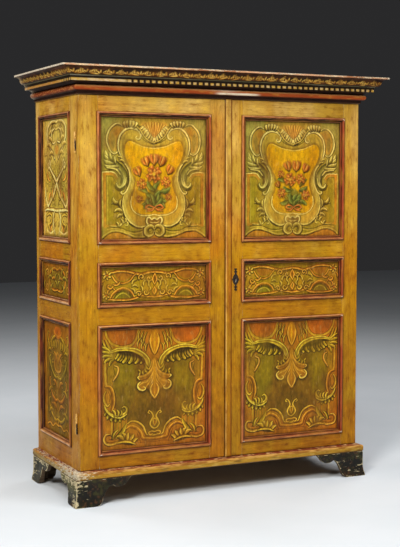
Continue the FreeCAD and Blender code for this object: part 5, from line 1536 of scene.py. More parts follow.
    def fill(self, points, color, alpha=1.0, soft=1.5, lift=0.0, dry=0.1, closed=True, vary=0.0):
        pts, _ = curve(list(points) + [points[0]] if closed else points, None, 5.0)
        pad = soft
        a, b, c, d = self.window(pts.min(0), pts.max(0), pad)
        if b <= a or d <= c:
            return
        X = (np.arange(a, b) * self.px + self.x0)[None, :]
        Y = (np.arange(c, d) * self.px)[:, None]
        inside = np.zeros((d - c, b - a), bool)
        for p, q in zip(pts, np.roll(pts, -1, 0)):
            if p[1] == q[1]:
                continue
            cross = (p[1] > Y) != (q[1] > Y)
            inside ^= cross & (X < (q[0] - p[0]) * (Y - p[1]) / (q[1] - p[1]) + p[0])
        got = self.field(np.vstack([pts, pts[:1]]), np.zeros(len(pts) + 1), soft)
        cov = inside.astype(float)
        if got:
            win, F, N, T = got
            ox, oy = win[1].start - a, win[0].start - c
            sub = (slice(oy, oy + F.shape[0]), slice(ox, ox + F.shape[1]))
            near = F > -soft / 2
            ins = inside[sub]
            dist = np.where(ins, -F, F)
            cov[sub] = np.where(near, smooth(dist, -soft / 2, soft / 2), cov[sub])
        win = (slice(c, d), slice(a, b))
        col = np.asarray(color, float)
        if vary:
            col = col * (1 + vary * (self.cloud[win] - 0.5) * 2)[..., None]
        self.lay(win, alpha * cov, col, lift, dry)

    def lobes(self, top, foot, count, width, tones, lift=0.5, shadow=0.7, root=0.75, tip=0.6, start=0.0, end=1.0, alpha=1.0, spread=1.0):
        """A fan of rounded lobes: each runs from a place on the path top to one on the path foot."""
        a, _ = curve(top, None, 1.5)
        b, _ = curve(foot, None, 1.5)

        def at(pts, t):
            s = np.concatenate([[0], np.cumsum(np.linalg.norm(np.diff(pts, axis=0), axis=1))])
            return np.array([np.interp(t * s[-1], s, pts[:, i]) for i in (0, 1)])

        order = sorted(range(count), key=lambda k: -abs(k - (count - 1) / 2.0)) if spread else range(count)
        for k in order:
            t = start + (end - start) * (k + 0.5) / count
            p, q = at(a, t), at(b, t)
            side = np.array([-(q - p)[1], (q - p)[0]]) * 0.06 * (1 if k % 2 else -1)
            self.band([p, (p + q) / 2 + side, q], [width * 0.55, width, width * 0.92], tones, alpha=alpha, lift=lift, shadow=shadow,
                      soft=1.0, root=root, tip=tip)

    def leaf(self, a, b, width, tones, bend=0.2, lift=0.35, shadow=0.55, flip=False, alpha=1.0):
        """One blade of a leaf from a to its tip b."""
        a, b = np.array(a, float), np.array(b, float)
        d = b - a
        n = np.array([-d[1], d[0]]) * bend
        self.band([a, a + d * 0.35 + n * 0.8, a + d * 0.72 + n * 0.75, b], [width * 0.45, width, width * 0.8, width * 0.12], tones,
                  alpha=alpha, lift=lift, shadow=shadow, flip=flip, soft=1.0, root=0.35, tip=0.35)

    def blades(self, path, count, reach, width, tones, angle=60, start=0.05, end=0.95, flip=False, grow=(0.7, 1.0, 0.6), shadow=0.4, alpha=1.0):
        """A row of blades growing off one side of a path."""
        pts, _ = curve(path, None, 1.5)
        s = np.concatenate([[0], np.cumsum(np.linalg.norm(np.diff(pts, axis=0), axis=1))])
        for k in range(count):
            t = start + (end - start) * (k + 0.5) / count
            at = np.array([np.interp(t * s[-1], s, pts[:, i]) for i in (0, 1)])
            ah = np.array([np.interp(min(1, t + 0.02) * s[-1], s, pts[:, i]) for i in (0, 1)])
            d = ah - at
            d /= max(np.linalg.norm(d), 1e-6)
            r = math.radians(angle if not flip else -angle)
            v = np.array([d[0] * math.cos(r) - d[1] * math.sin(r), d[0] * math.sin(r) + d[1] * math.cos(r)])
            g = np.interp(t, [0, 0.5, 1], grow)
            self.leaf(at, at + v * reach * g, width * (0.75 + 0.25 * g), tones, bend=0.18 if flip else -0.18, flip=flip, shadow=shadow, alpha=alpha)

    def sample(self, x, y):
        fx = np.clip((x - self.x0) / self.px, 0, self.w - 1.001)
        fy = np.clip(y / self.px, 0, self.h - 1.001)
        i, j = fx.astype(int), fy.astype(int)
        u, v = fx - i, fy - j

        def pick(img):
            if img.ndim == 3:
                uu, vv = u[:, None], v[:, None]
            else:
                uu, vv = u, v
            return (img[j, i] * (1 - uu) + img[j, i + 1] * uu) * (1 - vv) + (img[j + 1, i] * (1 - uu) + img[j + 1, i + 1] * uu) * vv

        if self.low is None:
            return pick(self.rgb), pick(self.lift)
        return pick(self.rgb), pick(self.lift), pick(self.low)

    def blurred(self, reach):
        low = self.rgb.copy()
        r = int(reach / self.px)
        for axis in (0, 1, 0, 1):
            pad = [(r + 1, r) if k == axis else (0, 0) for k in range(3)]
            c = np.cumsum(np.pad(low, pad, mode="edge"), axis=axis)
            n = low.shape[axis]
            take = lambda a: np.take(c, np.arange(a, a + n), axis=axis)
            low = (take(2 * r + 1) - take(0)) / (2 * r + 1)
        return low

    def finish(self, glaze, reach=22, sink=0.03, crisp=0.7):
        """Keeps a soft copy of the drawing, for the places where it has sunk into its ground, draws up the contours, and
        sets the varnish."""
        self.low, self.glaze, self.sink = self.blurred(reach), glaze, sink
        near = self.blurred(4.5)
        self.rgb = self.rgb * np.clip((self.rgb.mean(2) + 0.01) / (near.mean(2) + 0.01), 0.35, 1.9)[..., None] ** crisp
        return self


# the painter's palette
DARK = lin(58, 42, 14)
OLIVE = lin(170, 148, 56)
CREAM_LINE = lin(234, 208, 134)
BAND = (lin(112, 86, 26), lin(184, 152, 56), lin(230, 202, 118))
BAND_SOFT = (lin(124, 98, 32), lin(178, 146, 50), lin(212, 182, 88))
GREENS = (lin(82, 72, 24), lin(158, 140, 46), lin(220, 200, 106))
YGREEN = (lin(90, 72, 14), lin(184, 148, 32), lin(232, 200, 86))
ORANGES = (lin(132, 74, 18), lin(204, 128, 36), lin(238, 180, 84))
PEACH = (lin(132, 80, 24), lin(210, 146, 50), lin(240, 196, 112))
STRAP = lin(204, 134, 40)
FIELD = lin(220, 166, 6)
FIELD_ORANGE = lin(212, 140, 12)


def upper_design():
    """The upper door panels: a cartouche with eared C-scrolls, a shell above, acanthus at the waist and strapwork."""
    S = Sheet(-14, 288, 601, OLIVE, seed=3)
    P = lambda *pts: [((707.5 - x) * 0.4747, (1490 - y) * 0.442) for x, y in pts]
    # grounds
    S.fill(P((95, 120), (330, 120), (300, 420), (180, 760), (95, 900)), lin(162, 150, 84), 0.75, 40, vary=0.25)
    S.fill(P((95, 520), (180, 480), (150, 900), (95, 900)), lin(146, 124, 40), 0.7, 20, vary=0.25)
    S.fill(P((95, 430), (300, 520), (420, 700), (430, 860), (300, 960), (95, 800)), lin(168, 144, 54), 0.6, 30, vary=0.2)
    S.fill(P((330, 120), (720, 120), (720, 240), (560, 220), (440, 190)), lin(186, 144, 60), 0.7, 24, vary=0.2)
    S.fill(P((150, 770), (255, 790), (300, 900), (350, 1000), (352, 1180), (372, 1300), (330, 1345), (160, 1345)), lin(172, 138, 34), 0.95, 6, vary=0.35)
    S.fill(P((180, 800), (230, 800), (240, 1000), (230, 1280), (180, 1300)), lin(158, 138, 34), 0.7, 20, vary=0.35)
    S.fill(P((170, 1340), (420, 1340), (560, 1370), (740, 1370), (740, 1470), (560, 1480), (400, 1445), (250, 1415), (120, 1480)), lin(172, 142, 42), 0.95, 6, vary=0.2)
    S.fill(P((400, 1390), (520, 1380), (600, 1400), (600, 1440), (480, 1440)), lin(150, 136, 34), 0.7, 14)
    S.fill(P((100, 1500), (120, 1478), (180, 1432), (250, 1412), (320, 1414), (400, 1440), (500, 1474), (590, 1478), (650, 1462), (720, 1420), (740, 1500)),
           lin(204, 134, 42), 1.0, 3, vary=0.2)
    # shell above
    S.fill(P((740, 172), (640, 172), (560, 184), (572, 245), (606, 310), (655, 366), (707, 396), (740, 396)), lin(196, 148, 62), 1.0, 8, vary=0.2)
    S.fill(P((740, 215), (660, 220), (650, 280), (690, 350), (740, 370)), lin(202, 134, 56), 0.7, 18)
    for k, (x, y) in enumerate([(578, 205), (610, 190), (643, 182), (676, 178), (707, 176)]):
        S.line(P((x, y), ((x + 700) / 2 - 6, (y + 380) / 2), (702, 384)), [4.4, 3.2, 1.4], lin(158, 92, 32), 0.7, 2.4)
        S.line(P((x + 14, y + 4), ((x + 712) / 2, (y + 384) / 2), (706, 380)), [4.0, 2.6, 1.0], lin(236, 184, 100), 0.65, 2.2, 0.2)
    # strapwork down the side
    S.line(P((148, 748), (148, 900), (148, 1100), (148, 1345)), [15, 15, 14, 15], STRAP, 0.9, 3.5, 0.2)
    S.line(P((140, 758), (200, 756), (250, 768), (286, 812)), [14, 14, 13, 9], STRAP, 0.9, 3.5, 0.2)
    S.line(P((127, 742), (127, 1000), (127, 1350)), [3.6], lin(222, 190, 98), 0.95, 1.5, 0.2)
    S.line(P((127, 740), (210, 738), (262, 752), (300, 800)), [4.4, 4.2, 3.4, 2.0], CREAM_LINE, 0.95, 1.5, 0.3)
    S.line(P((118, 730), (210, 727), (268, 740), (312, 790)), [3.0], DARK, 0.6, 2.6)
    S.line(P((171, 782), (171, 1000), (171, 1330)), [3.4], DARK, 0.6, 2.6)
    S.line(P((178, 786), (178, 1000), (178, 1326)), [2.6], lin(214, 188, 86), 0.7, 1.6)
    S.line(P((175, 784), (232, 788), (262, 830), (276, 872)), [3.6, 3.2, 2.8, 2.0], DARK, 0.6, 2.6)
    S.line(P((165, 1338), (220, 1336), (320, 1336)), [11, 11, 9], STRAP, 0.7, 4)
    # outer ear of the frame
    ear = P((352, 222), (312, 200), (262, 206), (212, 248), (182, 312), (172, 386), (184, 452), (214, 508), (258, 534), (290, 516), (300, 488))
    S.fill(P((330, 232), (268, 222), (220, 268), (198, 340), (196, 420), (216, 482), (256, 512), (286, 488), (292, 420), (304, 350), (330, 292), (366, 250)),
           lin(178, 136, 54), 1.0, 4, vary=0.25)
    S.fill(P((232, 300), (214, 350), (222, 430), (250, 480), (270, 420), (262, 340)), lin(142, 122, 56), 0.7, 12)
    S.fill(P((300, 236), (262, 270), (262, 330), (296, 320), (330, 270)), lin(160, 100, 34), 0.6, 12)
    S.line(ear, [3, 12, 14, 14, 14, 14, 14, 12, 10, 8, 3], DARK, 0.70, 6.5, 0, off=(3.0, -3.6))
    S.line(ear, [2, 6, 7.4, 7.8, 7.8, 7.6, 7.2, 6.6, 6, 4.4, 1.6], CREAM_LINE, 1.0, 1.4, 0.6)
    S.line(ear, [1, 2.4, 3.2, 3.4, 3.4, 3.4, 3.2, 3, 2.4, 1], lin(96, 70, 22), 0.85, 2.0, 0, off=(-6.0, -1.4))
    # the frame's broad band
    outer = [(707, 410), (650, 398), (602, 374), (560, 346), (548, 300), (505, 256), (440, 238), (380, 258), (330, 310), (303, 380), (298, 450), (315, 530),
             (345, 585), (385, 640), (420, 700), (434, 770), (430, 850), (408, 925), (375, 985), (355, 1050), (352, 1120), (368, 1190), (405, 1260),
             (460, 1315), (540, 1350), (612, 1342), (650, 1305), (707, 1298)]
    S.line(P(*outer[4:27]), [12], DARK, 0.75, 9, 0, off=(3.0, -4.5))
    S.fill(P(*outer, (745, 1298), (745, 410)), lin(186, 152, 58), 1.0, 2, 0.25, vary=0.14)
    S.fill(P((400, 1080), (380, 1160), (440, 1280), (560, 1330), (640, 1290), (560, 1240), (450, 1190)), lin(206, 158, 54), 0.7, 16, 0.25)
    S.line(P(*[(x + 26, y + 4) for x, y in outer[8:24]]), [16], lin(204, 178, 92), 0.60, 12, 0.25)
    inner = [(745, 464), (707, 464), (640, 457), (560, 437), (500, 408), (440, 388), (400, 402), (378, 450), (374, 520), (392, 590), (428, 660), (468, 730),
             (498, 800), (504, 870), (486, 940), (462, 1000), (450, 1060), (458, 1120), (490, 1170), (545, 1202), (620, 1216), (707, 1210), (745, 1210)]
    S.line(P(*inner), [19], lin(120, 86, 26), 0.72, 14, 0)
    S.line(P(*[(x - 18, y + 8) for x, y in inner[6:19]]), [8], lin(112, 92, 34), 0.5, 7, 0)
    S.fill(P(*inner), FIELD, 1.0, 3, 0.05, vary=0.08)
    S.fill(P((374, 430), (460, 420), (520, 620), (560, 800), (540, 1000), (520, 1190), (440, 1120), (470, 960), (500, 840), (440, 680), (380, 560)), FIELD_ORANGE, 0.50, 46)
    S.fill(P((745, 1080), (620, 1100), (560, 1180), (640, 1214), (745, 1210)), FIELD_ORANGE, 0.45, 30)
    S.fill(P((745, 500), (620, 500), (640, 640), (745, 700)), lin(236, 178, 16), 0.5, 50)
    # its cream edge, from the inner curl round to the waist
    edge = P((512, 332), (500, 344), (506, 360), (528, 364), (548, 344), (550, 304), (508, 258), (440, 240), (380, 260), (331, 312), (303, 380), (298, 450), (314, 528), (338, 572))
    S.line(edge, [2, 4, 5, 7, 8, 9, 10, 10, 10, 10, 10, 9, 7, 3], DARK, 0.75, 4.0, 0.1, off=(-3.0, -3.6))
    S.line(edge, [2, 4, 5.4, 6.4, 7, 7.6, 8.4, 8.6, 8.4, 8, 7.6, 7, 5, 2], lin(238, 214, 144), 1.0, 1.3, 0.7)
    S.line(P((400, 300), (372, 340), (352, 400), (348, 460), (362, 530)), [4, 9, 11, 10, 5], lin(124, 110, 46), 0.6, 7, 0.2)
    waist = P((306, 588), (350, 618), (392, 664), (424, 724), (436, 790), (432, 856), (412, 918), (386, 962), (352, 984), (332, 966), (346, 948))
    S.line(waist, [3, 8, 11, 12, 13, 13, 12, 10, 8, 6, 3], DARK, 0.8, 6.0, 0.1, off=(4.5, -2.0))
    S.line(waist, [2, 4.5, 6.4, 7, 7.4, 7.4, 7, 6.4, 6, 4.6, 2.4], lin(230, 204, 126), 1.0, 1.3, 0.65)
    S.leaf(*P((340, 606), (296, 566)), 15, BAND, 0.3)
    S.leaf(*P((372, 630), (312, 610)), 13, BAND, 0.2)
    lobe = P((372, 986), (356, 1046), (352, 1116), (368, 1188), (404, 1256), (458, 1312), (538, 1350), (600, 1344), (624, 1318))
    S.line(lobe, [4, 11, 14, 15, 15, 15, 14, 10, 5], DARK, 0.75, 7.0, 0.0, off=(4.0, -4.0))
    S.line(lobe, [2, 5.4, 6.6, 7, 7, 6.6, 6, 5, 2.2], lin(226, 198, 114), 1.0, 1.4, 0.65)
    S.line(P((452, 1010), (442, 1070), (452, 1136), (492, 1188), (560, 1220), (640, 1228), (706, 1216)), [4, 4.6, 5, 5.4, 6, 6, 5], lin(238, 212, 134), 0.95, 1.6, 0.5)
    S.line(P((452, 398), (520, 424), (590, 452), (660, 466), (707, 470)), [3, 4.4, 5, 4.8, 4.4], lin(222, 190, 102), 0.85, 1.8, 0.4)
    # lobed rim between the ears and the shell
    rim = P((352, 220), (398, 206), (452, 196), (508, 208), (558, 250), (598, 310), (648, 364), (707, 392))
    S.line(rim, [6, 14, 18, 20, 20, 18, 15, 10], DARK, 0.55, 7, 0, off=(0, -4))
    S.lobes(P((362, 226), (410, 220), (456, 216), (500, 232)), P((352, 190), (404, 176), (464, 172), (524, 196)), 5, 17, (lin(118, 80, 26), lin(202, 162, 66), lin(240, 214, 138)), root=0.6, tip=0.7)
    S.lobes(P((530, 240), (566, 290), (606, 340), (660, 384), (700, 398)), P((566, 226), (604, 266), (638, 308), (676, 346), (704, 366)), 7, 19,
            (lin(118, 80, 26), lin(206, 166, 74), lin(240, 214, 138)), root=0.75, tip=0.75)
    S.line(P((510, 222), (546, 262), (588, 328), (644, 378), (707, 402)), [3, 5, 5, 5, 4], lin(214, 180, 94), 0.85, 1.8, 0.4)
    S.line(P((560, 350), (610, 388), (660, 410), (707, 420)), [4, 6, 7, 7], DARK, 0.7, 4)
    # acanthus at the waist
    body = P((158, 560), (206, 606), (262, 644), (318, 694), (358, 752), (380, 818), (370, 874), (330, 912), (292, 900), (280, 872), (296, 856))
    S.line(body, [8, 26, 40, 46, 48, 44, 34, 24, 16, 11, 6], DARK, 0.65, 10, 0, off=(0, -5))
    S.band(body, [5, 20, 32, 38, 40, 36, 28, 19, 13, 9, 4], (lin(70, 64, 24), lin(150, 138, 56), lin(226, 208, 130)), 1.0, 1.5, 0.7, 0, flip=False)
    S.line(P((286, 690), (330, 750), (344, 812), (330, 864)), [4, 16, 19, 8], lin(60, 54, 22), 0.85, 7, 0)
    for a, b, w in (((196, 596), (152, 500), 24), ((226, 616), (146, 552), 24), ((262, 644), (140, 606), 24), ((296, 676), (150, 664), 22), ((236, 612), (206, 520), 20),
                    ((268, 640), (262, 560), 17)):
        S.leaf(*P(a, b), w, (lin(92, 78, 26), lin(174, 152, 60), lin(236, 214, 136)), -0.14)
    S.line(P((176, 694), (236, 700), (286, 716), (324, 762)), [3, 6, 7, 4], lin(230, 206, 122), 0.95, 1.6, 0.5)
    S.line(P((172, 706), (232, 714), (278, 732), (310, 774)), [3, 6, 6, 3], DARK, 0.7, 3.0)
    S.line(P((284, 868), (302, 902), (340, 904), (378, 866), (392, 800)), [4, 6, 6.4, 6, 3], lin(232, 210, 130), 1.0, 1.4, 0.6)
    S.line(P((256, 880), (282, 930), (330, 944), (372, 930)), [4, 8, 8, 4], DARK, 0.65, 4.5)
    # sprigs in the side fields
    stem = P((352, 1250), (342, 1186), (326, 1130), (296, 1086), (250, 1052))
    S.line(stem, [6, 8, 7, 6, 3], DARK, 0.65, 4.5, 0, off=(2, -3))
    S.line(stem, [4, 6.4, 6, 5, 2.2], lin(220, 184, 86), 1.0, 1.4, 0.5)
    for a, b, w, bd in (((330, 1136), (226, 1090), 20, 0.3), ((344, 1180), (258, 1180), 18, 0.25), ((302, 1088), (244, 1020), 20, -0.3), ((350, 1220), (290, 1246), 15, 0.2),
                        ((322, 1120), (340, 1040), 15, -0.2)):
        S.leaf(*P(a, b), w, BAND, bd)
    sc = P((196, 1334), (250, 1344), (312, 1336), (352, 1304), (380, 1286), (408, 1300), (404, 1330), (382, 1334))
    S.line(sc, [4, 8, 9, 9, 9, 8, 7, 3], DARK, 0.65, 4, 0, off=(0, -3))
    S.line(sc, [2, 5, 6.4, 6.8, 6.4, 6, 5, 2.4], lin(228, 198, 104), 1.0, 1.4, 0.5)
    for a, b in (((350, 1300), (330, 1262)), ((382, 1290), (376, 1250)), ((300, 1338), (280, 1300))):
        S.leaf(*P(a, b), 13, BAND, 0.2)
    # the wave along the foot
    wave = P((112, 1486), (160, 1446), (230, 1412), (312, 1412), (402, 1440), (500, 1474), (590, 1476), (650, 1458), (700, 1422))
    S.line(wave, [9], lin(82, 50, 12), 0.9, 3.2, 0)
    S.line([(x, y + 8) for x, y in wave], [8], lin(216, 182, 84), 0.9, 2.4, 0.4)
    top = P((176, 1362), (250, 1352), (330, 1362), (410, 1392), (500, 1404), (580, 1388), (640, 1360))
    S.line(top, [7], lin(92, 72, 20), 0.75, 3.4, 0)
    S.line([(x, y - 6.5) for x, y in top], [6], lin(206, 170, 72), 0.75, 2.6, 0.25)
    # crest at the foot
    S.line(P((720, 1256), (680, 1270), (640, 1250), (616, 1276), (626, 1320), (640, 1350)), [10, 12, 14, 14, 12, 8], DARK, 0.75, 7, 0, off=(3, -2))
    S.fill(P((745, 1262), (707, 1264), (680, 1276), (652, 1258), (630, 1262), (624, 1298), (640, 1336), (680, 1350), (745, 1345)), lin(134, 92, 34), 1.0, 3, 0.3)
    S.line(P((720, 1252), (696, 1258), (676, 1270), (650, 1250), (626, 1258), (620, 1296), (638, 1330), (618, 1352), (604, 1340)), [6, 6.6, 6.6, 7.4, 7.4, 7, 6.4, 5, 3],
           lin(240, 214, 142), 1.0, 1.4, 0.7)
    S.line(P((720, 1300), (690, 1308), (660, 1300)), [5, 5.5, 3], lin(220, 186, 108), 0.85, 1.6, 0.4)
    S.line(P((704, 1384), (684, 1350), (642, 1346), (606, 1376), (604, 1420), (640, 1452), (690, 1440)), [8, 18, 22, 24, 24, 22, 12], DARK, 0.8, 8, 0, off=(1, -3))
    S.band(P((704, 1384), (686, 1352), (648, 1346), (616, 1374), (614, 1416), (644, 1444), (684, 1436), (702, 1404)), [7, 17, 22, 24, 24, 22, 16, 6], BAND, 1.0, 1.4, 0.7)
    S.line(P((668, 1368), (646, 1374), (640, 1396), (656, 1410), (674, 1400)), [3, 5, 5.4, 4.6, 2], lin(96, 66, 22), 0.9, 1.8, 0)
    S.fill(P((745, 1340), (712, 1344), (700, 1362), (710, 1386), (745, 1390)), lin(48, 32, 10), 0.95, 3)
    S.line(P((720, 1400), (706, 1420), (704, 1444)), [6, 6, 3], lin(48, 32, 10), 0.9, 2.4)
    return S


def lower_design():
    """The lower door panels: acanthus under two discs, a hanging palmette, C-scrolls down the sides, strapwork below."""
    S = Sheet(-14, 288, 601, lin(188, 124, 36), seed=13)

    def P(*pts):
        out = []
        for x, y in pts:
            t, b = 140 - 0.0567 * (x - 115), 1345 - 0.1134 * (x - 115)
            out.append(((600 - x) * 0.59, 601 * (1 - (y - t) / (b - t))))
        return out

    S.fill(P((90, 60), (700, 40), (700, 300), (90, 330)), lin(196, 120, 38), 0.6, 50, vary=0.2)
    S.fill(P((90, 1120), (700, 1200), (700, 1400), (90, 1400)), lin(190, 112, 36), 0.6, 40, vary=0.2)
    S.fill(P((105, 600), (140, 620), (140, 1150), (105, 1200)), lin(184, 106, 38), 0.6, 16, vary=0.2)
    # discs at the top
    ring = P((150, 130), (166, 210), (216, 278), (300, 300), (384, 278), (432, 214), (452, 120))
    S.fill(P((172, 120), (186, 200), (230, 260), (304, 280), (374, 260), (414, 200), (430, 110)), lin(198, 106, 36), 0.9, 9, vary=0.16)
    S.line(ring, [5, 8, 10, 11, 10, 8, 5], lin(206, 168, 62), 0.95, 2.2, 0.4)
    S.line(P((164, 128), (182, 206), (228, 266), (302, 286), (376, 264), (418, 204), (436, 118)), [3.5], lin(120, 62, 16), 0.75, 2.6)
    S.line(P((140, 150), (158, 222), (212, 290), (300, 314), (392, 290), (446, 220)), [3], lin(112, 66, 18), 0.6, 2.8)
    # the green and brown field
    field = P((745, 420), (600, 420), (540, 470), (470, 440), (380, 450), (280, 450), (230, 480), (236, 600), (214, 690), (232, 780), (232, 900), (330, 1000),
              (345, 1060), (380, 1040), (450, 1062), (510, 1120), (530, 1172), (600, 1174), (745, 1170))
    S.fill(field, lin(134, 100, 30), 1.0, 5, 0.0, vary=0.28)
    S.fill(P((228, 470), (400, 460), (420, 600), (400, 780), (360, 920), (260, 900), (226, 760), (222, 620)), lin(150, 130, 28), 0.75, 40, vary=0.3)
    S.fill(P((745, 800), (620, 830), (500, 860), (400, 980), (480, 1100), (745, 1170)), lin(104, 78, 30), 0.55, 46, vary=0.3)
    S.fill(P((745, 560), (690, 600), (660, 760), (745, 820)), lin(108, 84, 34), 0.4, 30)
    S.fill(P((166, 480), (240, 480), (216, 640), (196, 690), (168, 690)), lin(170, 132, 40), 0.9, 6, vary=0.2)
    # sprigs beside the flame
    for (a, b, w) in (((470, 130), (462, 250), 10), ((500, 140), (490, 270), 10), ((528, 150), (518, 300), 10), ((480, 200), (446, 300), 11), ((505, 240), (482, 318), 11),
                      ((536, 260), (520, 336), 11)):
        S.leaf(*P(a, b), w, (lin(84, 66, 18), lin(176, 136, 44), lin(222, 186, 88)), 0.16)
    # flame
    S.fill(P((720, 120), (600, 124), (566, 170), (552, 232), (560, 290), (578, 340), (600, 372), (720, 372)), lin(218, 148, 36), 1.0, 5, 0.4, vary=0.12)
    S.line(P((566, 170), (552, 232), (560, 292), (578, 342), (600, 374)), [3, 6, 7, 6, 3], DARK, 0.7, 4.0, 0, off=(2.5, -1))
    S.line(P((572, 166), (560, 232), (568, 288), (584, 336), (600, 362)), [2, 4, 5, 4, 2], lin(238, 190, 92), 0.9, 1.5, 0.5)
    S.line(P((600, 150), (600, 250), (600, 340)), [3, 7, 4], lin(232, 178, 40), 0.8, 3.0, 0.4)
    S.line(P((584, 170), (580, 250), (590, 330)), [2, 4, 2], lin(178, 98, 26), 0.6, 2.6)
    # rays of the leaf in the top corner
    for dx, c, w in ((-12, DARK, 8), (0, lin(206, 178, 70), 8), (18, DARK, 8), (30, lin(190, 160, 56), 8), (48, DARK, 5)):
        S.line(P((124 + dx, 236), (148 + dx, 300), (184 + dx * 0.9, 360), (204 + dx * 0.7, 410)), [w * 0.5, w, w, w * 0.5], c, 0.9, 1.8, 0.3)
    S.line(P((216, 360), (176, 400), (150, 440)), [14, 30, 16], DARK, 0.55, 10, 0)
    for a, b, w, bd in (((214, 396), (118, 300), 19, 0.10), ((214, 404), (112, 350), 20, 0.14), ((214, 414), (116, 404), 21, 0.16), ((216, 424), (140, 456), 20, 0.18),
                        ((222, 430), (184, 490), 17, 0.16)):
        S.leaf(*P(a, b), w, YGREEN, bd)
    # the acanthus: lobes first, then the strap above them
    S.line(P((228, 430), (290, 448), (360, 452), (430, 446), (492, 444)), [10, 16, 18, 16, 12], DARK, 0.70, 9, 0)
    S.fill(P((214, 350), (300, 338), (400, 346), (470, 380), (500, 420), (470, 430), (380, 428), (290, 420), (232, 404)), lin(132, 100, 26), 1.0, 4, 0.3)
    rs = np.random.RandomState(9)
    for x, y, w in ((496, 442, 17), (474, 452, 22), (446, 450, 18), (424, 456, 25), (394, 448, 19), (368, 458, 26), (338, 446, 18), (312, 452, 25), (284, 438, 18), (262, 432, 22), (240, 416, 17)):
        a = (x + 22 + 6 * rs.rand(), y - 62 - 12 * rs.rand())
        m = ((x + a[0]) / 2 + 6 + 6 * rs.rand(), (y + a[1]) / 2)
        S.band(P(a, m, (x, y)), [w * 0.8, w, w * 0.95, w * 0.5], YGREEN, 1.0, 1.2, 0.6, 0.8, root=0.9, tip=0.6)
    S.line(P((226, 372), (300, 352), (384, 358), (448, 390), (488, 436), (500, 486)), [4, 9, 11, 11, 9, 4], lin(58, 44, 14), 0.9, 3.0, 0)
    strap = P((196, 352), (262, 330), (350, 322), (430, 336), (494, 372), (534, 426), (540, 486), (516, 536), (478, 558), (456, 536))
    S.line(strap, [12, 22, 30, 34, 38, 40, 36, 28, 20, 10], DARK, 0.65, 8, 0, off=(2, -5))
    S.band(strap, [8, 15, 20, 24, 28, 31, 29, 23, 16, 9], YGREEN, 1.0, 1.5, 0.8, 0, flip=False)
    S.line(P((200, 342), (262, 318), (350, 309), (436, 322), (506, 360), (550, 420), (556, 490)), [2, 4.6, 5.6, 6, 6, 5.6, 3], lin(236, 214, 112), 1.0, 1.4, 0.7)
    S.line(P((470, 372), (506, 420), (516, 470), (500, 516)), [2, 5, 5, 2], lin(96, 78, 20), 0.7, 2.6, 0)
    for a, b, w in (((520, 470), (566, 520), 14), ((514, 500), (548, 556), 13), ((496, 528), (512, 582), 12), ((474, 546), (470, 590), 10)):
        S.leaf(*P(a, b), w, YGREEN, 0.2)
    # palmette: wings, lobes and drop
    sil = P((720, 398), (600, 398), (584, 410), (574, 440), (566, 480), (550, 514), (554, 532), (530, 558), (500, 574), (466, 582), (444, 600), (458, 620), (490, 630), (466, 642),
            (446, 666), (444, 696), (462, 722), (492, 732), (516, 720), (530, 700), (542, 722), (558, 734), (572, 716), (600, 700), (720, 700))
    S.line(sil[1:23], [10, 16, 18, 18, 18, 18, 18, 16, 12], DARK, 0.62, 13, 0, off=(3, -6))
    S.fill(sil, lin(184, 124, 40), 1.0, 2, 0.6, vary=0.14)
    for path, w in ((((592, 430), (580, 500), (548, 552), (500, 584), (456, 598)), 9), (((592, 500), (572, 580), (536, 632), (494, 650), (462, 676)), 10),
                    (((594, 560), (580, 630), (556, 680), (556, 722)), 8), (((590, 540), (566, 620), (536, 668), (516, 700)), 6)):
        S.line(P(*path), [w * 0.4, w, w, w * 0.4], lin(232, 180, 88), 0.75, 6, 0.7)
    for path, w in ((((588, 520), (560, 580), (524, 612), (486, 626)), 4.5), (((588, 580), (566, 640), (548, 676), (534, 700)), 4.5), (((592, 620), (580, 670), (574, 712)), 5),
                    (((584, 440), (574, 490), (560, 522)), 3)):
        S.line(P(*path), [1.5, w, w, w * 0.6], lin(122, 70, 18), 0.8, 2.6, 0.3)
    S.line(P((462, 584), (446, 602), (462, 620)), [2, 5, 2], lin(244, 206, 124), 0.95, 1.6, 0.8)
    S.line(P((470, 642), (448, 668), (447, 696), (464, 720), (492, 729), (514, 716), (512, 696), (494, 692)), [3, 6.5, 7.5, 8, 7.5, 6.5, 5, 2], lin(244, 210, 136), 1.0, 1.5, 0.8)
    S.line(P((572, 444), (562, 486), (546, 516)), [2, 4.5, 2], lin(242, 198, 112), 0.95, 1.6, 0.7)
    S.line(P((600, 640), (574, 664), (556, 708), (560, 752), (580, 792), (600, 820)), [8, 14, 16, 15, 14, 8], DARK, 0.7, 9, 0, off=(2, -4))
    S.fill(P((720, 640), (600, 640), (574, 660), (556, 706), (560, 752), (580, 790), (600, 818), (720, 818)), lin(186, 122, 38), 1.0, 2, 0.7, vary=0.1)
    S.line(P((584, 660), (564, 708), (567, 752), (584, 786), (600, 806)), [3, 6.5, 7, 5.5, 3], lin(242, 198, 116), 0.95, 1.8, 0.7)
    S.line(P((600, 410), (600, 520), (600, 640), (600, 780)), [6, 15, 13, 5], lin(204, 146, 40), 0.8, 8, 0.7)
    S.line(P((590, 660), (585, 724), (592, 776)), [2, 4.5, 2], lin(150, 86, 24), 0.7, 2.4)
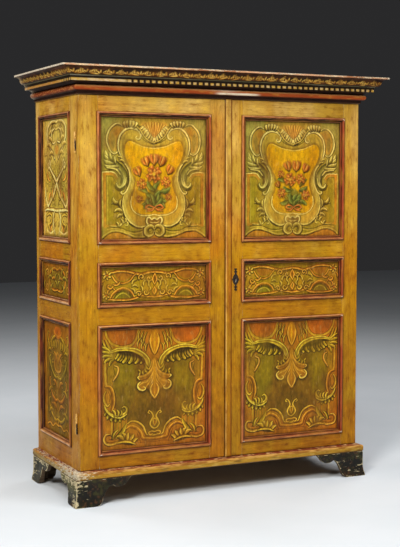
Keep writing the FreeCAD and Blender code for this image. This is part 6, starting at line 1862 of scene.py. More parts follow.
    # straps down the side
    S.line(P((148, 452), (150, 560), (152, 650), (162, 700)), [7, 9, 9, 6], lin(214, 172, 74), 0.95, 1.8, 0.5)
    S.line(P((164, 470), (166, 570), (170, 660)), [5, 6, 4], DARK, 0.55, 3.2)
    S.band(P((232, 486), (262, 500), (266, 548), (246, 600), (222, 640)), [6, 11, 13, 11, 6], (lin(140, 84, 26), lin(214, 148, 72), lin(240, 190, 124)), 1.0, 1.4, 0.55)
    S.line(P((218, 510), (232, 560), (220, 606)), [4, 6, 4], DARK, 0.55, 3.5)
    S.band(P((150, 694), (186, 700), (212, 738), (222, 800), (222, 870), (206, 936)), [7, 14, 18, 19, 18, 10], ORANGES, 1.0, 1.5, 0.65, flip=True)
    S.line(P((232, 740), (244, 820), (236, 910)), [5, 8, 5], DARK, 0.55, 5)
    S.band(P((156, 744), (140, 790), (142, 846), (166, 886), (186, 870)), [6, 13, 17, 14, 7], (lin(112, 74, 20), lin(196, 146, 48), lin(232, 196, 96)), 1.0, 1.4, 0.55)
    S.line(P((176, 746), (192, 800), (186, 850)), [3, 6, 4], DARK, 0.65, 2.8)
    # C-scroll and its fringe
    for a, b, w in (((176, 956), (142, 990), 18), ((204, 976), (164, 1022), 22), ((236, 992), (200, 1042), 23), ((268, 998), (240, 1050), 23), ((298, 994), (282, 1044), 21),
                    ((322, 980), (326, 1022), 16)):
        S.leaf(*P(a, b), w, YGREEN, 0.14)
    cs = P((136, 890), (150, 930), (184, 972), (240, 996), (300, 988), (336, 956), (344, 914), (320, 888), (300, 902))
    S.line(cs, [12, 20, 26, 30, 30, 26, 20, 14, 8], DARK, 0.6, 8, 0, off=(2, -5))
    S.band(cs, [7, 14, 19, 23, 24, 22, 17, 11, 6], (lin(104, 76, 18), lin(194, 150, 40), lin(238, 208, 104)), 1.0, 1.4, 0.75, 0, flip=True)
    S.line(P((138, 900), (158, 946), (196, 982), (246, 1006), (300, 1000), (342, 968)), [2, 4, 5, 5, 5, 2.5], lin(238, 212, 118), 0.9, 1.4, 0.7)
    for a, b, w in (((232, 990), (212, 930), 14), ((256, 992), (250, 926), 14), ((282, 986), (286, 930), 12)):
        S.leaf(*P(a, b), w, (lin(104, 76, 18), lin(200, 156, 46), lin(238, 208, 104)), 0.2)
    # green piers and the leaf across them
    for x, c in ((204, lin(204, 168, 66)), (222, DARK), (240, lin(140, 122, 34)), (266, lin(168, 146, 44)), (292, lin(120, 104, 30)), (318, lin(176, 150, 52))):
        S.line(P((x, 1050), (x + 1, 1120), (x, 1206)), [7, 8, 6], c, 0.75, 2.6, 0.2)
    S.leaf(*P((246, 1206), (338, 1066)), 26, YGREEN, 0.12)
    S.leaf(*P((214, 1214), (262, 1130)), 15, YGREEN, -0.2)
    # strapwork at the foot
    flat = P((340, 1118), (378, 1092), (430, 1108), (468, 1150), (488, 1210), (540, 1216), (600, 1214), (720, 1210))
    S.line(flat, [10, 14, 16, 16, 16, 14, 14, 14], DARK, 0.6, 8, 0, off=(0, -5))
    S.band(flat, [8, 14, 17, 18, 17, 15, 15, 15], ORANGES, 1.0, 1.4, 0.6, 0, flip=True)
    arc = P((352, 1066), (388, 1044), (446, 1056), (492, 1100), (514, 1156), (530, 1180), (600, 1184), (720, 1178))
    S.line(arc, [8, 12, 14, 14, 12, 10, 10, 10], DARK, 0.6, 6, 0, off=(0, -4))
    S.band(arc, [6, 11, 13, 13, 12, 9, 9, 9], (lin(120, 82, 20), lin(206, 152, 52), lin(238, 200, 108)), 1.0, 1.4, 0.6, 0, flip=True)
    S.band(P((186, 1172), (152, 1180), (136, 1222), (154, 1262), (206, 1270), (262, 1254), (322, 1252), (372, 1262)), [6, 12, 15, 17, 17, 16, 15, 8], PEACH, 1.0, 1.4, 0.6)
    S.line(P((182, 1180), (206, 1196), (204, 1222), (180, 1224)), [4, 8, 7, 3], DARK, 0.75, 2.4, 0)
    LEAFY = (lin(128, 82, 20), lin(206, 150, 46), lin(238, 200, 100))
    S.line(P((270, 1240), (320, 1200), (390, 1196), (436, 1236)), [16, 30, 32, 18], DARK, 0.5, 10, 0)
    for a, b, w, bd in (((330, 1262), (252, 1196), 24, 0.18), ((346, 1262), (300, 1166), 24, 0.16), ((362, 1264), (356, 1158), 24, -0.14), ((380, 1264), (408, 1174), 24, -0.18),
                        ((392, 1266), (444, 1214), 22, -0.2)):
        S.leaf(*P(a, b), w, LEAFY, bd)
    S.band(P((256, 1262), (310, 1246), (372, 1250), (420, 1274)), [6, 13, 13, 5], LEAFY, 1.0, 1.4, 0.7, 0.5)
    S.line(P((430, 1150), (452, 1206), (470, 1262)), [4, 7, 4], lin(112, 58, 22), 0.8, 2.6)
    S.line(P((440, 1262), (520, 1250), (600, 1248), (720, 1244)), [3, 6, 6, 6], lin(120, 62, 24), 0.7, 2.6)
    # the small lyre
    lyre = P((548, 936), (572, 956), (586, 992), (566, 1034), (558, 1072), (578, 1106), (600, 1116))
    S.line(lyre, [6, 9, 9, 10, 10, 8, 6], DARK, 0.6, 6, 0, off=(2, -3))
    S.line(lyre, [3, 6, 7, 7.5, 7, 6, 3], lin(222, 180, 84), 1.0, 1.5, 0.6)
    S.line(P((548, 936), (540, 958), (556, 966)), [3, 5, 2], lin(222, 180, 84), 1.0, 1.4, 0.5)
    S.line(P((720, 1010), (600, 1010), (586, 1046), (600, 1086)), [5, 6, 6, 4], lin(212, 166, 70), 0.95, 1.6, 0.5)
    S.fill(P((720, 1030), (606, 1030), (598, 1052), (606, 1074), (720, 1074)), lin(196, 98, 32), 0.9, 3)
    S.line(P((600, 936), (598, 900), (580, 880)), [4, 3, 2], DARK, 0.5, 3)
    S.band(P((600, 1150), (570, 1146), (548, 1160), (560, 1176), (580, 1168)), [6, 9, 9, 7, 4], PEACH, 1.0, 1.3, 0.5)
    return S


def middle_design():
    """The middle door panels: ochre scrollwork on green, a festoon above, arches below."""
    S = Sheet(-10, 288, 173, lin(168, 138, 30), seed=23)
    P = lambda *pts: [((380 - x) * 0.88, (290 - y) * 0.805) for x, y in pts]
    S.fill(P((150, 110), (400, 100), (400, 260), (200, 250), (120, 180)), lin(166, 142, 26), 0.8, 26, vary=0.3)
    S.fill(P((300, 90), (400, 90), (400, 290), (300, 290)), lin(178, 134, 34), 0.6, 26, vary=0.3)
    S.fill(P((50, 80), (110, 80), (130, 290), (50, 290)), lin(180, 132, 40), 0.6, 24, vary=0.3)
    S.line(P((55, 284), (380, 284)), [11], lin(120, 98, 26), 0.7, 5)
    S.line(P((55, 84), (400, 84)), [10], lin(118, 94, 26), 0.7, 5)
    O = (lin(122, 68, 16), lin(210, 134, 42), lin(242, 186, 92))
    # the strap along the top and its festoon
    S.line(P((100, 116), (150, 108), (212, 112), (256, 122), (300, 130), (395, 118)), [12, 14, 14, 14, 14, 14], DARK, 0.55, 7, 0)
    S.fill(P((132, 106), (244, 106), (226, 138), (188, 156), (150, 144)), lin(172, 112, 38), 0.95, 4, vary=0.2)
    S.band(P((112, 100), (160, 92), (212, 96), (256, 108), (300, 116), (340, 108), (395, 104)), [9, 13, 13, 14, 14, 13, 12], O, 1.0, 1.3, 0.55)
    S.band(P((122, 122), (144, 154), (184, 170), (224, 156), (248, 126), (264, 110)), [7, 12, 13, 12, 9, 5], O, 1.0, 1.3, 0.55)
    S.line(P((150, 160), (186, 176), (226, 162), (250, 134)), [3, 5, 5, 3], DARK, 0.75, 3.2, 0)
    # corner rosettes
    for cx, cy, r in ((90, 118, 24), (84, 244, 20)):
        c = P((cx, cy))[0]
        for k in range(6):
            a = 1.05 * k + 0.3
            S.leaf((c[0] + 3 * math.cos(a), c[1] + 3 * math.sin(a)), (c[0] + r * math.cos(a), c[1] + r * math.sin(a) * 0.9), 13, (lin(118, 84, 22), lin(214, 160, 60), lin(244, 206, 120)), 0.12)
        S.fill([(c[0] + 4.5 * math.cos(t), c[1] + 4.5 * math.sin(t)) for t in np.linspace(0, 6.0, 8)], lin(206, 96, 34), 1.0, 1.6, 0.6)
    c = P((106, 184))[0]
    S.band(spiral(c[0], c[1], 17, 3, 200, 560, 14), [9, 9, 8, 7, 5, 3], O, 1.0, 1.1, 0.55, shadow=0.6)
    for a, b, w in (((128, 196), (176, 208), 14), ((126, 172), (168, 160), 14), ((66, 170), (58, 206), 11), ((104, 208), (96, 236), 12), ((72, 150), (60, 178), 10)):
        S.leaf(*P(a, b), w, O, 0.25)
    # arches along the foot
    S.fill(P((128, 262), (146, 236), (184, 216), (222, 230), (244, 262)), lin(128, 120, 34), 0.95, 4)
    S.band(P((108, 264), (126, 234), (160, 208), (198, 204), (232, 222), (254, 256)), [7, 13, 15, 15, 13, 8], O, 1.0, 1.3, 0.55, flip=True)
    S.line(P((130, 262), (150, 234), (186, 220), (218, 232), (238, 258)), [4, 6, 6, 6, 3], lin(74, 66, 16), 0.9, 2.4, 0)
    S.line(P((140, 264), (158, 242), (186, 232), (212, 242), (228, 262)), [3, 4, 4, 4, 2], lin(206, 186, 84), 0.8, 1.6, 0.3)
    S.band(P((96, 268), (170, 272), (250, 266), (300, 250), (336, 258), (395, 264)), [8, 13, 13, 13, 13, 12], O, 1.0, 1.3, 0.55)
    S.line(P((100, 280), (250, 280), (320, 272), (395, 276)), [4], DARK, 0.6, 3)
    for cx, cy, r, a0 in ((284, 240, 17, 20), (328, 232, 18, 160), (298, 134, 17, 330), (344, 146, 18, 200)):
        c = P((cx, cy))[0]
        S.band(spiral(c[0], c[1], r, r * 0.2, a0, a0 + 400, 14), [8, 8, 7.4, 6.4, 5, 3], (lin(118, 72, 18), lin(212, 154, 56), lin(244, 204, 116)), 1.0, 1.1, 0.55, shadow=0.7)
    for a, b, w in (((330, 156), (312, 190), 13), ((352, 160), (352, 198), 13), ((300, 226), (294, 192), 12), ((346, 220), (350, 196), 11), ((266, 150), (240, 178), 13),
                    ((258, 236), (232, 206), 13), ((276, 196), (240, 192), 12)):
        S.leaf(*P(a, b), w, BAND, 0.25)
    S.band(P((384, 112), (370, 150), (380, 186)), [7, 13, 4], O, 1.0, 1.2, 0.5)
    S.band(P((384, 256), (368, 226), (380, 200)), [7, 12, 4], O, 1.0, 1.2, 0.5)
    return S


def sprinkle(S, count, x0, x1, y0, y1, tones, seed):
    """Small leaves crowded behind the ribbons."""
    rs = np.random.RandomState(seed)
    for _ in range(count):
        x, y, a, r = x0 + (x1 - x0) * rs.rand(), y0 + (y1 - y0) * rs.rand(), 2 * math.pi * rs.rand(), 14 + 16 * rs.rand()
        S.leaf((x, y), (x + r * math.cos(a), y + r * math.sin(a)), 7 + 5 * rs.rand(), tones[rs.randint(len(tones))], 0.3 * (1 if rs.rand() > 0.5 else -1), alpha=0.7, shadow=0.4)


def side_upper_design():
    """The upper side panels: pale ribbons that loop, cross and end in curls, on green."""
    S = Sheet(-10, 214, 601, lin(186, 160, 66), seed=33)
    P = lambda *pts: [((277.5 - x) * 1.663, (1400 - y) * 0.505) for x, y in pts]
    S.fill(P((150, 205), (290, 205), (290, 620), (160, 620)), lin(184, 164, 78), 0.8, 30, vary=0.3)
    S.fill(P((150, 640), (290, 700), (290, 1080), (180, 1080), (150, 900)), lin(168, 150, 56), 0.75, 30, vary=0.3)
    S.fill(P((205, 240), (240, 240), (240, 460), (205, 420)), lin(140, 128, 54), 0.7, 14)
    S.fill(P((228, 700), (292, 830), (292, 1040), (240, 1120), (206, 1000), (226, 860)), lin(150, 130, 48), 0.6, 22, vary=0.3)
    sprinkle(S, 110, 14, 178, 20, 575, (BAND, BAND_SOFT, YGREEN), 77)
    S.line(P((158, 215), (158, 700), (158, 1390)), [12], lin(214, 152, 60), 0.75, 5)
    S.line(P((168, 215), (168, 700), (168, 1390)), [4], DARK, 0.45, 4)
    R = (lin(118, 90, 30), lin(214, 186, 98), lin(246, 226, 160))
    for a, b, w in (((250, 240), (226, 300), 22), ((244, 330), (212, 356), 22), ((250, 250), (284, 300), 18)):
        S.leaf(*P(a, b), w, BAND, 0.2)
    S.band(P((292, 250), (262, 232), (226, 240), (200, 290), (196, 380), (214, 470), (244, 540), (262, 600)), [10, 16, 19, 21, 22, 20, 17, 10], R, 1.0, 1.5, 0.7, 0.9)
    S.band(P((262, 300), (238, 330), (232, 400), (246, 440), (266, 430), (264, 404)), [8, 14, 16, 14, 10, 5], R, 1.0, 1.4, 0.6, 0.9)
    for a, b, w in (((240, 436), (206, 396), 24), ((232, 500), (188, 466), 24), ((250, 560), (212, 560), 22), ((262, 470), (286, 520), 20)):
        S.leaf(*P(a, b), w, BAND, 0.2)
    S.fill(P((292, 470), (277, 470), (260, 500), (264, 540), (277, 566), (292, 566)), lin(206, 152, 60), 0.95, 5)
    c = P((206, 664))[0]
    S.line(spiral(c[0], c[1], 28, 26, 0, 350, 12), [16], DARK, 0.5, 8, 0)
    S.band(spiral(c[0], c[1], 28, 5, 120, 560, 16), [13, 14, 14, 12, 9, 5], R, 1.0, 1.4, 0.7, 0.8)
    # the crossing ribbons
    S.band(P((214, 700), (236, 752), (262, 812), (282, 868), (292, 930), (296, 1000)), [14, 19, 21, 22, 22, 19], R, 1.0, 1.5, 0.7, 1.0, flip=True)
    S.line(P((226, 690), (250, 748), (276, 806), (294, 850)), [6], DARK, 0.7, 3)
    S.band(P((296, 800), (280, 860), (266, 920), (246, 985), (218, 1050), (196, 1098)), [19, 22, 22, 21, 18, 12], R, 1.0, 1.5, 0.7, 1.0)
    S.line(P((276, 880), (258, 940), (236, 1000), (208, 1064)), [3, 5, 5, 3], lin(120, 92, 30), 0.7, 2.4)
    S.line(P((172, 900), (174, 980), (186, 1060), (204, 1110)), [6, 12, 13, 8], lin(230, 204, 128), 0.95, 1.8, 0.6)
    S.line(P((182, 900), (184, 980), (196, 1060)), [3, 6, 4], DARK, 0.6, 3)
    for a, b, w in (((222, 950), (206, 1036), 24), ((248, 920), (238, 1010), 18), ((180, 760), (196, 850), 20), ((190, 740), (222, 830), 18)):
        S.leaf(*P(a, b), w, ORANGES if w in (24, 18) else YGREEN, 0.2)
    # the plinth below
    S.band(P((164, 1130), (200, 1118), (240, 1124), (292, 1130)), [12, 17, 17, 17], R, 1.0, 1.4, 0.6, 0.9)
    S.line(P((166, 1140), (164, 1240), (162, 1380)), [11], lin(226, 196, 118), 0.9, 1.8, 0.5)
    S.line(P((174, 1150), (172, 1380)), [5], DARK, 0.5, 3)
    S.band(P((258, 1140), (246, 1200), (248, 1290), (262, 1380)), [10, 16, 16, 10], R, 1.0, 1.4, 0.6, 0.9)
    S.band(P((186, 1180), (210, 1160), (232, 1190), (226, 1250), (200, 1280), (190, 1250)), [9, 16, 18, 16, 12, 5], YGREEN, 1.0, 1.4, 0.6, 0.9)
    S.leaf(*P((206, 1356), (188, 1270)), 24, YGREEN, 0.2)
    S.leaf(*P((214, 1358), (234, 1290)), 22, ORANGES, -0.2)
    S.line(P((160, 1386), (292, 1386)), [14], lin(120, 92, 34), 0.7, 5)
    S.line(P((182, 1340), (216, 1366), (248, 1340)), [6, 10, 6], lin(232, 204, 128), 0.9, 1.6, 0.5)
    return S


def side_middle_design():
    """The middle side panels: a small knot of scrolls."""
    S = Sheet(-10, 214, 172, lin(156, 114, 34), seed=43)
    P = lambda *pts: [((100 - x) * 2.12, (100 - y) * 1.72) for x, y in pts]
    S.fill(P((30, 20), (106, 20), (106, 84), (30, 84)), lin(140, 118, 32), 0.8, 16, vary=0.3)
    S.line(P((2, 6), (106, 6)), [14], lin(196, 124, 40), 0.7, 6)
    S.band(P((104, 20), (78, 14), (52, 26), (42, 48), (52, 70), (74, 80), (104, 76)), [12, 17, 19, 19, 19, 17, 12], ORANGES, 1.0, 1.4, 0.6, 0.8)
    c = P((28, 30))[0]
    S.band(spiral(c[0], c[1], 24, 5, 30, 430, 14), [12, 12, 11, 9, 7, 4], PEACH, 1.0, 1.2, 0.6, 0.8)
    c = P((26, 74))[0]
    S.band(spiral(c[0], c[1], 21, 5, 330, -70, 14), [12, 12, 11, 9, 7, 4], PEACH, 1.0, 1.2, 0.6, 0.8)
    for a, b, w in (((62, 44), (30, 50), 20), ((66, 34), (58, 14), 17), ((66, 62), (52, 88), 17), ((12, 46), (4, 22), 15), ((12, 56), (4, 80), 15), ((86, 48), (62, 48), 18),
                    ((96, 30), (84, 46), 15), ((96, 66), (84, 52), 15)):
        S.leaf(*P(a, b), w, GREENS if w != 18 else ORANGES, 0.2)
    return S


def side_lower_design():
    """The lower side panels: a tall candelabrum of leaves under a canopy."""
    S = Sheet(-10, 214, 575, lin(164, 110, 32), seed=53)
    P = lambda *pts: [((100 - x) * 2.12, (100 - y) * 5.75) for x, y in pts]
    S.fill(P((20, 18), (106, 16), (106, 94), (22, 94), (16, 60)), lin(126, 104, 28), 0.95, 10, vary=0.3)
    S.fill(P((30, 40), (70, 36), (74, 80), (34, 86)), lin(100, 88, 30), 0.7, 30, vary=0.3)
    sprinkle(S, 80, 8, 150, 60, 520, (GREENS, YGREEN, ORANGES), 78)
    S.line(P((12, 12), (14, 40), (16, 70), (14, 96)), [8, 11, 11, 9], lin(220, 172, 78), 0.9, 1.8, 0.5)
    S.line(P((19, 14), (21, 40), (23, 70), (21, 96)), [6], DARK, 0.65, 4)
    S.band(P((106, 14), (84, 12), (62, 15), (46, 20), (34, 19), (24, 14), (28, 9), (38, 10)), [15, 20, 22, 22, 19, 16, 12, 7], YGREEN, 1.0, 1.5, 0.7, 0.9)
    for k in range(6):
        x = 98 - 13 * k
        S.leaf(*P((x, 15.5 + 0.6 * k), (x - 6, 22.5 + 0.4 * k)), 22, YGREEN, 0.16)
    S.fill(P((106, 3), (84, 4), (74, 8), (82, 12), (106, 13)), lin(214, 116, 34), 0.95, 6)
    S.line(P((106, 12), (82, 10), (72, 7)), [7, 7, 4], lin(236, 176, 88), 0.8, 2)
    S.band(P((104, 26), (88, 30), (78, 36), (84, 42), (104, 44)), [15, 20, 22, 20, 15], PEACH, 1.0, 1.4, 0.7, 0.8)
    S.band(P((104, 48), (84, 50), (64, 46), (46, 40), (38, 33), (48, 30), (56, 34)), [12, 19, 20, 19, 15, 11, 5], GREENS, 1.0, 1.4, 0.7, 0.9)
    S.band(P((104, 68), (82, 70), (58, 66), (42, 58), (38, 52), (48, 50)), [12, 19, 20, 17, 13, 6], ORANGES, 1.0, 1.4, 0.7, 0.9)
    S.band(P((104, 86), (80, 88), (56, 84), (40, 77), (34, 71), (44, 69)), [12, 19, 20, 17, 13, 6], YGREEN, 1.0, 1.4, 0.7, 0.9)
    for a, b, w in (((92, 58), (66, 53), 24), ((92, 78), (66, 74), 24), ((60, 60), (36, 64), 22), ((62, 80), (36, 83), 22), ((94, 36), (70, 27), 23), ((50, 26), (30, 26), 20)):
        S.leaf(*P(a, b), w, ORANGES if w > 22 else YGREEN, 0.2)
    S.line(P((101, 22), (101, 60), (101, 94)), [8, 12, 9], lin(212, 164, 64), 0.9, 1.8, 0.5)
    S.band(P((20, 95), (40, 92), (60, 94), (80, 91), (106, 92)), [9, 14, 15, 15, 15], PEACH, 1.0, 1.4, 0.6, 0.9)
    return S


def bouquet(S, kind):
    """A spray of stock garden flowers for the field of an upper panel: orange-red heads over a mass of green."""
    stem_c = (lin(58, 74, 30), lin(96, 114, 50), lin(152, 158, 76))
    red = (lin(162, 74, 22), lin(208, 102, 34), lin(232, 152, 74))
    pale = (lin(182, 98, 28), lin(220, 130, 44), lin(238, 176, 92))
    rs = np.random.RandomState(5 + kind)

    def flower(x, y, r, petals, tones, turn=0.0):
        S.fill([(x + r * 1.08 * math.cos(t), y - 2 + r * 1.08 * math.sin(t)) for t in np.linspace(0, 6.0, 9)], lin(150, 90, 16), 0.45, r * 0.5)
        for ring, count, size in ((1.0, petals, 0.66), (0.62, petals - 1, 0.46)):
            for k in range(count):
                a = 2 * math.pi * k / count + turn + (0.4 if ring < 1 else 0)
                tip = (x + ring * r * math.cos(a), y + ring * r * math.sin(a))
                S.leaf((x + 2 * math.cos(a), y + 2 * math.sin(a)), tip, r * size, tones if ring == 1.0 else pale, 0.12 * (1 if k % 2 else -1), shadow=0.35)
        S.fill([(x + r * 0.20 * math.cos(t), y + r * 0.20 * math.sin(t)) for t in np.linspace(0, 6.0, 8)], lin(238, 190, 60), 0.95, 1.4, 0.5)
        S.line([(x + r * 0.12 * math.cos(t), y + r * 0.12 * math.sin(t)) for t in np.linspace(0, 5.5, 8)], [1.6], lin(120, 56, 16), 0.8, 1.0)

    def tulip(x, y, dx, dy, s, tones):
        for k in (-0.5, 0.5, -0.24, 0.24, 0.0):
            S.leaf((x, y), (x + dx + k * dy * 0.8, y + dy - k * dx * 0.8), s * (1 - 0.3 * abs(k)), tones if abs(k) > 0.1 else pale, 0.16 if k < 0 else -0.16, shadow=0.45)

    if kind == 0:
        stems = [[(0, 290), (18, 330), (34, 368)], [(0, 290), (-18, 330), (-36, 370)], [(0, 300), (0, 374)], [(40, 240), (70, 284), (76, 328)], [(-40, 240), (-72, 276), (-80, 320)],
                 [(0, 150), (2, 220), (-4, 270), (-2, 310)], [(0, 165), (30, 216), (56, 250), (64, 282)], [(0, 165), (-28, 212), (-56, 244), (-66, 272)],
                 [(2, 180), (40, 192), (74, 206)], [(-2, 180), (-40, 188), (-78, 196)]]
        heads = [(-2, 322, 42, 8, red), (64, 284, 27, 7, red), (-68, 274, 27, 7, red), (78, 210, 19, 6, red), (-80, 200, 19, 6, red)]
        tulips = [(34, 366, 16, 44, 20), (-36, 368, -18, 42, 20), (0, 372, 0, 52, 20), (76, 326, 22, 40, 17), (-80, 318, -20, 42, 17)]
        leaves = [((2, 196), (44, 240)), ((-2, 206), (-44, 238)), ((0, 240), (32, 286)), ((-4, 244), (-36, 290)), ((20, 204), (66, 186)), ((-20, 200), (-66, 176)), ((0, 168), (22, 224)),
                  ((36, 236), (86, 256)), ((-38, 232), (-88, 248)), ((10, 172), (58, 158)), ((-10, 172), (-58, 154)), ((0, 168), (-22, 222)), ((4, 160), (40, 206)), ((-4, 160), (-40, 200))]
        knot = (0, 156)
    else:
        stems = [[(0, 280), (16, 316), (20, 350)], [(-10, 280), (-22, 320), (-24, 354)], [(44, 260), (64, 300), (68, 342)], [(-40, 220), (-72, 240), (-84, 264)],
                 [(4, 150), (-6, 206), (-16, 256), (-10, 300)], [(4, 160), (34, 204), (46, 256), (40, 300)], [(2, 160), (-40, 196), (-66, 226)], [(4, 166), (50, 186), (80, 200)],
                 [(0, 240), (-34, 280), (-62, 320)]]
        heads = [(-18, 300, 36, 7, red), (46, 302, 29, 6, red), (-68, 228, 27, 7, red), (80, 218, 25, 6, red), (-72, 330, 21, 6, red)]
        tulips = [(20, 348, 4, 52, 22), (-24, 352, -16, 44, 18), (68, 340, 22, 40, 18), (-84, 262, -14, 26, 13)]
        leaves = [((4, 186), (-36, 214)), ((10, 192), (48, 222)), ((-14, 240), (-56, 262)), ((44, 242), (86, 264)), ((-16, 262), (16, 300)), ((-30, 186), (-76, 176)), ((40, 182), (84, 166)),
                  ((46, 266), (84, 300)), ((-50, 290), (-92, 300)), ((6, 164), (-42, 150)), ((6, 164), (54, 146)), ((4, 168), (26, 222)), ((4, 168), (-16, 224)), ((6, 160), (44, 196))]
        knot = (4, 152)
    S.fill([(-60, 176), (-30, 232), (0, 250), (34, 236), (62, 182), (30, 156), (0, 148), (-32, 156)], lin(96, 104, 40), 0.85, 14)
    for s in stems:
        S.line(s, [6, 5, 4, 3], lin(52, 58, 20), 0.85, 2.0, 0.2)
        S.line([(x - 1, y) for x, y in s], [2.2, 1.8, 1.4], lin(138, 146, 66), 0.7, 1.2, 0.2)
    for a, b in leaves:
        S.leaf(a, b, 22 + 6 * rs.rand(), stem_c, 0.16 * (1 if rs.rand() > 0.5 else -1), shadow=0.5)
    for x, y, dx, dy, sz in tulips:
        tulip(x, y, dx, dy, sz, red)
    for x, y, r, n, tones in heads:
        flower(x, y, r, n, tones, rs.rand())
    # the ribbon that ties it
    kx, ky = knot
    rib = (lin(150, 62, 22), lin(214, 104, 38), lin(242, 172, 96))
    S.band([(kx, ky), (kx + 30, ky + 12), (kx + 46, ky), (kx + 22, ky - 10), (kx, ky)], [5, 10, 10, 8, 4], rib, 1.0, 1.2, 0.5)
    S.band([(kx, ky), (kx - 30, ky + 12), (kx - 46, ky), (kx - 22, ky - 10), (kx, ky)], [5, 10, 10, 8, 4], rib, 1.0, 1.2, 0.5)
    S.band([(kx, ky), (kx + 18, ky - 14), (kx + 44, ky - 18)], [6, 10, 4], rib, 1.0, 1.2, 0.5)
    S.band([(kx, ky), (kx - 16, ky - 15), (kx - 42, ky - 17)], [6, 10, 4], rib, 1.0, 1.2, 0.5)


def panel_art(half, size, seed, extra=None, dull=0.0):
    """art(a, b) for a panel: the half drawing mirrored about the middle with a drift of the hand, then age: stains,
    faded and rubbed patches, the boards' joints."""
    (x0, z0), (x1, z1) = size
    mid = (x0 + x1) / 2

    def art(a, b):
        q = np.column_stack([a, b])
        dx = 7.0 * (noise(q, 120, seed + 1, 2) - 0.5) + 5.0 * (noise(q, 24, seed + 2, 3) - 0.5)
        dy = 7.0 * (noise(q, 130, seed + 3, 2) - 0.5) + 5.0 * (noise(q, 26, seed + 4, 3) - 0.5)
        x, y = a - mid + dx * 0.6, b - z0 + dy
        rgb, lift, low = half.sample(np.abs(x), y)
        if extra is not None:
            over, ol, mask = extra.sample_over(x, y)
            rgb = rgb * (1 - mask[:, None]) + over * mask[:, None]
            lift = np.maximum(lift, ol)
        # age: thin places where the drawing sinks into its ground, and a yellow varnish over all
        thin = half.sink + 0.46 * smooth(noise(q, (54, 100), seed + 13, 3), 0.42, 0.78)
        rgb = blendc(rgb, low, thin * (1.0 if extra is None else 1 - 0.75 * mask))
        side = np.clip(x / 260.0, -1, 1)[:, None]
        rgb = rgb * np.hstack([1 + 0.05 * side, 1 - 0.04 * side, 1 - 0.06 * side]) * np.array(half.glaze)
        stain = noise(q, (140, 220), seed + 5, 3)
        streak = noise(q, (10, 160), seed + 6, 3)
        fine = noise(q, (4, 30), seed + 7, 2)
        rgb = rgb * (0.80 + 0.30 * stain)[:, None] * (0.90 + 0.20 * streak)[:, None] * (0.94 + 0.12 * fine)[:, None]
        brown = smooth(noise(q, (90, 170), seed + 8, 3), 0.52, 0.80)
        rgb = blendc(rgb, lin(120, 74, 22), 0.42 * brown + dull)
        mottle = noise(q, (13, 22), seed + 10, 4)
        rgb = rgb * (0.60 + 0.80 * mottle)[:, None]
        rgb = blendc(rgb, lin(70, 46, 14), 0.22 * smooth(noise(q, (4, 9), seed + 11, 3), 0.62, 0.84))
        rub = smooth(noise(q, (9, 34), seed + 9, 3), 0.70, 0.86)
        rgb = blendc(rgb, lin(206, 168, 92), 0.30 * rub)
        # painted shade along the mouldings' inner edge, darkening the panel where the moulding overhangs it
        edge = np.minimum.reduce([a - x0, x1 - a, b - z0, z1 - b])
        rgb = blendc(rgb, lin(48, 32, 12), 0.62 * np.exp(-np.clip(edge, 0, None) / 5.0))
        # joints of the boards that make up the panel
        wear = 0.16 * rub
        for k, f in enumerate((0.36, 0.71) if (x1 - x0) > 500 else (0.55,)):
            j = x0 + (x1 - x0) * f + 2.0 * noise(np.column_stack([b * 0, b]), (1, 300), seed + 20 + k)
            d = np.abs(a - j)
            seam = smooth(noise(np.column_stack([b * 0, b]), (1, 160), seed + 30 + k), 0.35, 0.75)
            rgb = blendc(rgb, lin(66, 46, 20), 0.32 * seam * np.exp(-(d / 1.4) ** 2))
            lift = lift - 0.25 * seam * np.exp(-(d / 1.8) ** 2)
        return np.clip(rgb, 0, 1), lift * 1.0, wear

    return art


class Overlay:
    """A free drawing over the middle of a panel, kept with its own mask."""

    def __init__(self, kind):
        ground = np.array([-1.0, -1.0, -1.0])
        base = Sheet(-140, 140, 601, FIELD, seed=70 + kind)
        keep = base.rgb.copy()
        bouquet(base, kind)
        changed = np.abs(base.rgb - keep).max(2)
        self.sheet = base
        self.mask = smooth(changed, 0.002, 0.02)

    def sample_over(self, x, y):
        rgb, lift = self.sheet.sample(x, y)
        keep = self.sheet.rgb
        self.sheet.rgb = np.repeat(self.mask[..., None], 3, 2)
        m = self.sheet.sample(x, y)[0][:, 0]
        self.sheet.rgb = keep
        return rgb, lift, np.where(np.abs(x) < 138, m, 0)


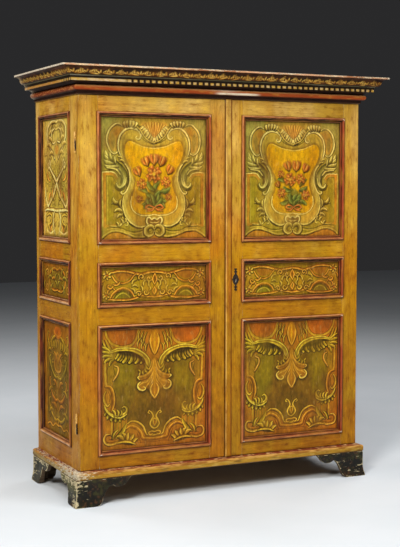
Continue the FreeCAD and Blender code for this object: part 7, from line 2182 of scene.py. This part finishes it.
def panel_mesh(name, node, body, lo, hi, face_axis, face_sign, face_at, back_at, art, mat, seen, seed):
    """A thin panel: the painted face is a fine grid that carries art's colours and its slight relief, and the back is
    bare wood. lo, hi: the panel's corners in its plane (a runs along the other horizontal axis, b is z); seen: the part
    that the moulding leaves in view."""
    step = 1.95

    def lines(a, b, sa, sb):
        n = int(round((sb - sa) / step))
        mid = np.linspace(sa, sb, n + 1)
        pre = np.linspace(a, sa, 4)[:-1]
        post = np.linspace(sb, b, 4)[1:]
        return np.concatenate([pre, mid, post])

    A = lines(lo[0], hi[0], seen[0][0], seen[1][0])
    B = lines(lo[1], hi[1], seen[0][1], seen[1][1])
    na, nb = len(A), len(B)
    ga, gb = np.meshgrid(A, B, indexing="ij")
    a, b = ga.ravel(), gb.ravel()
    col, lift, wear = art(a, b)
    # boards of the panel: a faint joint or two, and a slight cup
    q = np.column_stack([a, b])
    cup = 0.8 * noise(q, (260, 900), seed, 2) - 0.4
    border = np.minimum.reduce([a - lo[0], hi[0] - a, b - lo[1], hi[1] - b])
    h = (lift + cup * smooth(border, 8, 60)) * smooth(border, 0, 14)
    depth = face_at + face_sign * h

    def place(aa, bb, dd):
        p = np.zeros((len(aa), 3))
        other = 0 if face_axis == 1 else 1
        p[:, other], p[:, face_axis], p[:, 2] = aa, dd, bb
        return p

    front = place(a, b, depth)
    idx = np.arange(na * nb).reshape(na, nb)
    quads = np.stack([idx[:-1, :-1], idx[1:, :-1], idx[1:, 1:], idx[:-1, 1:]], -1).reshape(-1, 4)
    # the back: a coarse grid, joined to the front round the rim
    ca = np.unique(np.concatenate([np.arange(0, na, max(1, na // 14)), [na - 1]]))
    cb = np.unique(np.concatenate([np.arange(0, nb, max(1, nb // 14)), [nb - 1]]))
    ka, kb = np.meshgrid(A[ca], B[cb], indexing="ij")
    back = place(ka.ravel(), kb.ravel(), np.full(ka.size, back_at) - face_sign * 0.0)
    bidx = np.arange(ka.size).reshape(len(ca), len(cb)) + na * nb
    bquads = np.stack([bidx[:-1, :-1], bidx[:-1, 1:], bidx[1:, 1:], bidx[1:, :-1]], -1).reshape(-1, 4)
    rims = []
    for side in range(4):
        cs = ca if side in (0, 2) else cb
        for k in range(len(cs) - 1):
            run = np.arange(cs[k], cs[k + 1] + 1)
            if side == 0:
                f, b0, b1 = idx[run, 0], bidx[k, 0], bidx[k + 1, 0]
            elif side == 2:
                f, b0, b1 = idx[run, -1][::-1], bidx[k + 1, -1], bidx[k, -1]
            elif side == 1:
                f, b0, b1 = idx[-1, run], bidx[-1, k], bidx[-1, k + 1]
            else:
                f, b0, b1 = idx[0, run][::-1], bidx[0, k + 1], bidx[0, k]
            rims.append(np.concatenate([f[::-1], [b0, b1]]))
    faces = [quads, bquads]
    for size in sorted(set(len(r) for r in rims)):
        faces.append(np.array([r for r in rims if len(r) == size]))
    pts = np.concatenate([front, back])
    n = len(back)
    paint = np.concatenate([col, np.tile([0.5, 0.5, 0.5], (n, 1))])
    part = outward(Part(pts, faces, paint=paint, wear=np.concatenate([wear, np.zeros(n)]),
                        bare=np.concatenate([np.zeros(len(front)), np.ones(n)])))
    make(name, part, body, [node], mat, sharp=50)


PANEL_MAT = paint_material("panel_paint", 2, streak=0.22, gesso=(0.62, 0.50, 0.30), chip=0.66, chip_size=4.0, crack=0.45, dirt=0.30, fine=0.36,
                           rough=(0.36, 0.56), relief=0.0003, spec=0.18, mottle=0.35)
SIDE_PANEL_MAT = paint_material("side_panel_paint", 2, streak=0.22, gesso=(0.62, 0.50, 0.30), chip=0.66, chip_size=4.0, crack=0.45, dirt=0.30, fine=0.36,
                                rough=(0.50, 0.68), relief=0.0003, spec=0.08, mottle=0.35)


DESIGNS = {("door", "upper"): upper_design().finish((1.01, 0.97, 0.60), crisp=0.5), ("door", "lower"): lower_design().finish((0.93, 0.86, 0.30), crisp=0.85),
           ("door", "middle"): middle_design().finish((1.06, 0.94, 0.38)), ("side", "upper"): side_upper_design().finish((1.58, 1.46, 1.22), crisp=0.2),
           ("side", "middle"): side_middle_design().finish((1.0, 0.88, 0.36)), ("side", "lower"): side_lower_design().finish((1.00, 0.84, 0.30), 22, 0.30)}
OVERLAYS = {("left", "door", "upper"): Overlay(0), ("right", "door", "upper"): Overlay(1)}

PANELS = []
for _side, _x0, _x1 in (("left", -698.5, -90.5), ("right", 98.0, 706.0)):
    for _row, (_z0, _z1) in zip(("lower", "middle", "upper"), OPEN_Z["door"]):
        PANELS.append((_side, "door", _row, _x0, _x1, _z0, _z1))
for _side in ("left", "right"):
    for _row, (_z0, _z1) in zip(("lower", "middle", "upper"), OPEN_Z["side"]):
        PANELS.append((_side, "side", _row, -140.0, 320.0, _z0, _z1))

for _k, (_side, _kind, _row, _a0, _a1, _z0, _z1) in enumerate(PANELS):
    _node = "%s_%s_%s_panel" % (_side, _kind, _row)
    _sg = -1 if _side == "left" else 1
    _lo, _hi = (_a0 + 0.4, _z0 + 0.4), (_a1 - 0.4, _z1 - 0.4)
    _seen = ((_a0 + 17.0, _z0 + 17.0), (_a1 - 17.0, _z1 - 17.0))
    _art = panel_art(DESIGNS[_kind, _row], _seen, 600 + 31 * _k, OVERLAYS.get((_side, _kind, _row)))
    if _kind == "door":
        panel_mesh(_node + "_paint", _node, _side + "_door", _lo, _hi, 1, -1, -254.0, -244.0, _art, PANEL_MAT, _seen, 40 + _k)
    else:
        panel_mesh(_node + "_paint", _node, "case", _lo, _hi, 0, _sg, _sg * 788.0, _sg * 778.0, _art, SIDE_PANEL_MAT, _seen, 40 + _k)

# ================================================================ stage, light, camera
_me = bpy.data.meshes.new("floor")
_me.from_pydata([(-14, -14, 0), (14, -14, 0), (14, 14, 0), (-14, 14, 0)], [], [(0, 1, 2, 3)])
_floor = bpy.data.objects.new("floor", _me)
bpy.context.scene.collection.objects.link(_floor)
_g = Graph("pale_floor")
_f = _g.noise(_g.coord, 1.6, 3.0)
_me.materials.append(_g.set(color=_g.mix(_g.span(_f, 0.3, 0.7), (0.74, 0.785, 0.835), (0.77, 0.81, 0.86)), rough=0.9, spec=0.05))

_world = bpy.data.worlds.new("studio")
bpy.context.scene.world = _world
_world.use_nodes = True
_world.node_tree.nodes["Background"].inputs["Color"].default_value = (0.50, 0.50, 0.52, 1)
_world.node_tree.nodes["Background"].inputs["Strength"].default_value = 0.045


def area(name, at, to, size, power, color=(1, 1, 1)):
    light = bpy.data.lights.new(name, "AREA")
    light.shape, light.size, light.size_y = "RECTANGLE", size[0], size[1]
    light.energy, light.color = power, color
    obj = bpy.data.objects.new(name, light)
    bpy.context.scene.collection.objects.link(obj)
    obj.location = at
    obj.rotation_mode = "QUATERNION"
    obj.rotation_quaternion = (Vector(to) - Vector(at)).to_track_quat("-Z", "Y")
    return obj


area("key", (-4.0, -4.2, 4.6), (0.0, 0.0, 1.3), (1.4, 1.4), 285, (1.0, 0.97, 0.90))
area("fill", (3.2, -4.6, 4.2), (0.0, 0.0, 1.0), (2.6, 1.6), 32, (1.0, 0.97, 0.90))
area("side_fill", (-4.8, -0.6, 4.2), (-0.8, 0.0, 1.1), (2.2, 1.6), 44, (1.0, 0.97, 0.92))
area("top", (0.0, -2.6, 5.6), (0.0, -2.0, 0.0), (5.0, 2.0), 205, (0.96, 0.985, 1.0))
area("back_left", (-2.8, 3.8, 5.0), (0.0, 0.0, 1.0), (2.2, 2.2), 80, (1.0, 0.98, 0.96))
area("back_right", (3.8, 2.6, 5.0), (0.0, 0.0, 1.0), (2.2, 2.2), 80, (1.0, 0.98, 0.96))

_yaw, _pitch, _roll = math.radians(25.73), math.radians(3.907), math.radians(0.055)
_fw = Vector((math.sin(_yaw) * math.cos(_pitch), math.cos(_yaw) * math.cos(_pitch), -math.sin(_pitch)))
_rt = Vector((math.cos(_yaw), -math.sin(_yaw), 0.0))
_up = _rt.cross(_fw)
_r2 = _rt * math.cos(_roll) + _up * math.sin(_roll)
_u2 = -_rt * math.sin(_roll) + _up * math.cos(_roll)
_cam = bpy.data.cameras.new("camera")
_cam.lens, _cam.sensor_width, _cam.sensor_fit = 81.115, 36.0, "AUTO"
_cam.clip_start, _cam.clip_end = 0.1, 60.0
_camera = bpy.data.objects.new("camera", _cam)
bpy.context.scene.collection.objects.link(_camera)
_camera.matrix_world = Matrix((
    (_r2.x, _u2.x, -_fw.x, -2.8693),
    (_r2.y, _u2.y, -_fw.y, -5.9163),
    (_r2.z, _u2.z, -_fw.z, 1.5617),
    (0, 0, 0, 1)))
bpy.context.scene.camera = _camera
bpy.context.scene.view_settings.view_transform = "Standard"
bpy.context.scene.view_settings.look = "None"

bpy.context.view_layer.update()
